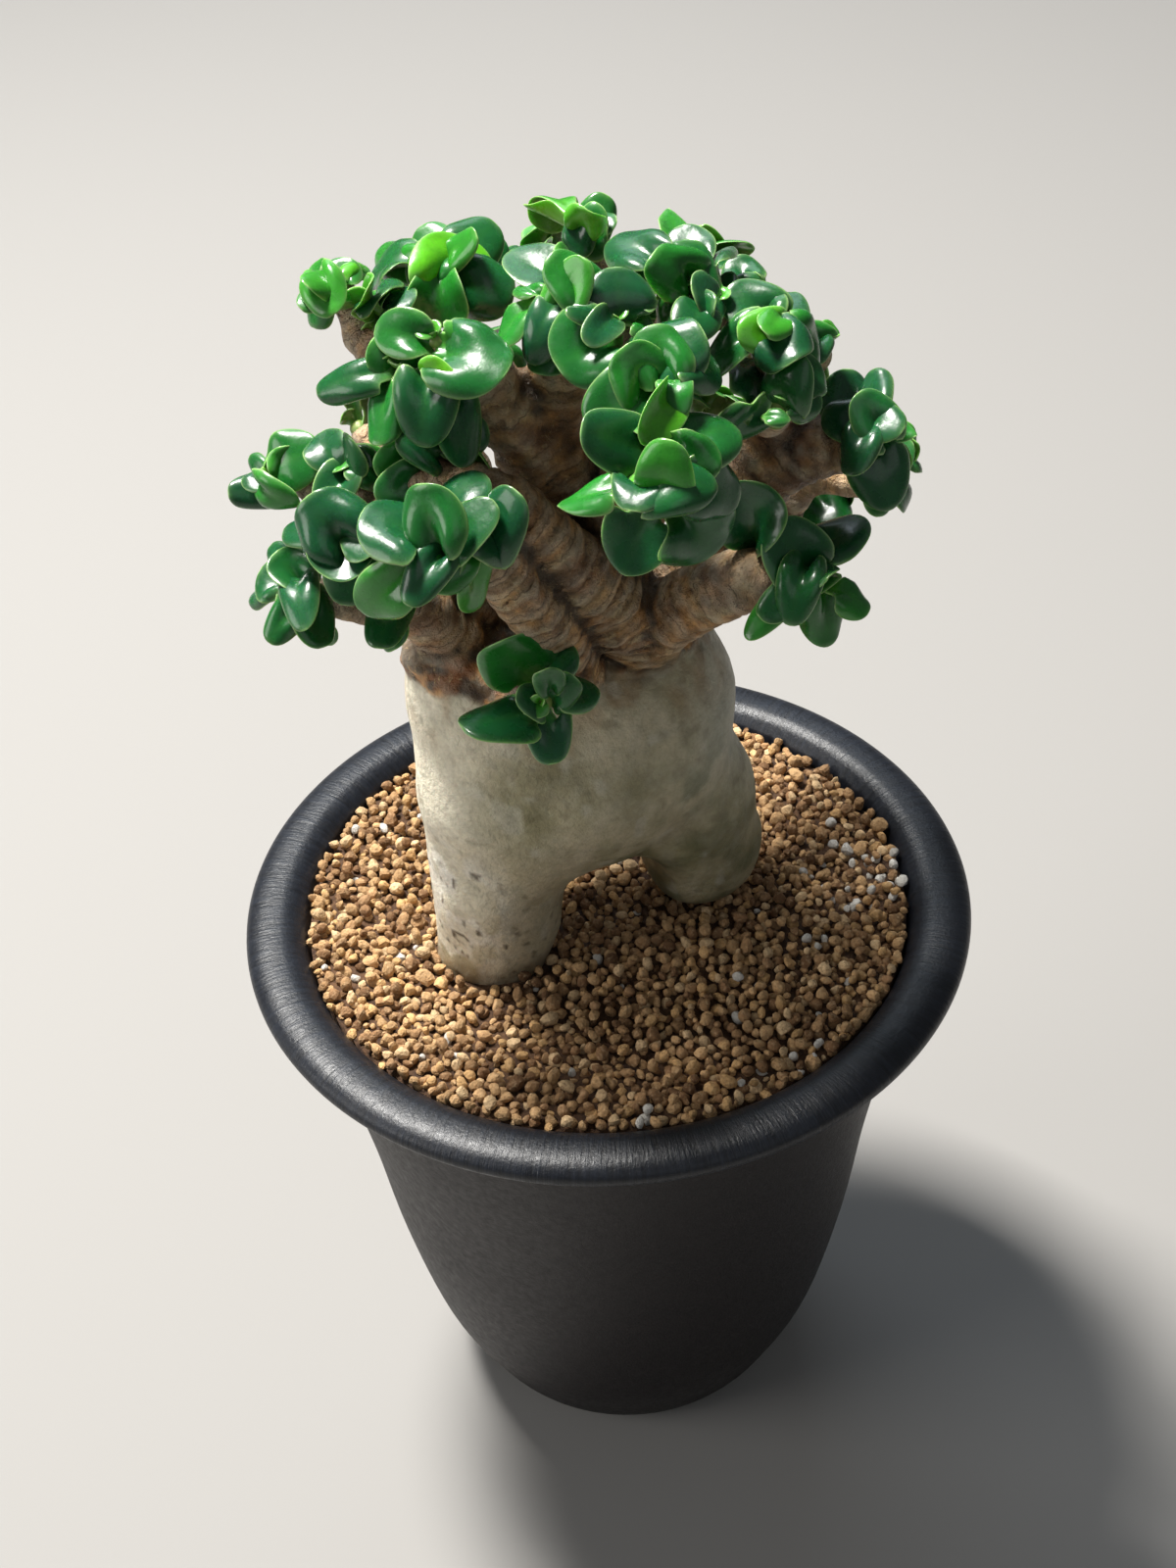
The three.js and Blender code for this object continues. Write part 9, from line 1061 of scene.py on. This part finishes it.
total = 0
for row in ROSETTES:
    rid, P0, A0 = int(row[0]), np.array(row[1:4]), nrm(np.array(row[4:7]))
    rs = np.random.RandomState(100 + rid)
    Vs, Qs, Ts, Cs = [], [], [], []
    base = 0
    mine = [l for l in LEAVES if int(l[0]) == rid]
    vis = rid <= 25
    jobs = []
    for l in mine:
        B, T, N = np.array(l[1:4]), np.array(l[4:7]), np.array(l[7:10])
        W, roll, curl, tone, a, b, tw, lat, cup, lobe = l[10:20]
        S = P0 + A0 * 0.9
        jobs.append((B, T, N, W, roll, curl, tone, a, b, tw, lat, cup, lobe, S if np.linalg.norm(B - S) > 0.5 else None, 0.56, 0.2, 0.22))
    # the youngest leaves, still folded round the growing point
    e1 = nrm(np.cross(A0, [0.3, 0.2, 1.0]))
    e2 = np.cross(A0, e1)
    a0 = rs.uniform(0, 6.28)
    for k in range(3):
        an = a0 + k * 2.3999
        tilt = math.radians((16, 26, 38)[k] + rs.uniform(-5, 5))
        dr = math.cos(tilt) * A0 + math.sin(tilt) * (math.cos(an) * e1 + math.sin(an) * e2)
        Bm = P0 + A0 * 1.1 + 0.25 * (math.cos(an) * e1 + math.sin(an) * e2)
        Lm = (1.7, 2.2, 2.7)[k] * rs.uniform(0.85, 1.1)
        Nm = A0 - A0 @ dr * dr
        Nm = Nm if np.linalg.norm(Nm) > 0.2 else -(math.cos(an) * e1 + math.sin(an) * e2)
        jobs.append((Bm, Bm + dr * Lm, Nm, Lm * 1.05, -40 + 30 * k, 20 + 18 * k, 0.78 - 0.1 * k, 1.1, 0.8, rs.uniform(-20, 20), 0.0, -150 + 20 * k, 0.1, None, 0.6, 0.0, 0.1))
    for (B, T, N, W, roll, curl, tone, a, b, tw, lat, cup, lobe, root, thick, lip, wav) in jobs:
        small = np.linalg.norm(T - B) < 4
        nu, nv = ((14, 10) if small else (24, 16) if vis else (20, 12))
        Vx, Q, T3, au, av, sd, edge = leaf_mesh(B, T, N, W, roll, curl, tone, a, b, tw, lat, cup, lobe, root, rs, nu, nv, thick, lip, wav)
        Vs.append(Vx)
        Qs.append(Q + base)
        Ts.append(T3 + base)
        Cs.append(leaf_colour(Vx, au, av, sd, edge, tone, rs))
        base += len(Vx)
    Vx, Q, T3, C = np.concatenate(Vs), np.concatenate(Qs), np.concatenate(Ts), np.concatenate(Cs)
    ob = make("leaves_%02d" % rid, Vx, [Q, T3], C)
    ob.data.materials.append(LEAF)
    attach(ob, "root")
    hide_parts("leaf_rosette_%02d" % rid)
    total += len(Q) * 2 + len(T3)
    # soft green shoot tip under the leaves
    k, ns = 9, 16
    t = np.linspace(0, 1, k)
    rr = np.where(t < 0.75, 1.85 - 0.9 * t, 1.175 * np.sqrt(np.clip((1 - t) / 0.25, 0, 1)) + 0.0)
    rr[-1] = 0.02
    th = np.linspace(0, 2 * np.pi, ns, endpoint=False)
    c_ = P0[None] + A0[None] * (-1.4 + 3.6 * t)[:, None]
    ring_ = c_[:, None] + rr[:, None, None] * (np.cos(th)[None, :, None] * e1 + np.sin(th)[None, :, None] * e2)
    Vx = np.concatenate([ring_.reshape(-1, 3), c_[:1], c_[-1:] + A0 * 0.02])
    i, j = np.meshgrid(np.arange(k - 1), np.arange(ns), indexing="ij")
    Q = np.stack([i * ns + j, i * ns + (j + 1) % ns, (i + 1) * ns + (j + 1) % ns, (i + 1) * ns + j], -1).reshape(-1, 4)
    jj = np.arange(ns)
    T3 = np.concatenate([np.stack([(jj + 1) % ns, jj, np.full(ns, k * ns)], -1), np.stack([(k - 1) * ns + jj, (k - 1) * ns + (jj + 1) % ns, np.full(ns, k * ns + 1)], -1)])
    sh = make("shoot_%02d" % rid, Vx, [Q, T3])
    sh.data.materials.append(SHOOT)
    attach(sh, "root")
    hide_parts("leaf_rosette_%02d" % rid)
print("leaf triangles", total)


# ------------------------------------------------------------------ pot
def lathe(name, prof, seg, mat_, node, closed=True):
    prof = np.array(prof, float)
    th = np.linspace(0, 2 * np.pi, seg, endpoint=False)
    n = len(prof)
    Vx = np.stack([prof[:, 0][:, None] * np.cos(th), prof[:, 0][:, None] * np.sin(th), np.repeat(prof[:, 1][:, None], seg, 1)], -1).reshape(-1, 3)
    i, j = np.meshgrid(np.arange(n if closed else n - 1), np.arange(seg), indexing="ij")
    i2 = (i + 1) % n
    Q = np.stack([i * seg + j, i * seg + (j + 1) % seg, i2 * seg + (j + 1) % seg, i2 * seg + j], -1).reshape(-1, 4)
    ob = make(name, Vx, Q)
    ob.data.materials.append(mat_)
    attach(ob, "root")
    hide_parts(node)
    return ob


def spline(pts, per=6):
    P = np.array(pts, float)
    Q = np.vstack([2 * P[0] - P[1], P, 2 * P[-1] - P[-2]])
    out = []
    for i in range(len(P) - 1):
        p0, p1, p2, p3 = Q[i:i + 4]
        for t in np.linspace(0, 1, per, endpoint=False):
            out.append(0.5 * (2 * p1 + (-p0 + p2) * t + (2 * p0 - 5 * p1 + 4 * p2 - p3) * t * t + (-p0 + 3 * p1 - 3 * p2 + p3) * t ** 3))
    out.append(P[-1])
    return [tuple(p) for p in out]


M = Mat("pot_plastic")
up = M.ramp(M.noise(3.0, 4, 0.6), 0.3, 0.7, 0.0, 1.0)
sep = M.nt.nodes.new("ShaderNodeSeparateXYZ")
M.nt.links.new(M.tc.outputs["Object"], sep.inputs[0])
rimm = M.ramp(sep.outputs["Z"], 0.0912, 0.0930)
# fine moulding scratches that run outwards over the rim; they also streak the painted reflection on the rim
ang = M.math("ARCTAN2", sep.outputs["Y"], sep.outputs["X"])
com = M.nt.nodes.new("ShaderNodeCombineXYZ")
M.nt.links.new(M.math("MULTIPLY", ang, 95.0), com.inputs[0])
M.nt.links.new(M.math("MULTIPLY", sep.outputs["Z"], 90.0), com.inputs[1])
M.nt.links.new(M.math("MULTIPLY", M.math("SQRT", M.math("ADD", M.math("MULTIPLY", sep.outputs["X"], sep.outputs["X"]), M.math("MULTIPLY", sep.outputs["Y"], sep.outputs["Y"]))), 260.0), com.inputs[2])
sn = M.nt.nodes.new("ShaderNodeTexNoise")
sn.inputs["Scale"].default_value = 1.0
sn.inputs["Detail"].default_value = 4.0
sn.inputs["Roughness"].default_value = 0.65
M.nt.links.new(com.outputs[0], sn.inputs["Vector"])
streak = sn.outputs["Fac"]
c0 = M.mix(up, lin(13, 9, 10), lin(20, 14, 15))
# painted reflection: the rim is painted lighter and bluish, streaked by the scratches, standing in for the sky seen in
# it
c0 = M.mix(rimm, c0, M.mix(M.ramp(streak, 0.35, 0.7), lin(14, 16, 21), lin(26, 30, 38)))
scuff = M.ramp(M.noise(1.6, 5, 0.7, stretch=(1, 1, 0.35)), 0.66, 0.80, 0.0, 0.20)
c1 = M.mix(scuff, c0, lin(60, 54, 54))
M.link(c1, "Base Color")
M.link(M.math("SUBTRACT", M.ramp(M.noise(1.2, 4, 0.65), 0.3, 0.75, 0.44, 0.62), M.math("MULTIPLY", rimm, 0.13)), "Roughness")
M.b.inputs["Specular IOR Level"].default_value = 0.38
b1 = M.bump(M.noise(0.45, 4, 0.6), 0.06, 0.9)
b2 = M.bump(M.math("MULTIPLY", streak, rimm), 0.14, 0.9, b1)
M.bump(M.noise(6.0, 3, 0.5), 0.30, 0.25, b2)
POT = M.m

cr, hb, zb = 52.5 - 4.2, 2.17, 94.57
prof = [(6.0, 2.4), (18.2, 2.4), (19.1, 2.1), (19.5, 0.25), (19.8, 0.0), (23.2, 0.0), (24.3, 0.35)]
prof += spline([(24.3, 0.35), (26.6, 3.2), (28.9, 8.0), (33.0, 19.0), (36.8, 37.8), (39.4, 57.0), (42.6, 75.7), (44.9, 90.0), (45.3, 92.0)], 6)[1:]
prof += [(45.5, 92.6), (45.9, 92.9)]
for i in range(-62, 112, 9):
    a = math.radians(i)
    c, s = math.cos(a), math.sin(a)
    prof.append((cr + 4.2 * math.copysign(abs(c) ** 0.92, c), zb + hb * math.copysign(abs(s) ** 0.92, s)))
prof += spline([(45.6, 96.1), (44.6, 95.2), (43.9, 94.0), (43.3, 90.4), (41.0, 75.5), (37.9, 57.0), (35.2, 37.8), (31.4, 19.0), (27.2, 8.6), (24.0, 5.4), (20.5, 4.4)], 3)
prof += [(6.0, 4.4)]
pot = lathe("pot_shell", prof, POT_SEG, POT, "pot")

# ------------------------------------------------------------------ soil: a packed bed under loose granules
M = Mat("soil_bed")
M.link(M.mix(M.ramp(M.noise(1.5, 5, 0.7), 0.35, 0.7, 0, 1), lin(44, 28, 18), lin(96, 68, 44)), "Base Color")
M.set(Roughness=0.95)
M.bump(M.noise(1.3, 4, 0.6), 0.8, 1.0)
BED = M.m
prof = [(0.02, 4.7), (20.4, 4.7), (24.0, 5.8), (27.0, 9.0), (31.1, 19.2), (34.9, 38.0), (37.6, 57.0), (40.7, 75.5), (43.0, 90.3), (43.35, 93.6)]
prof += [(42.0, 93.9), (36.0, 93.9), (24.0, 93.9), (12.0, 93.9), (0.02, 93.9)]
bed = lathe("soil_bed", prof, 96, BED, "soil", closed=True)


def ico(sub):
    import bmesh
    bm = bmesh.new()
    bmesh.ops.create_icosphere(bm, subdivisions=sub, radius=1.0)
    v = np.array([x.co[:] for x in bm.verts])
    f = np.array([[x.index for x in t.verts] for t in bm.faces])
    bm.free()
    return v, f


ICO_V, ICO_F = ico(2)


def grain_shapes(k, seed):
    rs = np.random.RandomState(seed)
    out = []
    for _ in range(k):
        r = np.ones(len(ICO_V))
        for _ in range(9):
            d = nrm(rs.normal(size=3))
            r += rs.uniform(-0.24, 0.20) * np.clip(ICO_V @ d, 0, 1) ** rs.randint(1, 5)
        for _ in range(7):                       # flats where a granule broke
            d = nrm(rs.normal(size=3))
            h = rs.uniform(0.60, 0.88)
            dot = (ICO_V * r[:, None]) @ d
            r = np.where(dot > h, r * (h / np.maximum(dot, 1e-6)) ** 0.8, r)
        out.append(ICO_V * r[:, None] * np.array([1.12, rs.uniform(0.80, 1.08), rs.uniform(0.62, 0.95)]))
    return out


def rand_rot(rs, n):
    q = nrm(rs.normal(size=(n, 4)))
    w, x, y, z = q.T
    return np.stack([1 - 2 * (y * y + z * z), 2 * (x * y - z * w), 2 * (x * z + y * w), 2 * (x * y + z * w), 1 - 2 * (x * x + z * z), 2 * (y * z - x * w), 2 * (x * z - y * w), 2 * (y * z + x * w), 1 - 2 * (x * x + y * y)], -1).reshape(n, 3, 3)


def scatter(rs, n_try, rad, R, gap):
    """points with their own radii that keep apart, by dart throwing on a grid"""
    cell = 2.2
    grid = {}
    out = []
    for _ in range(n_try):
        r = rad(rs)
        t, q = rs.uniform(0, 2 * np.pi), math.sqrt(rs.uniform(0, 1)) * (R - r * 0.7)
        px, py = q * math.cos(t), q * math.sin(t)
        ci, cj = int(px // cell), int(py // cell)
        ok = True
        for i in (-1, 0, 1):
            for j in (-1, 0, 1):
                for (ox, oy, orr) in grid.get((ci + i, cj + j), ()):
                    if (ox - px) ** 2 + (oy - py) ** 2 < (gap * (r + orr)) ** 2:
                        ok = False
                        break
                if not ok:
                    break
            if not ok:
                break
        if ok:
            grid.setdefault((ci, cj), []).append((px, py, r))
            out.append((px, py, r))
    return np.array(out)


def radius(rs):
    return float(np.clip(rs.normal(0.82, 0.17), 0.46, 1.25))


rs = np.random.RandomState(77)
low = scatter(rs, 26000, radius, 43.6, 0.86)
low_z = 94.15 + rs.uniform(-0.35, 0.25, len(low)) + 0.35 * N1(np.c_[low[:, :2], np.zeros(len(low))], 9.0)
top = scatter(rs, 15000, radius, 43.9, 0.98)
# the upper granules settle between the ones below
tz = []
for px, py, r in top:
    d2 = (low[:, 0] - px) ** 2 + (low[:, 1] - py) ** 2
    s_ = (0.86 * (low[:, 2] + r)) ** 2
    ok = d2 < s_
    tz.append((low_z[ok] + np.sqrt(s_[ok] - d2[ok])).max() if ok.any() else 94.2)
tz = np.array(tz)
keep = tz < 95.9 + 0.35 * N2(np.c_[top[:, :2], np.zeros(len(top))], 6.0)
top, tz = top[keep], tz[keep]
G_ = np.concatenate([np.c_[low[:, :2], low_z, low[:, 2]], np.c_[top[:, :2], tz - 0.25, top[:, 2]]])
# none inside the stem
d = stem(G_[:, :3].astype(np.float32))
G_ = G_[d > 0.35 * G_[:, 3]]
rho = np.hypot(G_[:, 0], G_[:, 1])
lim = 43.4 + (G_[:, 2] - 93.5) * 0.55
G_ = G_[rho + 0.75 * G_[:, 3] < lim + 0.9]
print("grains", len(G_))

WHITE = [(33.5, 3.5, 5.5, 4.5, 0.34), (41.5, 2.0, 3.2, 5.5, 0.55), (36.0, -5.0, 5.0, 4.0, 0.22), (28.8, -11.8, 1.5, 1.5, 0.5), (24.9, -33.5, 4.5, 2.0, 0.35), (2.9, -42.3, 2.0, 1.2, 0.6)]
SINGLE = [(16.4, -18.5), (2.9, -42.0), (23.0, -33.0), (27.0, -32.0), (28.8, -11.8), (44.0, 3.1)]
pw = np.full(len(G_), 0.012)
for cx, cy, sx, sy, p in WHITE:
    pw = np.maximum(pw, p * np.exp(-((G_[:, 0] - cx) / sx) ** 2 - ((G_[:, 1] - cy) / sy) ** 2))
is_white = rs.rand(len(G_)) < pw
for cx, cy in SINGLE:
    k = np.argmin((G_[:, 0] - cx) ** 2 + (G_[:, 1] - cy) ** 2 - 4 * (G_[:, 2] - 94))
    is_white[k] = True

shapes = grain_shapes(28, 5)
R_ = rand_rot(rs, len(G_))
pal = [lin(188, 152, 110), lin(162, 128, 92), lin(204, 174, 134), lin(138, 106, 76), lin(176, 142, 102), lin(112, 84, 60), lin(194, 156, 108), lin(152, 120, 88)]
pal_w = np.array([0.2, 0.17, 0.12, 0.13, 0.14, 0.07, 0.12, 0.05])
pick = rs.choice(len(pal), len(G_), p=pal_w)
nv_, nf_ = len(ICO_V), len(ICO_F)


def grain_piece(name, sel, mat_, white=False):
    Vx = np.empty((len(sel) * nv_, 3))
    C = np.empty((len(sel) * nv_, 3))
    for k, g in enumerate(sel):
        s = shapes[(g * 7) % len(shapes)] @ R_[g].T * G_[g, 3] * (0.92 if white else 1.05)
        Vx[k * nv_:(k + 1) * nv_] = s + G_[g, :3]
        c = lin(206, 202, 194) * (0.9 + 0.2 * ((g * 37) % 10) / 10) if white else pal[pick[g]] * (0.82 + 0.36 * ((g * 53) % 17) / 17)
        C[k * nv_:(k + 1) * nv_] = c
    C = C * (1 + 0.22 * N2(Vx, 0.9))[:, None]
    F_ = (ICO_F[None] + (np.arange(len(sel)) * nv_)[:, None, None]).reshape(-1, 3)
    ob = make(name, Vx, F_, C, smooth_shade=False)
    ob.data.materials.append(mat_)
    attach(ob, "root")
    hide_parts("soil")
    return ob


M = Mat("fired_clay")
c0 = M.attr("Col", "Color")
c1 = M.mix(M.ramp(M.noise(0.42, 4, 0.7), 0.45, 0.72, 0.0, 0.55), c0, lin(92, 66, 44))
c2 = M.mix(M.ramp(M.noise(0.6, 3, 0.6), 0.52, 0.78, 0.0, 0.40), c1, lin(226, 198, 158))
M.link(c2, "Base Color")
M.set(Roughness=0.95)
M.b.inputs["Specular IOR Level"].default_value = 0.12
b1 = M.bump(M.noise(0.75, 4, 0.7), 0.42, 1.0)
M.bump(M.noise(0.2, 2, 0.6), 0.08, 0.9, b1)
CLAY = M.m
M = Mat("pumice")
c0 = M.attr("Col", "Color")
M.link(M.mix(M.ramp(M.noise(0.3, 4, 0.7), 0.35, 0.7, 0.0, 0.5), c0, lin(132, 126, 118)), "Base Color")
M.set(Roughness=0.9)
M.bump(M.noise(0.3, 4, 0.7), 0.2, 1.0)
PUMICE = M.m

brown_ids = np.where(~is_white)[0]
rho = np.hypot(G_[:, 0], G_[:, 1])
inner = brown_ids[rho[brown_ids] < 30.0]
outer = brown_ids[rho[brown_ids] >= 30.0]
for nm, ids in (("soil_grains_inner", inner), ("soil_grains_outer", outer)):
    half = 2400
    for k in range(0, len(ids), half):
        grain_piece("%s_%d" % (nm, k // half + 1), ids[k:k + half], CLAY)
grain_piece("soil_grains_pumice", np.where(is_white)[0], PUMICE, True)

# ------------------------------------------------------------------ floor and light
bpy.ops.mesh.primitive_plane_add(size=6.0, location=(0, 0, 0))
floor = bpy.context.object
floor.name = "floor"
fm = bpy.data.materials.new("floor")
fm.use_nodes = True
fb = fm.node_tree.nodes["Principled BSDF"]
fb.inputs["Base Color"].default_value = (0.27, 0.262, 0.252, 1)
fb.inputs["Roughness"].default_value = 0.85
floor.data.materials.append(fm)


def area(name, d, dist, size, power, color=(1, 1, 1), aim=(0, 0, 0.14), sy=None):
    d = Vector(d).normalized()
    li = bpy.data.lights.new(name, "AREA")
    li.shape = "RECTANGLE"
    li.size = size
    li.size_y = sy or size
    li.energy = power
    li.color = color
    ob = bpy.data.objects.new(name, li)
    bpy.context.scene.collection.objects.link(ob)
    ob.location = Vector(aim) + d * dist
    ob.rotation_euler = (-d).to_track_quat("-Z", "Y").to_euler()
    return ob


area("key", (-0.34, 0.30, 1.0), 1.0, 0.20, 31.0, (1.0, 0.975, 0.93))
area("fill_back", (-0.15, 0.95, 0.85), 1.3, 1.0, 4.2, (0.78, 0.89, 1.0), sy=0.6)
area("fill_left", (-1.0, -0.28, 0.38), 1.2, 0.6, 5.8, (1.0, 0.98, 0.94))
area("fill_front", (0.35, -1.0, 0.7), 1.5, 1.0, 1.5, (0.96, 0.98, 1.0))
w = bpy.data.worlds.new("world")
bpy.context.scene.world = w
w.use_nodes = True
w.node_tree.nodes["Background"].inputs[0].default_value = (0.92, 0.96, 1.0, 1)
w.node_tree.nodes["Background"].inputs[1].default_value = 0.14
sc = bpy.context.scene
sc.view_settings.view_transform = "Standard"
sc.view_settings.look = "None"
sc.view_settings.exposure = 0.0
